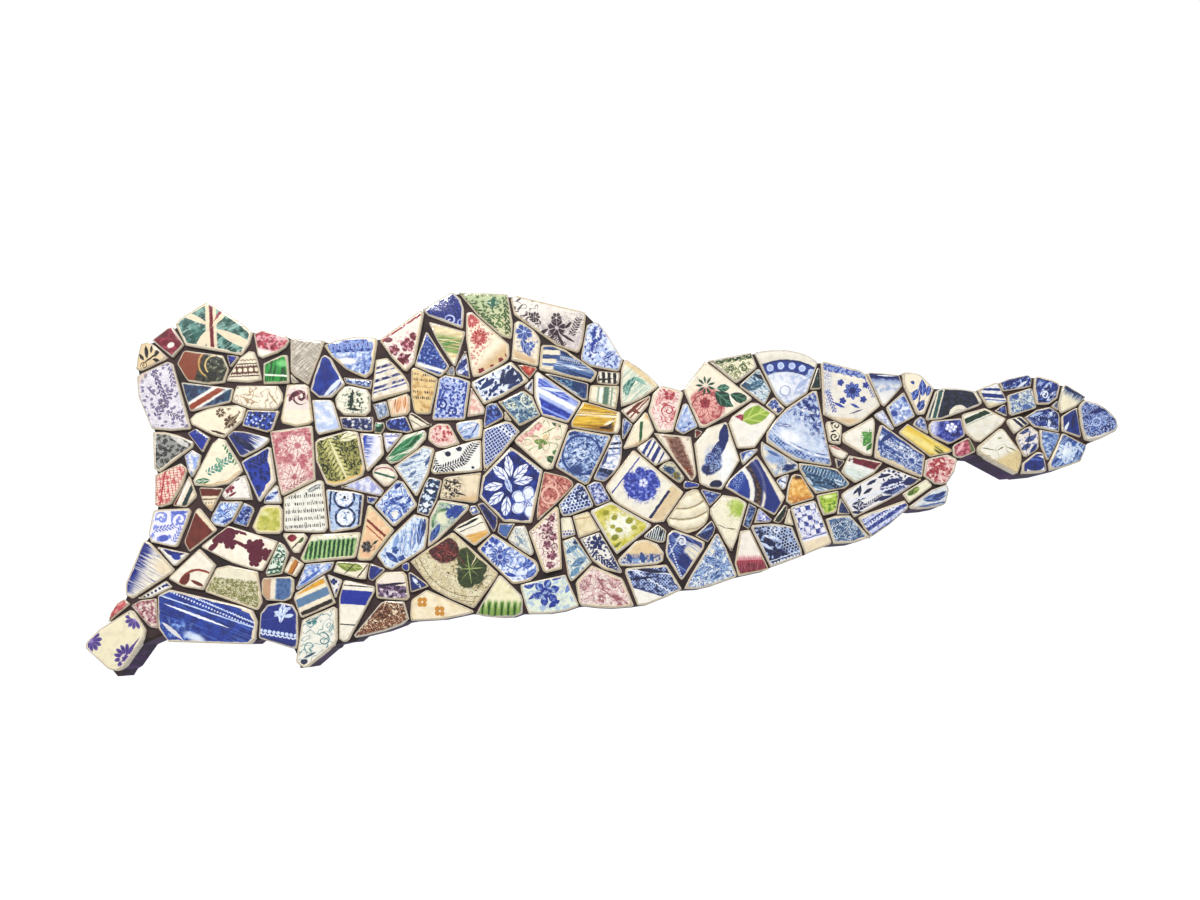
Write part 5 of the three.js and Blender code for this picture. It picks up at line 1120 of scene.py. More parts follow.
shard(-149, -48, "efe6ca", leaf("8a9a3c", -158, -44.5, -142, -47, 6.4, "b7bf74"),
    leaf("5d6b26", -154, -51, -147, -44, 0.9), band("6d5530", -144, -50.5, 0.8, 52))
shard(-147, -72, "f1ead8", band("1d45b8", -146, -64.6, 8.6, -4, 0.06), band("22201e", -146, -57.6, 0.7, -4),
    band("2c2a28", -149, -81, 0.8, -4), mottle("e6d9bd", 3, 0.56, 4, inside=beyond(-150, -83, 180)))
shard(-129, -77, "e6cfae", flower("8a4a22", -131, -73, 5.6, 8, second="e6cfae"), curls("7c4220", 3, 0.16, 2),
    foliage("8a4a22", 3, 0.85, 3, second="dcb98c"), mottle("6b3416", 1.8, 0.56, 4),
    band("8a4a22", -126, -83, 0.9, 14),
    spread("lattice", "9a5a2e", 1.3, 1.3, 30, line=0.14, inside=beyond(-133, -79, 200)))


# Shards of the left hump
# The tallest part: printed flowers, stripes, a marked base and blue patterns of every kind.
# Marks that were letters are rows of strokes.
shard(-117, 89, "f0e6d8", flower("96284a", -115.5, 87, 4.6, 5, 20, "c0607a"),
    flower("8a2142", -123.5, 84, 3.6, 5, second="b44a68"), flower("8a2142", -118, 78.5, 4, 5, 40, "b44a68"),
    patch("8a2142", -112, 92, 2, 2.6, 30), patch("96284a", -127, 90, 2.6, 1.6),
    mottle("d9a9b0", 2.2, 0.56, 2, inside=spot(-118, 84, 14, 9, 45, 0.5)), leaf("8a2142", -122, 75, -113, 82, 2.2),
    lip("b02a44", 2.6, inside=beyond(-121, 95, 36)), lip("f0e2cc", 1.3, inside=beyond(-108, 90, -75)))
shard(-92, 109, "0e1f78", spread("lattice", "4258b8", 2.4, 1.6, 20, line=0.15), foliage("2b3f9c", 3, 0.8, amount=0.7),
    beads("b9c6ee", -98, 115.3, 1.7, 31, 0.34), scroll("b8c2ea", -90, 102, 3.4, 1.3, 30, 0.2),
    scroll("a8b4e2", -83.5, 101, 2.6, 1.3, 200, 0.2), leaf("8f9edb", -100, 102.5, -93, 99.5, 1.2),
    lip("c9cbe6", 1.3, inside=beyond(-83, 110, -100)))
shard(-67, 107, "d5d2a6", field("bcc79a", -66, 106, 12, 6), curls("4f6b3c", 3.6, 0.05, 4),
    foliage("6f8a54", 2.6, 0.5, 2), *several(sprig, "4f6b3c", (-78, 113, -62, 95, 4.4, 9),
    (-57, 116, -55, 94, 3.6, 8)), *several(leaf, "2f7f64", (-68.4, 112.4, -60.2, 112.4, 4.6, "cfe0c0"),
    (-64.3, 108.6, -64.3, 116.2, 2.4)), sprig("5f8a50", -72, 103, -56, 105, 3.6, 7), *several(scroll, "6f9450",
    (-76, 108, 3, 1.3, 10), (-60, 99, 3, 1.3, 80)))
shard(-68, 87, "f1e5cb", flower("c23f48", -72.4, 91.5, 5.4, 14, second="e7a79c"),
    flower("c84a50", -77, 101.5, 4.6, 12, 10, "e9b0a4"),
    foliage("cf5a58", 2, 0.8, second="f1e5cb", inside=band("", -70, 96, 14, 60, 0.3)),
    band("d8b98a", -60.5, 76.2, 13, 43, 0.5), *several(flower, "a33a44", (-59.4, 78, 1.8, 5), (-64.6, 74, 1.6, 5),
    (-71, 71.4, 2.2, 5)), leaf("a33a44", -57, 82, -55.6, 79, 1))
shard(-93, 90, "ecdcb0",
    mark("brushed", "5f9a4c", -92, 88, 3, 1.2, -8, level=0.42, seed=3, inside=band("", -91, 88, 9, -8, 0.5)),
    band("7fae5c", -91, 84, 2, -10, 0.6), brushed("c9b070", 5, 1.4, 10, 0.55, 5, amount=0.7),
    field("f0e3c0", -91, 80, 170, 1))
shard(-100, 79, "3f68b8", mottle("1f459f", 2, 0.5, 1), mottle("9db8e4", 1.6, 0.56, 5), foliage("2348a4", 2.4, 0.8, 4),
    band(WHITE, -98, 72.4, 2, -16, 0.5))
shard(-82, 73, "e4e6ee", leaf("2a4390", -87, 71, -78, 80, 3.4), patch("3655a6", -80, 69.5, 2.6, 2),
    mottle("5672b8", 2, 0.52, 3), leaf("24397f", -86, 66, -79, 70, 1.8))
shard(-90, 72, "b9b3ac", mottle("6f86ac", 1.6, 0.5, 2))
shard(-127, 66, "efe6d6", band("2a3f8e", -124, 76, 1.7, 17), band("3a55a6", -124, 73, 0.9, 17),
    band("2a3f8e", -126, 68, 1.8, 17), band("31499a", -127, 63.4, 1.6, 17), band("4a64b0", -128, 60.6, 1, 17),
    field("dcbc90", -127, 57.4, 192, 0.7), mottle("d9cdb8", 4, 0.55, 3))
shard(-106, 60, "e2c489", mark("rows", "2a1812", -112, 65.6, 1.7, 3.2, -7, dense=0.62, inside=beyond(-106, 64.2, -7)),
    mark("rows", "2a1812", -112, 54.6, 2.0, 3.4, -5, inside=band("", -105, 57.4, 6.6, -5)),
    band("33201a", -106, 62, 0.4, -5, amount=0.4), mottle("c9a060", 4, 0.56, 3))
shard(-89, 55, "aebce2", mottle("e4e8f4", 4, 0.54, 4, amount=0.9), leaf("2f50b0", -98, 48, -93, 64, 3.4, PALE),
    foliage("4a69bd", 2.6, 0.75, 3), mottle("3d5fb8", 1.7, 0.56, 7), *several(scroll, "2448a4",
    (-95, 51, 4.4, 1.5, 30, 0.2), (-88, 47, 3.4, 1.4, 90, 0.2)), band("2f52b0", -80.2, 55, 2.4, 84, 0.2),
    lip("d9dae6", 1.1))
shard(-60, 65, "e9ecee", mottle("7f9cc8", 2, 0.56, 3), foliage("35528f", 3.2, 0.7, 4),
    leaf("1f3774", -58.5, 62, -50.5, 75.5, 3.4), leaf("223c7c", -57, 63, -47, 70.5, 3),
    leaf("1f3774", -60, 62, -57.5, 73, 2.4), leaf("35528f", -56, 61, -46.5, 64, 3),
    patch("24407c", -54, 67, 3.4, 4, 40, 0.3), *several(leaf, "2f5490", (-72, 60.5, -63, 67, 3.4),
    (-74, 64, -68, 68.5, 2.4)), leaf("35528f", -66, 58, -60, 64, 2.6), field("24407c", -49.4, 68, -62, 0.4))
shard(-75, 52, "eddfcb", field("c8505a", -77, 58, 42, 2.4), mottle("e0a89c", 3, 0.5, 2),
    patch("b03a44", -75, 60, 1.4, 2.6))
shard(-64, 46, "2a52b0", brushed("8fabe0", 2.4, 0.8, -50, 0.52, 2), mottle("17357f", 2.6, 0.52, 3),
    band("ecdcba", -62, 40.5, 2.4, 28, 0.2), band("5a7cc8", -62.5, 42.8, 1, 28))
shard(-29, 100, "e9e0d6", speckle("8c7d86", 0.55, 0.42, inside=beyond(-26, 104, 190, 6)),
    field("cfc2c2", -24, 92, 200, 6, amount=0.6), *several(flower, "4d3242", (-26, 97.5, 6, 7, 12, "cbbcc0"),
    (-26.2, 103.5, 3.4, 6, 0, "d8cccb")), flower("5a4250", -39.2, 104, 3.6, 8, 0, "e9e0d6"), *several(sprig, "4d3242",
    (-36, 99.5, -44, 106, 4, 5), (-17, 93, -12.5, 103.5, 4.6, 7)), *several(leaf, "4d3242", (-31, 97, -37, 93, 2.4),
    (-21, 97, -17, 101, 2)), sprig("42293a", -32, 92.5, -21, 86.5, 5, 9), *several(leaf, "4d3242",
    (-26, 95, -21, 84, 1.8), (-27, 95, -31, 87.5, 1.6), (-24, 94, -15, 88.6, 1.6)),
    curls("6b5560", 4, 0.07, 2, inside=beyond(-40, 104, 60, 3)), *several(leaf, "5f6664", (-51, 113, -47, 116, 1.2),
    (-50, 108, -46, 112, 1)))
shard(-45, 87, "eee0c4", flower("4f6cb0", -45.5, 95, 5.6, 7, 20, "c4d0e8"),
    leaf("3e5aa4", -47, 91, -42, 80, 4.6, "b9c6e2"), flower("5b76b8", -42, 86.5, 3.2, 5, second="d5dcec"),
    leaf("3e5aa4", -51, 80.5, -46, 77.5, 3), mottle("6f86bf", 2, 0.56, 3, inside=spot(-44, 90, 8, 9, 0, 0.5)),
    field("d2b48a", -40, 79, 155, 1.4), lip("f0e4cc", 1.3))
shard(-21, 75, "1d3d86", mottle("0f2a63", 3, 0.54, 4),
    brushed("b9cbe8", 4, 0.8, -8, 0.5, 3, inside=band("", -16, 73.8, 5, -8, 0.5)),
    leaf("dfe6f0", -28, 75.6, -8, 71.5, 1.4), brushed("5b82b4", 5, 1.2, -18, 0.52, 8),
    sprig("dfe6f0", -24, 79.6, -12, 77, 2.4, 9, amount=0.7),
    band("e6dcc2", -31, 82.6, 2.8, -2, 0.12, inside=beyond(-24, 82, 90, 0.8)),
    band("e6dcc2", -31, 77.4, 2.6, -2, 0.12, inside=beyond(-26, 77, 90, 0.8)),
    band("e6dcc2", -31, 73.4, 2, -4, 0.12, inside=beyond(-28, 73, 90, 0.8)))
shard(0, 86, "b9c9e8", leaf("2144a4", -3, 86, 0, 100.5, 6.4, "4f70c0"), leaf("2c50b0", -6, 78, -3.6, 92, 3.6),
    foliage("4669bc", 3, 0.7, 3, second="c9d5ee"), mottle("e6eaf2", 2.6, 0.54, 2), mottle("2f54b0", 2, 0.58, 6),
    leaf("3158b2", 2, 79, 10, 84, 3, PALE), patch("dfe5f0", 7, 88, 3, 5, 20, 0.5))
shard(-43, 72, "cc4f42", mottle("e08a70", 2.4, 0.52, 2), mottle("a43430", 1.6, 0.58, 5))
shard(-42, 62, "e8e6ea", leaf("3c4a70", -44, 59, -40, 66, 1.6), mottle("8f9cbc", 1.6, 0.56, 1))
shard(-27, 54, "aebde8", leaf("5f78d2", -37, 63, -17, 54, 5.4, "b4c2ec"),
    brushed("5f78d2", 4, 1, -28, 0.5, 6, inside=beyond(-26, 55, -28, 1)), band("f1f2f6", -26, 54.6, 3, -28, 0.3),
    leaf("d9e0f6", -36, 62, -22, 59, 2), field("2c49b4", -28, 51.4, 152, 0.9),
    mottle("4f6fd0", 2.4, 0.52, 3, inside=beyond(-28, 50, 152)), band("8fa4e4", -28, 46.6, 1.2, 155),
    lip("f0ece6", 2.2, inside=beyond(-35, 55, 85)))
shard(-18, 61, "2f5f96", leaf("e9ecec", -32, 68.6, -12, 56.5, 3), brushed("1c3f7a", 3, 1, -25, 0.5, 2),
    mottle("6fa0bc", 2, 0.55, 4), field("1d3a8c", -12, 58, -70, 1, amount=0.5),
    patch("24508a", -14, 62, 3, 3, soft=0.4))
shard(5, 67, "eae4d4", mark("lattice", "20191c", 0.4, 66.6, 3.4, 400, 1, line=0.28),
    band("20191c", 5, 66.6, 1.2, 1, inside=beyond(5, 66, 20)), mottle("8b7a66", 1.6, 0.62, 3))
shard(2, 57, "ece2c8", band("6d8f7c", 3.6, 57, 3.4, 84, 0.3), band("e6ece2", 0.6, 57, 1.6, 84),
    band("9db3a0", -1.2, 57, 1.2, 84), mottle("86a08e", 2, 0.56, 3, inside=beyond(5, 57, -96)),
    band("8fa894", 7, 57, 1, 84))
shard(21, 64, "ebe6d0", leaf("2f7f74", 12.5, 58, 22, 68, 4.4, "9cc2b4"),
    leaf("4a9384", 15.5, 56, 18, 64, 3, "b4d0c2"), leaf("7fb0a0", 20, 68, 28, 63, 2.4),
    brushed("9cbfae", 3, 1, 40, 0.55, 4), field("e2c48c", 27, 66, -38, 1, amount=0.8))
shard(-47, 50, "7c9cb4", leaf("e4e3be", -47, 53.4, -39, 58, 6, "8aa878"),
    leaf("dadfb8", -43, 47, -37.6, 53.4, 5, "8aa878"), curls("3a628c", 2.6, 0.16, 3), mottle("c4d2cc", 3, 0.54, 2),
    leaf("dfe2c8", -56, 52, -49, 50, 3.6, "5f8a80"), mottle("3d6a96", 2, 0.56, 6),
    ring("e9e8d0", -43.4, 54.4, 4, 0.7))
shard(-55, 45, "d9c9a8", band("4a6aa0", -55, 46, 0.8, -52))
shard(-34, 29, "f0e6cc", flower("e0a0a0", -43, 35.5, 4.6, 5, 20, "f0cdbf"),
    flower("d88c90", -37.6, 38.5, 3.2, 5, 0, "f0cdbf"), flower("dd989a", -48, 31, 2.6, 5),
    leaf("6f9440", -40, 29.5, -31, 28, 3.6, "a9bb6c"), leaf("5f8638", -37, 24, -33, 30, 2.6, "a9bb6c"),
    leaf("2f6b3a", -29.4, 42, -23.4, 38, 3.6), leaf("27603a", -32, 20, -27, 17, 4.4, "5f9450"),
    flower("dcc46a", -32.6, 31.6, 2.2, 5), curls("7a9a4c", 6, 0.05, 2), mottle("e4c4a8", 3, 0.58, 4),
    patch("5f9450", -27, 22.6, 1.6), leaf("7a9a4c", -36, 33, -26, 38, 0.8))
# On the yellow shard, the pale soft band across its upper part is a painted highlight.
shard(-3, 43, "cf9d10", band("f7efcf", -3, 45.4, 2.4, -4, 0.7), brushed("e6bd3c", 5, 1.6, -4, 0.5, 2),
    field("a87808", -4, 38.6, 184, 1.4, amount=0.8), leaf("3a2412", -1, 37.4, 8, 37.8, 1.8),
    leaf("4a2f14", 4, 36, 8.6, 43, 1.6), brushed("7a5a10", 4, 1, -3, 0.6, 7), field("f0e8ca", 9.6, 43, -100, 0.8),
    leaf("f0e8ca", 2, 39, 9, 42, 1.6))
shard(-11, 20, "6d8cc0", mark("scroll", "4a6cae", -11.5, 20.5, 14, turns=2.6, width=0.2, amount=0.9),
    brushed("a9bfe0", 3, 1, 22, 0.52, 3), mottle("c3d2ea", 2.4, 0.54, 2), ring("3d61a8", -11, 21, 11.5, 1.4),
    scroll("d4def0", -11.8, 21, 4.6, 1.5, 40, 0.2), curls("3a5c9c", 3.4, 0.12, 5),
    leaf("2c4f9c", -22, 33, -12, 35, 2), patch("46629c", -14, 12, 4, 3, 20, 0.5))
shard(5, 20, "eae8ec", band("22386e", 7.6, 28, 1.5, 4), band("2f4884", 7.4, 25, 1.1, 4),
    band("22386e", 3, 11.4, 3.2, -14, 0.1), band("2f4a8e", 4, 8.6, 1.4, -14), mottle("93a6cc", 2.2, 0.55, 4),
    field("3f5f9c", 4, 10, 166, 1, amount=0.6), band("8b9dc4", 6, 21, 0.9, 10), leaf("47629c", 1, 14, 5, 24, 2.4))
shard(15, 37, "c6cfe0", leaf("3d5a9e", 14, 33, 17, 42, 2.4), mottle("5f7ab4", 1.7, 0.5, 3))
shard(24, 50, "ecdccb", band("8f4a2e", 24, 52.4, 1.8, 42), band("a0603f", 27.4, 53, 0.9, 46),
    leaf("8f4a2e", 18, 48, 25, 46, 1.4), leaf("9c5638", 20, 50.6, 23, 45, 1.2))
shard(25, 36, "ece1c4", band("2f7a44", 24.7, 36.4, 1.8, 86, 0.1, outside=beyond(24.7, 41.4, 0, 0.2)),
    field("e2b878", 28, 43, -30, 1.4), field("d9b27c", 22, 28.6, 200, 1))
shard(40, 50, "efd9d0", mottle("f4e6dc", 3, 0.56, 8), flower("b5384a", 41.6, 57, 3.8, 5, 10, "e29a9a"),
    curls("cf6a70", 3, 0.1, 3), scroll("c65a62", 41, 47.6, 4.4, 1.5, 60, 0.14),
    leaf("d88a88", 33, 50, 39, 59, 3, "efd9d0"), leaf("cf7678", 42, 41, 47, 49, 3), mottle("e0a8a2", 2.4, 0.58, 5))
shard(52, 43, "dfe3ee", mottle("6a88c4", 2, 0.5, 3, inside=beyond(52, 43, 150, 3)), leaf("4a6cb4", 48, 37, 55, 41, 3),
    mottle("a9bcdf", 2.4, 0.5, 6), leaf("8fa6d4", 50, 44, 53, 51, 1.6))
shard(32, 23, "ece6da", *several(band, "3a57a4", (27, 24, 1.8, 62), (30.6, 24, 1.2, 62)), *several(band, "31499a",
    (34, 22.4, 2.2, 62), (37.6, 21, 1.0, 62)))


# Shards of the middle, below the left hump
# Big blue transfer prints round a moulded fruit-leaf shard, and a row of plainer prints
# along the lower edge.
shard(-131, 48, "a9b6c8", mottle("6f86ac", 2.4, 0.5, 2), mottle("cfd3da", 2, 0.56, 4))
shard(-120, 51, "ecd9c2", leaf("d5935c", -122, 46, -120, 57, 3, "e6b888"), leaf("d08548", -117.6, 48, -117, 57, 1.8),
    brushed("e2ae7c", 3, 1, 84, 0.54, 4), leaf("b97a4a", -123.4, 49, -122.6, 56, 0.8))
shard(-121, 39, "1a3a96", mottle("16307c", 2, 0.52, 2), foliage("6f8fd6", 2.2, 0.7, 3), mottle("4668bf", 1.6, 0.6, 6))
shard(-133, 37, "2b6e4c", mottle("1b5138", 2.4, 0.5, 2), patch("8fc09c", -134, 39, 1.8, 0.9, soft=0.5))
shard(-108, 41, "eee3cb", band("231a22", -106, 41.4, 1.6, -31), band("4a4048", -108, 38.6, 0.5, -31))
shard(-94, 32, "f0d9cc", mottle("c9484f", 2.2, 0.55, 4, inside=spot(-94, 35, 6.5, 5, 0, 0.5)),
    foliage("c24a54", 2.4, 0.7, 2, inside=spot(-94, 34, 7, 5.4, 0, 0.4)), speckle("cf6468", 0.7, 0.36, amount=0.7))
shard(-78, 36, "c4d0e6", leaf("8aa2d0", -86, 34, -75, 41, 4, WHITE), leaf("f2f1f0", -84, 37, -74, 40, 2.2),
    band("3c5aa2", -76, 35.4, 0.9, 60), leaf("5e7dbc", -84, 31, -76, 33, 1.8), mottle("8fa6d2", 2, 0.56, 3),
    lip("ecdcbc", 1.6, inside=beyond(-74, 36, -80)))
shard(-61, 27, "3452a4", mottle("22408f", 3, 0.54, 3, amount=0.6), lattice("d5def0", 1.75, 1.75, 33, 0.1),
    band("e9ecf4", -57, 35.6, 2.4, -38, 0.3), beads("27408c", -57, 35.6, 2.4, -38, 0.3),
    field("5a78c0", -53.4, 38.4, -38, 0.6), lip("c9cbe4", 1.4))
shard(-85, 18, "f0eee4", *several(patch, "20275c", (-91.4, 21.8, 1.7), (-84.8, 25, 1.8)), *several(leaf, "20275c",
    (-91.6, 22, -99, 26, 0.6), (-85, 25, -89, 29.6, 0.6)), *several(sprig, "20275c", (-95, 12.6, -81.6, 17.6, 6, 9),
    (-82.6, 17, -74.2, 30, 6.4, 10), (-101, 19, -95.6, 10.4, 5, 6)), *several(patch, "20275c", (-101, 13.4, 1.4),
    (-76.4, 13.6, 0.9)), leaf("20275c", -90, 14, -87, 10.6, 1.2))
shard(-117, 26, "ece7d2", leaf("2f8a58", -127, 20, -106, 34, 5.6, "7fbf94"),
    leaf("5aa478", -127, 17.6, -112, 22, 3.4, "a5d0ae"), brushed("3f9464", 3, 0.9, 32, 0.56, 2),
    leaf("1f7448", -116, 25, -108, 33, 2))
shard(-124, 30, "eceaf0", mark("check", "5a5fb8", -126, 34, 1.5, 1.3, 4, inside=band("", -124, 33.8, 2.4, 4)),
    band("5f66bc", -124, 32.2, 0.5, 4), leaf("7c84c8", -128, 29, -121, 27, 1.6), mottle("a9afdc", 2, 0.58, 2))
shard(-129, 9, "efe6d2", mottle("e0cfb8", 3, 0.56, 2), band("3f7f68", -128, 8.6, 1.2, -16),
    ring("b87888", -130, 4, 9.6, 0.9, inside=beyond(-130, 10, 0)))
shard(-110, 12, "e6ecec", leaf("4a6494", -120, 14.4, -111, 17, 2.2), leaf("56709e", -117, 19.6, -107, 21.6, 2.4),
    leaf("3f5a8e", -115, 7.4, -110, 12, 2.2), leaf("56709e", -105, 14, -101.6, 21, 2),
    leaf("3f5a8e", -113, 2.6, -108.6, 5.4, 2), brushed("9db2cf", 2.6, 1, 16, 0.55, 7), mottle("6f89b4", 1.8, 0.62, 4),
    lip("d9b07c", 1.2, inside=beyond(-102, 14, -95)))
shard(-102, -4, "21487c", mottle("143262", 2.4, 0.52, 2), foliage("dbe5ee", 2.2, 0.75, 4),
    mottle("6f97bc", 1.4, 0.6, 5), *several(patch, "f0f3f5", (-101.4, -1, 1.3), (-104.4, -9, 1.5)),
    flower("cfdce8", -103.4, -4.6, 2, 5))
shard(-84, 1, "ead9b8", foliage("2f2a28", 2.4, 0.9, 0.4, inside=spot(-90, 2, 6.4, 8, 10, 0.6)),
    mottle("584c44", 1.4, 0.54, 4, inside=spot(-90, 1, 7, 8, 0, 0.6)), *several(leaf, "2c2624", (-94, 6, -82, 3.6, 1),
    (-91, 9.4, -78, 9, 0.7)), leaf("3a322c", -88, -1, -80, -3.4, 1.2), field("d8b98c", -84, -4, 190, 2))
shard(-122, -8, "dfe7f2", ring("4466b4", -123, -14.6, 6.6, 1.8), ring("6a88ca", -123, -14.6, 3.6, 1.2),
    *several(leaf, "3154aa", (-129, -8, -117, -3.6, 2.6), (-117, -12, -113, -2, 2.4)), curls("4a6cbc", 3, 0.14, 4),
    mottle("8fa9da", 2, 0.54, 2), leaf("27489c", -123, 1, -118.6, 4.4, 2),
    scroll("3154aa", -114.6, -14, 3, 1.3, 10, 0.2), patch(WHITE, -123, -14.6, 2))
shard(-143, 3, "dcdcea", mottle("f0eff2", 2, 0.54, 5), mottle("a9aedb", 3, 0.5, 3))
shard(-137, -6, "4e6db4", foliage("c9d6ee", 2.4, 0.7, 2), mottle("2b4c9c", 2, 0.52, 4))
shard(-137, -28, "e9bb90", mottle("f0cfa4", 4, 0.54, 6), band("a04434", -131.4, -25.4, 1.6, -42, 0.3),
    band("b85c40", -133.4, -27.6, 0.7, -42), flower("4a3a34", -140, -34, 3.6, 6, second="8a8a8c"),
    mottle("6f6a68", 1.8, 0.55, 3, inside=spot(-140, -34, 5, 4, 0, 0.5)), leaf("3f5a3a", -137, -33, -133, -30, 1.4))
shard(-115, -30, "e4edf4", brushed("c4d4ea", 4, 1, 84, 0.5, 3), leaf("2f57a8", -109, -34, -107, -16, 3.6, "a9c0e2"),
    leaf("1f4796", -106.4, -28, -104.6, -15, 2.6), leaf("7c9bd0", -113.6, -38, -111, -18, 4, WHITE),
    leaf("8fabd8", -119.6, -40, -117, -22, 4, WHITE), leaf("5379bc", -114, -50, -111, -38, 3.6),
    leaf("8fabd8", -124, -36, -121, -26, 3), *several(flower, "3a62ac", (-123, -36, 2.4, 5), (-119, -41, 2.4, 5)),
    leaf("3a62ac", -129, -37, -121, -43.6, 3.6), mottle("6f92cc", 2, 0.6, 5))
shard(-116, -46, "2450b0")
shard(-92, -17, "c9d4b4", ring("5d8a4a", -92, -20, 8.4, 1.6, inside=beyond(-93, -14, 50)), *several(leaf, "2c54b0",
    (-94, -17, -82, -8, 5, "6f90d0"), (-102.6, -32, -96, -20, 4, "6f90d0")), patch("2c54b0", -86, -13, 4, 3.4, 20),
    mottle("3f66ba", 2, 0.54, 3, inside=beyond(-90, -18, -60, 2)), speckle("5d7a9c", 0.8, 0.34),
    mottle("9cb894", 3, 0.54, 2, inside=beyond(-94, -14, 60, 2)), patch("dfe0c0", -95, -17, 3, 4, 30, 0.4))
shard(-76, -12, "8fa6d2", leaf(WHITE, -79, -13, -73, -11, 1.6), mottle("3f61ae", 1.6, 0.52, 2))
shard(-77, -24, "eee6d2", leaf("14201c", -89, -23.6, -72.6, -16.8, 3, "20443a"), band("f0ecdc", -80, -21.6, 0.7, 24),
    band("1c2a24", -79, -23, 0.5, 24), field("d9a44a", -77, -26.4, 196, 0.6),
    brushed("e9c47c", 4, 1, 12, 0.5, 2, inside=beyond(-77, -27, 196)))
shard(-66, -15, "1c2f86", mottle("3c55ac", 2, 0.56, 3), leaf("0f1d5c", -70, -10, -64, -20, 2))
shard(-56, -23, "5f84bc", mottle("557ab4", 4, 0.52, 2, amount=0.6))


shard(-53, 1, "173f9f", mottle("0f2f86", 5, 0.52, 3), mottle("3a60c0", 3, 0.57, 8, amount=0.8), *[patch("e9eef6",
    -44 + 5.6 * math.cos(a), -7.6 + 5.6 * math.sin(a), 4.2, 3.6, math.degrees(a), 0.1) for a in (0.2, 1.4, 2.5, 3.7,
    5.1)], *[ring("5578c8", -44 + 5.6 * math.cos(a), -7.6 + 5.6 * math.sin(a), 3.4, 0.4) for a in (0.2, 1.4, 2.5, 3.7,
    5.1)], patch("3a60c0", -44, -7.6, 2.2), speckle("e9eef6", 0.7, 0.4, inside=spot(-44, -7.6, 2.4)),
    *several(leaf, "f1f4f8", (-55, 6, -64.6, 14.6, 5.4, "2f56b4"), (-53.6, 7.6, -55.6, 21, 5, "2f56b4"),
    (-52, 7, -43, 15.6, 5.6, "2f56b4")), leaf("e9eef6", -52, 4.4, -40, 7, 5, "2f56b4"),
    leaf("f1f4f8", -58, 3, -70, 1, 5, "2f56b4"), *several(leaf, "e9eef6", (-57.6, -1, -67, -9, 5.4, "2f56b4"),
    (-55.6, -3.6, -57, -16, 5.6, "2f56b4")), leaf("c9d6ee", -53, -2, -57, 8, 3.4, "2f56b4"),
    beads("dfe6f3", -60, 17.6, 1.7, 44, 0.3), beads("dfe6f3", -44, 18.4, 1.7, -43, 0.3),
    mark("scallops", "dfe6f3", -44, 17, 2.2, None, -43, width=0.14))
shard(-54, -42, "e4ebf5", *several(leaf, "3c62bc", (-46, -47, -38.6, -40, 5, "9db3de"),
    (-44.6, -53, -38, -47, 3.6, "9db3de")), *petals("2f55b4", "c5d3ec", -60, -40, 7, 9, 10, 0.4),
    patch("2f55b4", -60, -40, 1.6), *several(patch, "3a60bb", (-68.6, -31.6, 1.6, 1.9, 0), (-65, -29.6, 1.6, 1.9, 20),
    (-70, -35.4, 1.5, 1.7), (-66, -33.4, 1.2)), patch("2f55b4", -62.6, -31, 1.5, 1.8),
    *petals("c9d6ee", "5f80cc", -51, -40, 6.4, 6, 60, 0.5), ring("5575c6", -51, -40.6, 6.6, 0.8),
    leaf("3c62bc", -58, -50, -50, -51.6, 2.4), mottle("6f8fd2", 2.2, 0.56, 3), mottle("3358b2", 1.8, 0.62, 6),
    lip("eff1f4", 1.8, inside=beyond(-56, -50, 160)))
shard(-48, -30, "e9e4cf", curls("8fa4b8", 3, 0.1, 2), mottle("b4c0c4", 2.4, 0.55, 4),
    leaf("8a9fb4", -50, -27, -46, -33, 2))


def fruit_leaf(x, z):
    """A raised round fruit and a lobed leaf with veins."""
    fruit = math.hypot(x + 93.8, (z + 36) * 1.15) / 9.6
    leafy = min(math.hypot(x + 79.5, z + 42) / 7, math.hypot(x + 74, z + 47) / 6.5, math.hypot(x + 79.5, z + 53) / 6)
    return 0.5 * max(0.0, 1 - fruit ** 2) + 0.35 * max(0.0, 1 - leafy ** 2)


shard(-87, -49, "dccfa4", mottle("e9dfbc", 5, 0.5, 2), *several(ring, "8b7b52", (-76, -30, 37, 0.4),
    (-76, -30, 34, 0.4)), curls("6f5f3c", 3.4, 0.045, 2), speckle("a08f64", 0.7, 0.3, amount=0.5),
    patch("6f1622", -93.8, -35.6, 9.4, 7.8, -16, 0.06, second="8c2a32"),
    mottle("4f0e18", 3, 0.54, 2, inside=spot(-93.8, -36, 9.2, 8, -16)),
    curls("c06a64", 3.4, 0.05, inside=spot(-93.8, -36, 9.2, 8, -16)), *several(patch, "466422",
    (-79.4, -41.4, 6.2, 7.2, 20, 0.08), (-73.6, -46.6, 5.8, 5.6, 0, 0.08), (-79.8, -53, 5.6, 5.8, 10, 0.08),
    (-74.6, -52, 4.8, 4.8, 0, 0.08)), mottle("2f4a14", 2.6, 0.52, 5, inside=spot(-77, -47, 9.4, 12, 10)),
    leaf("dccfa4", -72.6, -37, -77.4, -46, 0.7), *several(leaf, "a3b46c", (-80, -36, -77, -57, 0.7),
    (-69, -46.6, -84.6, -47.6, 0.7)), *several(leaf, "8ea45c", (-84, -42, -72, -52, 0.5), (-72, -41, -84, -55, 0.5)),
    leaf("8a4a3c", -88, -36, -80, -46, 0.9), relief=fruit_leaf, step=1.2, crackle=0.9)
shard(-135, -49, "1f3f98", mottle("3f60b4", 2, 0.55, 2))
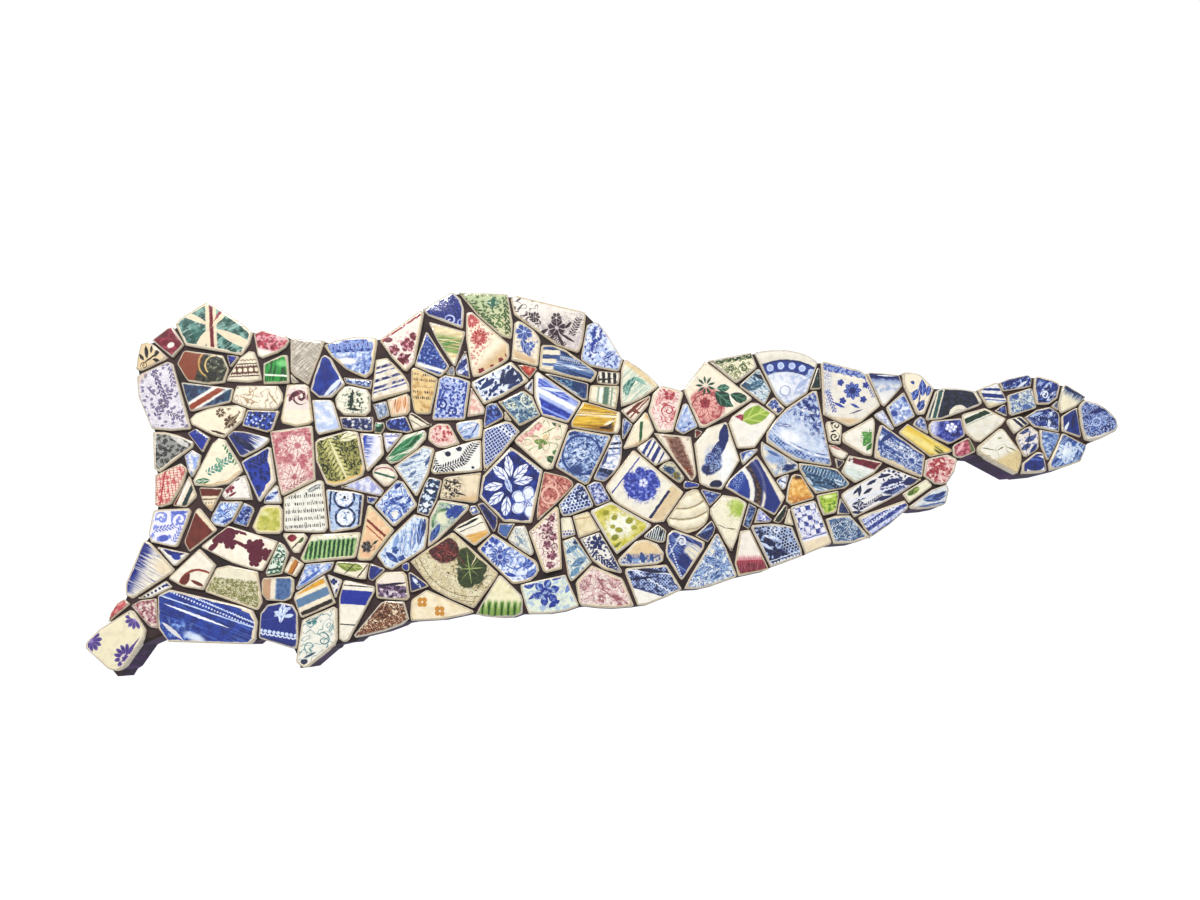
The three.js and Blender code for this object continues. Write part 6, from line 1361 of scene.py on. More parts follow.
shard(-125, -58, "efe3d2", field("a48aa8", -124, -57, 174, 0.5),
    mottle("583868", 1.8, 0.5, 2, inside=beyond(-124, -57, 174)),
    foliage("4a2c58", 2.4, 0.8, 0.3, inside=beyond(-124, -57.4, 174)), leaf("3b2046", -134, -57.6, -115, -55.4, 1.5),
    mottle("e4d6dc", 2.4, 0.56, 6, inside=beyond(-124, -60, 174)))
shard(-110, -55, "2a50a4", leaf("dfe6f2", -113, -52, -107, -59, 2), mottle("16357f", 2, 0.52, 3))
shard(-98, -69, "f1e4c4", mottle("e9d8b0", 5, 0.52, 2), *several(flower, "cf9430", (-106.8, -67.2, 3.4, 4, 45),
    (-96.3, -72.6, 3.5, 4, 45)), *several(patch, "f1e4c4", (-106.8, -67.2, 0.7), (-96.3, -72.6, 0.7)))


def frond_ridges(x, z):
    """Short moulded ribs along the foot of a moulded edge."""
    return 0.45 * (0.5 + 0.5 * math.cos((x + 58) * 1.63)) / (1 + math.exp((z + 67) * 1.6))


shard(-58, -67, "eee6c0",
    mark("lattice", "5f9a24", -57, -72, 3.85, 400, -4, line=0.3, inside=beyond(-58, -66.8, 178, 1.6)),
    field("7fa63c", -58, -68.6, 180, 4.4, amount=0.9),
    mark("lattice", "2f6a14", -57, -72, 3.85, 400, -4, line=0.14, inside=beyond(-58, -68.6, 178, 1.6)),
    mottle("e2d8a4", 4, 0.54, 2, inside=beyond(-58, -62, 0)), relief=frond_ridges, step=1.0)
shard(-31, -63, "dfe7d2", *petals("2546b0", "5f7fd0", -32.4, -61.4, 8.6, 6, 20, 0.55),
    patch("2546b0", -32.4, -61.4, 3.4), leaf("2546b0", -46, -58, -39, -56, 4.4, "5f7fd0"),
    leaf("2f50b4", -43, -66, -37, -61, 2.4), leaf("2a4bb2", -31, -70.4, -24, -66, 3.4),
    leaf("6f8cd2", -21, -62, -16, -54, 3), mottle("a9bfd8", 3, 0.56, 2), leaf("4263bd", -29, -54, -22, -51.4, 2.2))
shard(-29, -2, "cf8478", speckle("b05f58", 0.7, 0.4), mottle("e3aa98", 4, 0.52, 2), mottle("a9564e", 2.4, 0.58, 5),
    ring("e9bcaa", -30, -3, 5, 0.9), ring("b05f58", -30, -3, 8.6, 0.7), scroll("e4b0a0", -28.6, 3, 3, 1.3, 30, 0.16))
shard(-14, -7, "3f63a8", mark("honeycomb", "e2eaf4", 0, 0, 2.1, 2.1, 12, line=0.12, dot=0.3, second="e2eaf4"),
    beads("e8eef6", -14, -6, 2.1, 30, 0.34), scroll("1a3478", -10, -3.4, 4.4, 1.4, 60, 0.2),
    band("1a3478", -18, -1, 1, 42), band("e2eaf4", -16.6, 0, 0.7, 42), mottle("1f3f8a", 3, 0.58, 3))
shard(-1, -2, "a9b4d6", mottle("4a5fb0", 2.4, 0.5, 3), foliage("2f459c", 2.4, 0.6, 2), mottle("e4e6f0", 1.8, 0.56, 6))
shard(12, -22, "d9d06c", mottle("c2b838", 4, 0.5, 3), patch("f0efdc", 12, -21.6, 7.4, 6, 10, 0.4),
    mottle("f5f4ea", 2, 0.5, 3, inside=spot(12, -21, 9, 8, 10, 0.4)), *several(patch, "9a9a24",
    (17.6, -18.4, 2.4, 1.9, 30), (8.6, -16.6, 1.9, 1.5, 10)), patch("9fa02c", 11.4, -24, 2.3, 1.6, -10),
    patch("8c8f22", 9, -28.6, 2.3, 1.8, 30), patch("a5a62e", 20.4, -22.6, 1.8, 1.4),
    patch("9a9a24", 3.6, -13.6, 2, 1.5, 20), patch("a5a62e", 7.6, -22, 1.5, 1.2),
    leaf("7f8a20", 8, -35, 13, -31, 1.8), speckle("c9c030", 1, 0.3, amount=0.6))
shard(-19, -22, "ece4ca", beads("5f6fc4", -19, -26.4, 1.7, 3, 0.42), beads("4f61b8", -18.2, -24.6, 1.7, 3, 0.3),
    band("6f7fcc", -19, -28, 0.5, 3))
shard(-8, -21, "e9dab4", mottle("e0cfa2", 4, 0.5, 2), band("c9ad7c", -8, -16.4, 0.8, 10))
shard(-31, -32, "f0e3d4", *[flower("8f4a66", a, b, c, 5, 20 * c, "c98fa0") for a, b, c in ((-29, -17, 2.2), (-32, -23,
    3.2), (-28, -28, 2.6), (-31.6, -33, 3), (-29, -39, 3.4), (-30, -45, 2.6))],
    sprig("8a4460", -29, -14, -31, -34, 4.4, 9), curls("8f4a66", 3, 0.08, 3), *several(scroll, "8a4460",
    (-34, -28, 2.6, 1.4, 30, 0.2), (-27, -34, 2.6, 1.4, 100, 0.2)), mottle("e2c4c0", 2.4, 0.58, 4))
shard(-14, -41, "ece8d4", leaf("4f7fa8", -21, -38, -13, -33, 3.4), leaf("3f6c9c", -17, -46, -8, -40, 4.4, "9cbcd0"),
    leaf("6f9cba", -18, -52, -12, -46, 3.4), brushed("8fb2c8", 4, 1.2, -52, 0.52, 3), mottle("5f8cb0", 2, 0.6, 4),
    patch("2f5488", -14, -31, 2.4, 1.6, 20, 0.4))
shard(2, -37, "e6e2d8", *petals("1f3a86", None, -1.6, -31.4, 4.6, 6, 0, 0.55), patch("1f3a86", -1.6, -31.4, 1.2),
    ring("1f3a86", -6, -36, 2, 0.8), sprig("1a3278", -3, -38, 10, -49, 4, 8),
    sprig("27428c", 6, -34, 10.6, -46, 4, 7), leaf("1f3a86", 4, -29, 6, -36, 2.2),
    lattice("27428c", 1.6, 1.6, 40, 0.16, inside=beyond(3, -44, 222)), foliage("27428c", 2.2, 0.6, 3),
    leaf("1f3a86", -5, -40, -1, -36, 1.6), lip("ead9b0", 1.6, inside=beyond(0, -43, 150)))
shard(2, -60, "f2e8dc", *petals("a4606c", "f2e8dc", -9.4, -56.6, 4.4, 7, 10, 0.5),
    *petals("a4606c", "eedccf", 9, -55, 4, 7, 30, 0.5),
    band("a86470", 1.4, -58, 3.4, -38, 0.2, inside=beyond(4, -56, 200, 2)),
    band("eedccf", 1.4, -58, 1.6, -38, inside=beyond(4, -56, 200, 2)), leaf("9c5866", -2, -52, 4, -60, 2.2),
    flower("a4606c", 1, -65, 3, 5, second="eedccf"), leaf("a4606c", 6, -62, 12, -66.6, 2.2),
    speckle("bd8a92", 0.7, 0.38), mottle("dcb8b4", 3, 0.54, 4), curls("b06e7a", 4, 0.07, 3))
shard(31, -57, "2b4fa0", lattice("b4c6e8", 1.35, 1.35, 45, 0.17), mottle("153078", 3, 0.53, 2),
    band("dfe6f2", 28, -49, 0.9, -6), mark("scallops", "e4eaf4", 26, -52.4, 2.6, None, -30),
    leaf("0f2766", 20, -47, 40, -49.6, 2.6), leaf("122b6e", 16, -54, 33, -52, 1.6),
    field("f1ede2", 31, -62, 163, 0.4), band("1f4190", 31, -61.4, 0.8, -17))
shard(25, -38, "dfc596", field("efe8d8", 25, -41.6, 178, 1.6),
    mottle("3d6cb0", 1.3, 0.52, 3, inside=band("", 25, -41.4, 6, 0, 0.4)), *several(leaf, "2f5c9c",
    (17, -38, 18.6, -44, 3), (24.6, -37, 26.4, -44, 3.4)), leaf("3a66a4", 30.6, -38, 31.6, -43, 2.6),
    patch("8fb0d8", 21.6, -42, 2.6, 1, soft=0.5), speckle("4a78b8", 0.7, 0.36, inside=band("", 25, -42, 7, 0, 0.4)))
shard(34, -26, "d9dede", mark("lattice", "263c48", 34, -25, 1.3, 400, -14, line=0.28),
    leaf("1d3440", 36, -28, 38.4, -22, 1.6), patch("1d3440", 33, -21.6, 2.4, 1, 0))
shard(50, -37, "2446a2", mottle("183588", 2.6, 0.54, 3), patch("e9dfc2", 56, -37, 5.4, 4.6, -30, 0.2),
    leaf("e9dfc2", 44, -29, 56, -33, 2.6, "2446a2"), band("d9dcdf", 46, -31, 0.8, 60, inside=beyond(47, -34, 40)),
    brushed("7f9cd6", 2.2, 0.8, -40, 0.56, 4), beads("c9d4ec", 46, -44, 1.7, -70, 0.34),
    scroll("dfe4ea", 49, -31, 3.4, 1.4, 20, 0.2), patch("1b3c92", 50.6, -42, 3.6, 4, 20, 0.3))


# Shards of the right hump
# Painted roses and leaves, a cup's rim, a plate's rim and a wreath printed in blue.
shard(68, 58, "efe4cd", patch("dba096", 64, 50.4, 11, 11.4, 0, 0.1),
    mottle("c4636a", 3, 0.5, 4, inside=spot(64, 50, 10.4, 11)), flower("cd7a78", 63, 52, 8.4, 6, 10, "a84450"),
    *petals("e6aea2", "c4636a", 63.4, 51.4, 8.6, 7, 30, 0.5), flower("b84c58", 63, 52.4, 3.4, 5, 20, "8f3040"),
    ring("a84450", 64, 49, 8.8, 0.6), *several(leaf, "1f5c48", (69, 59, 80, 50, 8.4, "5f9a80"),
    (78, 57.6, 90, 53, 6, "5f9a80")), leaf("2f7a62", 70, 61, 78, 61.6, 4.6, "7fb09a"),
    leaf("efe9dc", 77.6, 57.4, 80.4, 50.4, 1.6), *petals("2a6a4c", None, 63.4, 62.6, 6, 9, 18, 0.24),
    field("dcc8a0", 82, 46, -130, 2, amount=0.5))
shard(82, 74, "ece4c4", band("2b4a2c", 79, 80.6, 2.6, 9, 0.3),
    mark("scallops", "41613a", 79, 79.4, 4.2, None, 189, width=0.2), curls("8a9464", 3, 0.12, 4),
    foliage("6f7f4c", 2.6, 0.75, 2, second="d4d4a8"), scroll("5f7344", 86, 73, 3, 1.4, 40, 0.18),
    lattice("8a9464", 1.7, 1.7, 45, 0.1, inside=spot(78, 71.6, 5, 4)),
    flower("5f7344", 78.6, 73, 2.2, 5, second="e0dcb4"))
shard(95, 63, "cfdbe0", field("2a4468", 92, 66.4, 70, 0.8, amount=0.9, outside=beyond(96, 60, -30)),
    leaf("3a6a86", 88, 60, 99, 66, 4.6, "a9c6d0"), leaf("e9eeee", 90, 58, 101, 60, 2.6),
    brushed("5f8ca4", 3, 0.9, -36, 0.52, 4), leaf("244060", 92, 70, 101, 66, 2.4), mottle("3f6c8c", 2, 0.58, 2))


def cup_steps(x, z):
    """The raised lip and the ledge inside a cup's rim."""
    out = math.hypot(x - 110, z - 42) if z > 60 else 24
    rim_step = 0.55 * math.exp(-((out - 39.5) / 1.6) ** 2) - 0.35 * math.exp(-((out - 35.4) / 0.9) ** 2)
    return rim_step + 0.4 * math.exp(-((math.hypot(x - 111, z - 59.4) - 3) / 0.9) ** 2)


shard(112, 70, "dfe2ea", mark("arc", "2f54aa", 111, 43, 31.6, width=0.1, soft=0.012),
    mark("arc", "e6e0d0", 111, 43, 38.4, width=0.088, soft=0.01),
    mark("arc", "1b3580", 111, 43, 34.9, width=0.012, soft=0.008),
    mark("arc", "213f92", 111, 43, 28.2, width=0.014, soft=0.012), *[ring("c4d0ea",
    111 + 31.6 * math.sin(math.radians(a)), 43 + 31.6 * math.cos(math.radians(a)), 1.5, 1.1) for a in (-28, -16.4,
    -4.6, 7.4, 19, 30, 41)], *[patch("a9bce2", 111 + 31.6 * math.sin(math.radians(a)),
    43 + 31.6 * math.cos(math.radians(a)), 1.3) for a in (-28, -16.4, -4.6, 7.4, 19, 30, 41)],
    mottle("b4c0dc", 3, 0.54, 2, inside=beyond(112, 70, 180, 3)), patch("eef0f2", 108, 62, 6, 4, 0, 0.6),
    ring("a3aecb", 111, 59.4, 3, 0.7), leaf("a9b8da", 117, 60, 125, 67, 3), relief=cup_steps, step=1.1)
shard(105, 50, "ebe1c8", flower("3f5aa8", 104.4, 51.6, 3.2, 6, 10, "b4c2e2"), flower("31478f", 108, 48, 2.2, 5),
    leaf("3f5aa8", 101.6, 49, 104, 45.6, 1.4), mottle("6f86c2", 1.8, 0.58, 2))
shard(130, 66, "1f4f4c", mottle("123634", 2, 0.5, 2), mottle("4a8078", 1.8, 0.6, 5))
shard(149, 58, "e6e0d2", field("8fa6d8", 147, 69, -15, 1.2, amount=0.8),
    mottle("4a69b8", 1.8, 0.5, 3, inside=beyond(147, 68.4, -15)), band("22387c", 147.6, 75.6, 1.6, -17, 0.3),
    mark("scallops", "efe6d2", 146, 67.4, 4.4, 3, -12, width=0.3),
    *petals("2f4fae", "93a8dc", 151.5, 59.6, 5.6, 8, 5, 0.5), patch("1f3a92", 151.5, 59.6, 2),
    ring("5f7cc8", 151.5, 59.6, 3, 0.5),
    *[flower("3a58b0", a, b, 2.2, 5) for a, b in ((144.4, 64.4), (159.6, 63), (158, 54.4), (145.6, 53.6))],
    *several(leaf, "4463bb", (140, 52.6, 147, 49.4, 1.8), (150, 52, 156, 49, 1.6)), *several(sprig, "4463bb",
    (136.6, 60, 141, 46.6, 3, 7), (160, 67, 164.4, 55.6, 3, 7)), leaf("2f4290", 149, 45.4, 158, 48.4, 0.8),
    field("d9bf94", 150, 43, 176, 1), speckle("6f8ac8", 0.8, 0.36, inside=beyond(138, 56, 86, 2)))
shard(171, 63, "dcdcdc", field("7f95c4", 172, 64.6, -2, 3), field("223a8a", 172, 66.6, -2, 1.2),
    band("eee8dc", 172, 69.6, 0.9, -3, inside=beyond(176, 69, -80)), leaf("e6ecf4", 166, 69.2, 178, 68.4, 0.8),
    field("eceae4", 170, 57, 180, 3), mottle("9fb0d0", 3, 0.54, 3, inside=band("", 172, 63, 8, 0)))
shard(190, 60, "eee3c9", *several(leaf, "2a50ae", (193.6, 56, 193.4, 66.6, 4.6, "8fa9dc"),
    (186.4, 53, 191, 60.6, 4.4, "8fa9dc")), leaf("23459e", 190, 46.8, 194.6, 54, 4.4, "8fa9dc"),
    leaf("3158b2", 196, 56, 198.4, 63.6, 3.2, "8fa9dc"), leaf("2a4f9c", 190.6, 48, 192.6, 62, 0.8),
    leaf("6f8ccc", 183, 60, 188.4, 56, 1.8), patch("3158b2", 187.6, 64.6, 1.1))
shard(181, 48, "c2d0e8", mottle("5a78c0", 2.4, 0.52, 4), mottle("8fa6d8", 3.4, 0.5, 2, amount=0.8),
    mottle("eef0f4", 2, 0.56, 7), patch("3f60b2", 184, 55.6, 2.2, 3, 20, 0.4),
    patch("4a69b8", 176.6, 46, 2.4, 2, 0, 0.4))
shard(171, 42, "e4e4ee", mottle("b0b9dc", 2, 0.54, 3), mottle("8592c8", 1.6, 0.6, 6))
shard(193, 39, "93a6cc", mottle("4f6aae", 2, 0.5, 3), mottle("d0d6e4", 1.6, 0.56, 5))
shard(213, 53, "242c48", mottle("39446a", 3, 0.52, 2), field("e6dec6", 204.4, 50, 75, 0.3),
    band("3f7470", 202.8, 51, 2.2, 76, 0.2), band("2a5560", 200, 51, 1.2, 74), ring("e9e1cc", 216, 45, 5, 2.4),
    patch("e4dcc6", 216, 45.4, 3.6, 3.2), patch("c9cfc0", 218, 46.4, 2, 1.2),
    band("4d5474", 212, 57.4, 0.5, -18, amount=0.6), lip("ebdfc2", 2.6, inside=beyond(227, 54, -60)))
shard(237, 56, "ecebe6", mottle("c9d0dc", 3, 0.58, 2), *several(band, "2b4c9e", (235, 60.4, 1.5, -1, 0.12),
    (238, 56.4, 2.4, -4, 0.12)), band("5f7cbc", 238, 54, 0.7, -4), band("e2d4b0", 238, 50.6, 3, -6, 0.4))
shard(241, 48, "2c4a9c", mottle("6f8ac8", 2, 0.56, 2))
shard(231, 41, "ece8da", mottle("e2dcc8", 5, 0.5, 2), band("21563c", 227.6, 44.9, 3.1, 24, 0.08),
    band("2f6a4c", 228.6, 42.6, 0.5, 24, amount=0.5))
shard(208, 36, "5f6cc4", mottle("2f3f9c", 2.4, 0.5, 4), field("d9dcec", 202, 37, 82, 2.4), *[patch("eef0f8",
    210.6 + 2.5 * math.cos(a), 37.4 + 2 * math.sin(a), 1.0) for a in (0.2, 1.3, 2.4, 3.4, 4.5, 5.5)],
    patch("eef0f8", 210.6, 37.4, 1.1), leaf("1f2f86", 210, 32, 217, 36, 3.4), leaf("26389a", 203, 42, 214, 41, 2),
    mottle("8f9ade", 2, 0.58, 2))
shard(219, 26, "b8526c", mottle("d98f98", 2.4, 0.52, 2), field("6a8a50", 222.4, 26, -78, 1),
    mottle("93355a", 2, 0.6, 4, inside=beyond(220, 26, 90)), leaf("e6b4b4", 214, 22, 219, 29, 2))
shard(204, 13, "e2b8b4", flower("b53a48", 203, 16, 5.4, 6, 10, "d98488"),
    flower("b03448", 199.6, 9.6, 4, 5, 30, "d4787e"), flower("c04c56", 208, 10.6, 3.4, 5, 0, "e0a09c"),
    mottle("c25a62", 2.2, 0.54, 3), mottle("f0dcd0", 2, 0.58, 6), lip("ecdcc2", 1.8, inside=beyond(210, 13, -80)))
shard(241, 24, "eee9da", curls("9aa06c", 8, 0.035, 3), *several(leaf, "8a8f5c", (228, 25.6, 238, 23.6, 0.7),
    (238, 23.6, 243, 26.4, 0.7), (243, 26.4, 252, 22.6, 0.8)), field("dcc793", 240, 19.4, 206, 1.8),
    speckle("a9935c", 1, 0.26, amount=0.5, inside=beyond(240, 19, 206, 2)))
shard(250, 64, "3152a6", mottle("193a8c", 2.2, 0.5, 2), mottle("a9bce0", 1.8, 0.56, 5),
    leaf("1c3c92", 243, 63, 250, 66.6, 2.8), leaf("dfe6f0", 250, 61, 257, 66, 1.6))
shard(253, 53, "d3dcd2", mottle("e9e6cf", 4, 0.5, 5), mottle("7f9cc4", 2.2, 0.52, 3), speckle("4a6cac", 1.1, 0.36),
    patch("4a6cac", 249, 56, 2.4, 1.6, 20, 0.4), patch("5f7fb8", 256, 50, 2.6, 1.8, -20, 0.4))
shard(268, 60, "2450a8", *several(leaf, "dfe7f4", (264, 56, 272, 66, 3.4, "4a70c0"),
    (268, 53, 274.6, 60, 3, "4a70c0")), leaf("b9c9ea", 262.4, 62, 267, 67, 2.6, "4a70c0"),
    mottle("12327f", 2.6, 0.52, 3), mottle("5f84cc", 1.8, 0.58, 6), scroll("e6ecf6", 267, 57, 2.6, 1.3, 30, 0.18))
shard(283, 54, "ece3c4", field("5f86b4", 283, 56.6, -30, 3, amount=0.7), field("1c3a7c", 284, 59.6, -32, 2),
    leaf("14285c", 276.6, 64, 291, 57, 4), brushed("24508c", 3, 1, 58, 0.5, 3, inside=beyond(283, 56, -30, 2)))
shard(274, 50, "3f62ac", mottle("a9bcdc", 1.4, 0.54, 3))
shard(268, 43, "1f48a2", speckle("c9d6ee", 1.0, 0.32), band("e6ebf4", 270.4, 43, 1.6, 80, 0.3),
    mottle("10307c", 2.6, 0.52, 3), leaf("dfe6f2", 262, 37.6, 274, 37, 2.2), mottle("5f84cc", 1.8, 0.6, 6),
    leaf("a9bce2", 258, 44, 266, 47, 1.8))
shard(283, 41, "1b419a", mottle("2f58ae", 2.6, 0.52, 2), leaf("e6ebf4", 278, 34, 281.6, 41, 1.8),
    leaf("0f2c78", 283, 36, 285, 47, 2.2))
shard(299, 42, "3158ac", mottle("183a8c", 2.2, 0.5, 2), mottle("8fa9da", 1.8, 0.55, 5),
    *petals("6f8ecc", "1f4498", 298, 41, 5.6, 7, 20, 0.5), ring("b9c8e6", 298, 41, 2.4, 0.6),
    speckle("c4d0ea", 0.9, 0.3), scroll("183a8c", 304, 36, 3, 1.4, 30, 0.2), leaf("183a8c", 293, 46, 304, 49, 2.4),
    lip("e4d8be", 1.9, inside=beyond(300, 34, 190, 2)))
shard(281, 23, "4a78be", mottle("2f5cae", 2.8, 0.54, 4), *petals("dfe9f2", "4a78be", 280.6, 22.6, 7, 6, 20, 0.62),
    patch("eef3f6", 280.6, 22.6, 2.6), ring("2550a4", 281, 22, 8.4, 1.3),
    leaf("1f489c", 283, 13, 291, 27, 3.6, "8fb0dc"), leaf("24509f", 277, 31, 286, 33.4, 2.6),
    leaf("c9d9ee", 286, 28, 291, 22, 1.6), brushed("b4cae6", 3, 1, 50, 0.56, 7),
    lip("e6d6b2", 1.7, inside=beyond(275, 22, 80)))
shard(270, 29, "6a8fc8", mottle("b9cbe6", 2.6, 0.52, 3), mottle("3f68b0", 2, 0.56, 6))
shard(258, 29, "ece2d6", *several(leaf, "27468f", (252, 34, 258, 37, 3), (255, 29, 262.4, 33, 3, "6f8ac2"),
    (253, 24, 259, 28, 3, "6f8ac2")), leaf("31529c", 258.6, 22, 262.6, 28, 2.6), mottle("6f86bc", 1.8, 0.58, 4),
    leaf("1f3c82", 256, 22, 258.6, 37, 0.8))
shard(252, 40, "ece4ce", *several(band, "1a2a66", (250.4, 41, 1.7, -40, 0.1), (253.6, 41.6, 1.7, -40, 0.1)))
shard(261, 16, "e9ebf0", ring("2449a2", 261.6, 12, 6.8, 3), patch("2449a2", 261, 14.6, 5.4, 3.2, 0, 0.12),
    leaf("5f7fc8", 256, 18.6, 266, 18, 1.4), band("24499f", 261.6, 21, 1.4, 4, 0.2),
    mottle("12327f", 2, 0.56, 3, inside=spot(261, 14.6, 5.4, 3.4)))
shard(192, 29, "e2c040", band("f2e08c", 189, 31, 3, -32, 0.5), band("d3a828", 186, 28, 1.4, -32, 0.5),
    patch("5a5a1c", 204, 24, 3.6, 2, -32, 0.4), leaf("6f7a30", 201, 27, 207, 22.6, 1.8),
    brushed("efd878", 5, 1.4, -32, 0.54, 3))
shard(180, 23, "7f9bcc", brushed("e6ecf2", 4, 1.1, -31, 0.5, 3), band("3f60a8", 180, 30.6, 3, -31, 0.4),
    band("e2e8f0", 179, 25.6, 2.2, -31, 0.4), band("5f7fbc", 178, 22.4, 1.4, -31, 0.3),
    mottle("3a5ca6", 2.2, 0.57, 5), curls("3f60a8", 3, 0.12, 2), leaf("2f509c", 168, 29, 176, 34, 3),
    *several(ring, "dfe6f0", (187, 17.4, 2.4, 0.7), (184, 20.6, 1.6, 0.6)), speckle("2f509c", 0.9, 0.34, amount=0.7),
    lip("dccba4", 2.2, inside=beyond(180, 16, 150)))
shard(156, 32, "efe9da", leaf("4f9a40", 158, 26.4, 164.4, 35.6, 5, "8fbf70"),
    leaf("5fa650", 157, 35, 164, 31, 3.6, "8fbf70"), leaf("3f8a3a", 160, 23.6, 164, 28.6, 2.4),
    speckle("4f9a40", 0.9, 0.34, inside=spot(161, 31, 4.4, 6)),
    band("d4888c", 150.6, 26.6, 1.2, -26, 0.4, inside=beyond(153, 26, 90)),
    lip("e6c7b4", 1.6, inside=beyond(152, 27, 150)))
shard(140, 34, "ece2c8", *several(scroll, "231c1c", (141.6, 38.6, 2.8, 1.4, 60, 0.2), (140.6, 32, 3, 1.4, 220, 0.2)),
    leaf("2c2320", 138, 34.6, 142, 36, 1.2), patch("2c2320", 142.6, 30, 0.9), leaf("2c2320", 138, 39, 140, 42, 1))
shard(144, 23, "ece4d2", leaf("c04a58", 138, 27, 148, 23.4, 1.6), band("d0737a", 144, 24.6, 0.9, -22),
    patch("3f6a3a", 148.6, 20.4, 1))
shard(144, 16, "1a2350", mottle("27336a", 2, 0.5, 2))
shard(157, 13, "e2e6de", field("9c2248", 156, 14.8, -17, 0.5, outside=beyond(151, 14, 80)),
    mottle("7c1436", 2.4, 0.54, 2, inside=beyond(156, 15, -17)), band("f0ece6", 156, 13.6, 0.9, -17),
    brushed("b9cbb8", 3, 1, -18, 0.54, 3, inside=beyond(154, 12, 165)), band("d3dfe0", 152, 9.6, 1, -18))
shard(120, 37, "d3dcec", mark("arc", "2a56a8", 143.6, 76, 59.6, width=0.034, soft=0.01),
    mark("arc", "d9c9a2", 143.6, 76, 62.7, width=0.014, soft=0.005),
    mark("check", "9db6de", 0, 0, 1.2, 1.2, 0, inside=mark("arc", "", 143.6, 76, 59.6, width=0.028, soft=0.01)),
    mark("arc", "eef1f5", 143.6, 76, 56.8, width=0.01, soft=0.006),
    mark("arc", "3f66b0", 143.6, 76, 55.6, width=0.006, soft=0.004),
    foliage("2f56aa", 3, 0.9, 0.2, second="a9c0e2", inside=beyond(119, 40, -42, 2)),
    mottle("2a50a6", 2.4, 0.5, 4, inside=beyond(122, 42, -44, 2)), *several(leaf, "1f4298", (121, 57, 127, 48, 4),
    (126, 51, 130, 40, 4.4), (116, 55, 122, 49, 2.6)), leaf(WHITE, 120, 48, 129, 46, 2),
    brushed("8fa9d6", 3, 1, -58, 0.54, 3, inside=beyond(112, 40, 60, 3)), mottle("b6c5e0", 3, 0.54, 6),
    speckle("8a9ab4", 0.9, 0.26, amount=0.6), *several(leaf, "5f80c0", (104, 40, 116, 38, 2.4, WHITE),
    (112, 46, 118, 54, 3, WHITE)), patch("eef1f5", 114, 32, 7, 3.4, -20, 0.5))
shard(92, 39, "efe9dc", leaf("8fb02c", 83, 40.6, 103.6, 49.6, 10.6, "bccf62", amount=0.97),
    leaf("a8264c", 79, 37.4, 86, 45.6, 6, "d0708a"), patch("c4607a", 82.4, 36.6, 2.6, 2.4, 20, 0.4),
    field("efe9dc", 91, 38.6, 152, 0.4), patch(WHITE, 94, 33, 6, 3, soft=0.6))
shard(69, 22, "ebe3d0", patch("f2f2ee", 75, 16, 6, 12, 0, 0.6), *several(leaf, "26408c", (75, 40, 73.6, 24, 6),
    (76.6, 33, 65.6, 16, 6.4)), *several(patch, "26408c", (68, 18.6, 5, 4.6, 30, 0.14),
    (65.6, 12.6, 4.8, 3.6, 0, 0.2)), patch("1c2f74", 68.6, 13.4, 4.6, 2.6, 20, 0.16),
    patch("1c2a68", 69.6, 3.6, 3.8, 2.4, 10), patch("1c2f74", 76, 38, 1.5, 1.3),
    mottle("6f8cc8", 1.8, 0.56, 3, inside=spot(68, 17, 5, 5)),
    speckle("a9bce2", 0.8, 0.36, inside=spot(68, 19, 6, 9)), leaf("1c2f74", 64, 8, 65.6, 16, 2))
shard(59, 34, "8f2238", mottle("b04a58", 1.8, 0.54, 2))
shard(88, 20, "ebe9e4", field("2c5aa8", 86.4, 19.4, 62, 0.5), leaf("4f7cc0", 84.6, 22, 92, 24, 1.6),
    mottle("8fb0dc", 2, 0.56, 2))
shard(107, 19, "ebe0c6", mottle("a9bcd8", 4, 0.5, 3), patch("9db2d6", 106, 20, 6, 4, -30, 0.5),
    patch("2c4a8c", 113.6, 13, 3.4, 2.2, -24, 0.2), leaf("1f3a7c", 109, 12, 118, 15.4, 2.6),
    speckle("4a6aa4", 0.8, 0.34, inside=spot(111, 15, 6, 4)), leaf("5f7fb4", 100, 24, 108, 20, 1.8))


# Shards of the lower right edge
# Blue garden prints, a ridged piece, a check and long bordered rims that follow the edge.
def bars_at(x, z):
    """Two broad moulded ridges that curve round the shard's foot."""
    out = math.hypot(x - 49, z - 9)
    return 0.5 * math.cos((out - 17) * 0.95) * (0 if out < 10 else 1)


shard(27, 3, "ece6d4", *[patch("4258c0", 25 + 7.4 * math.cos(a), 3.6 + 7 * math.sin(a), 3.6 + 0.8 * math.sin(3 * a),
    3.4, 0, 0.12) for a in (0.1, 0.9, 1.7, 2.6, 3.3, 4.1, 4.9, 5.6)], patch("5064c8", 25, 3.6, 5, 4.6, 0, 0.15),
    mottle("8fa0e0", 1.8, 0.54, 3, inside=spot(25, 3, 11, 11)),
    mottle("2c40a4", 2.2, 0.56, 6, inside=spot(25, 3, 11, 11)), flower("dfe2f4", 26, 4.4, 3, 5, second="4258c0"),
    field("dcc49a", 38, -4.4, -125, 0.5), band("20377c", 37.6, -6, 1.7, 55, 0.1, inside=beyond(40, 0.6, 150)),
    band("3d52b4", 21, 16, 0.8, 52, 0.3))
shard(43, 11, "d2c9a4", patch("2f4f86", 42, 12, 3, 2, -30, 0.3), patch("8a7c2c", 46, 8.6, 2, 2.4, 10, 0.3),
    leaf("2f4f86", 37, 14, 44, 9, 1.6), mottle("5f7f9c", 2, 0.56, 4))
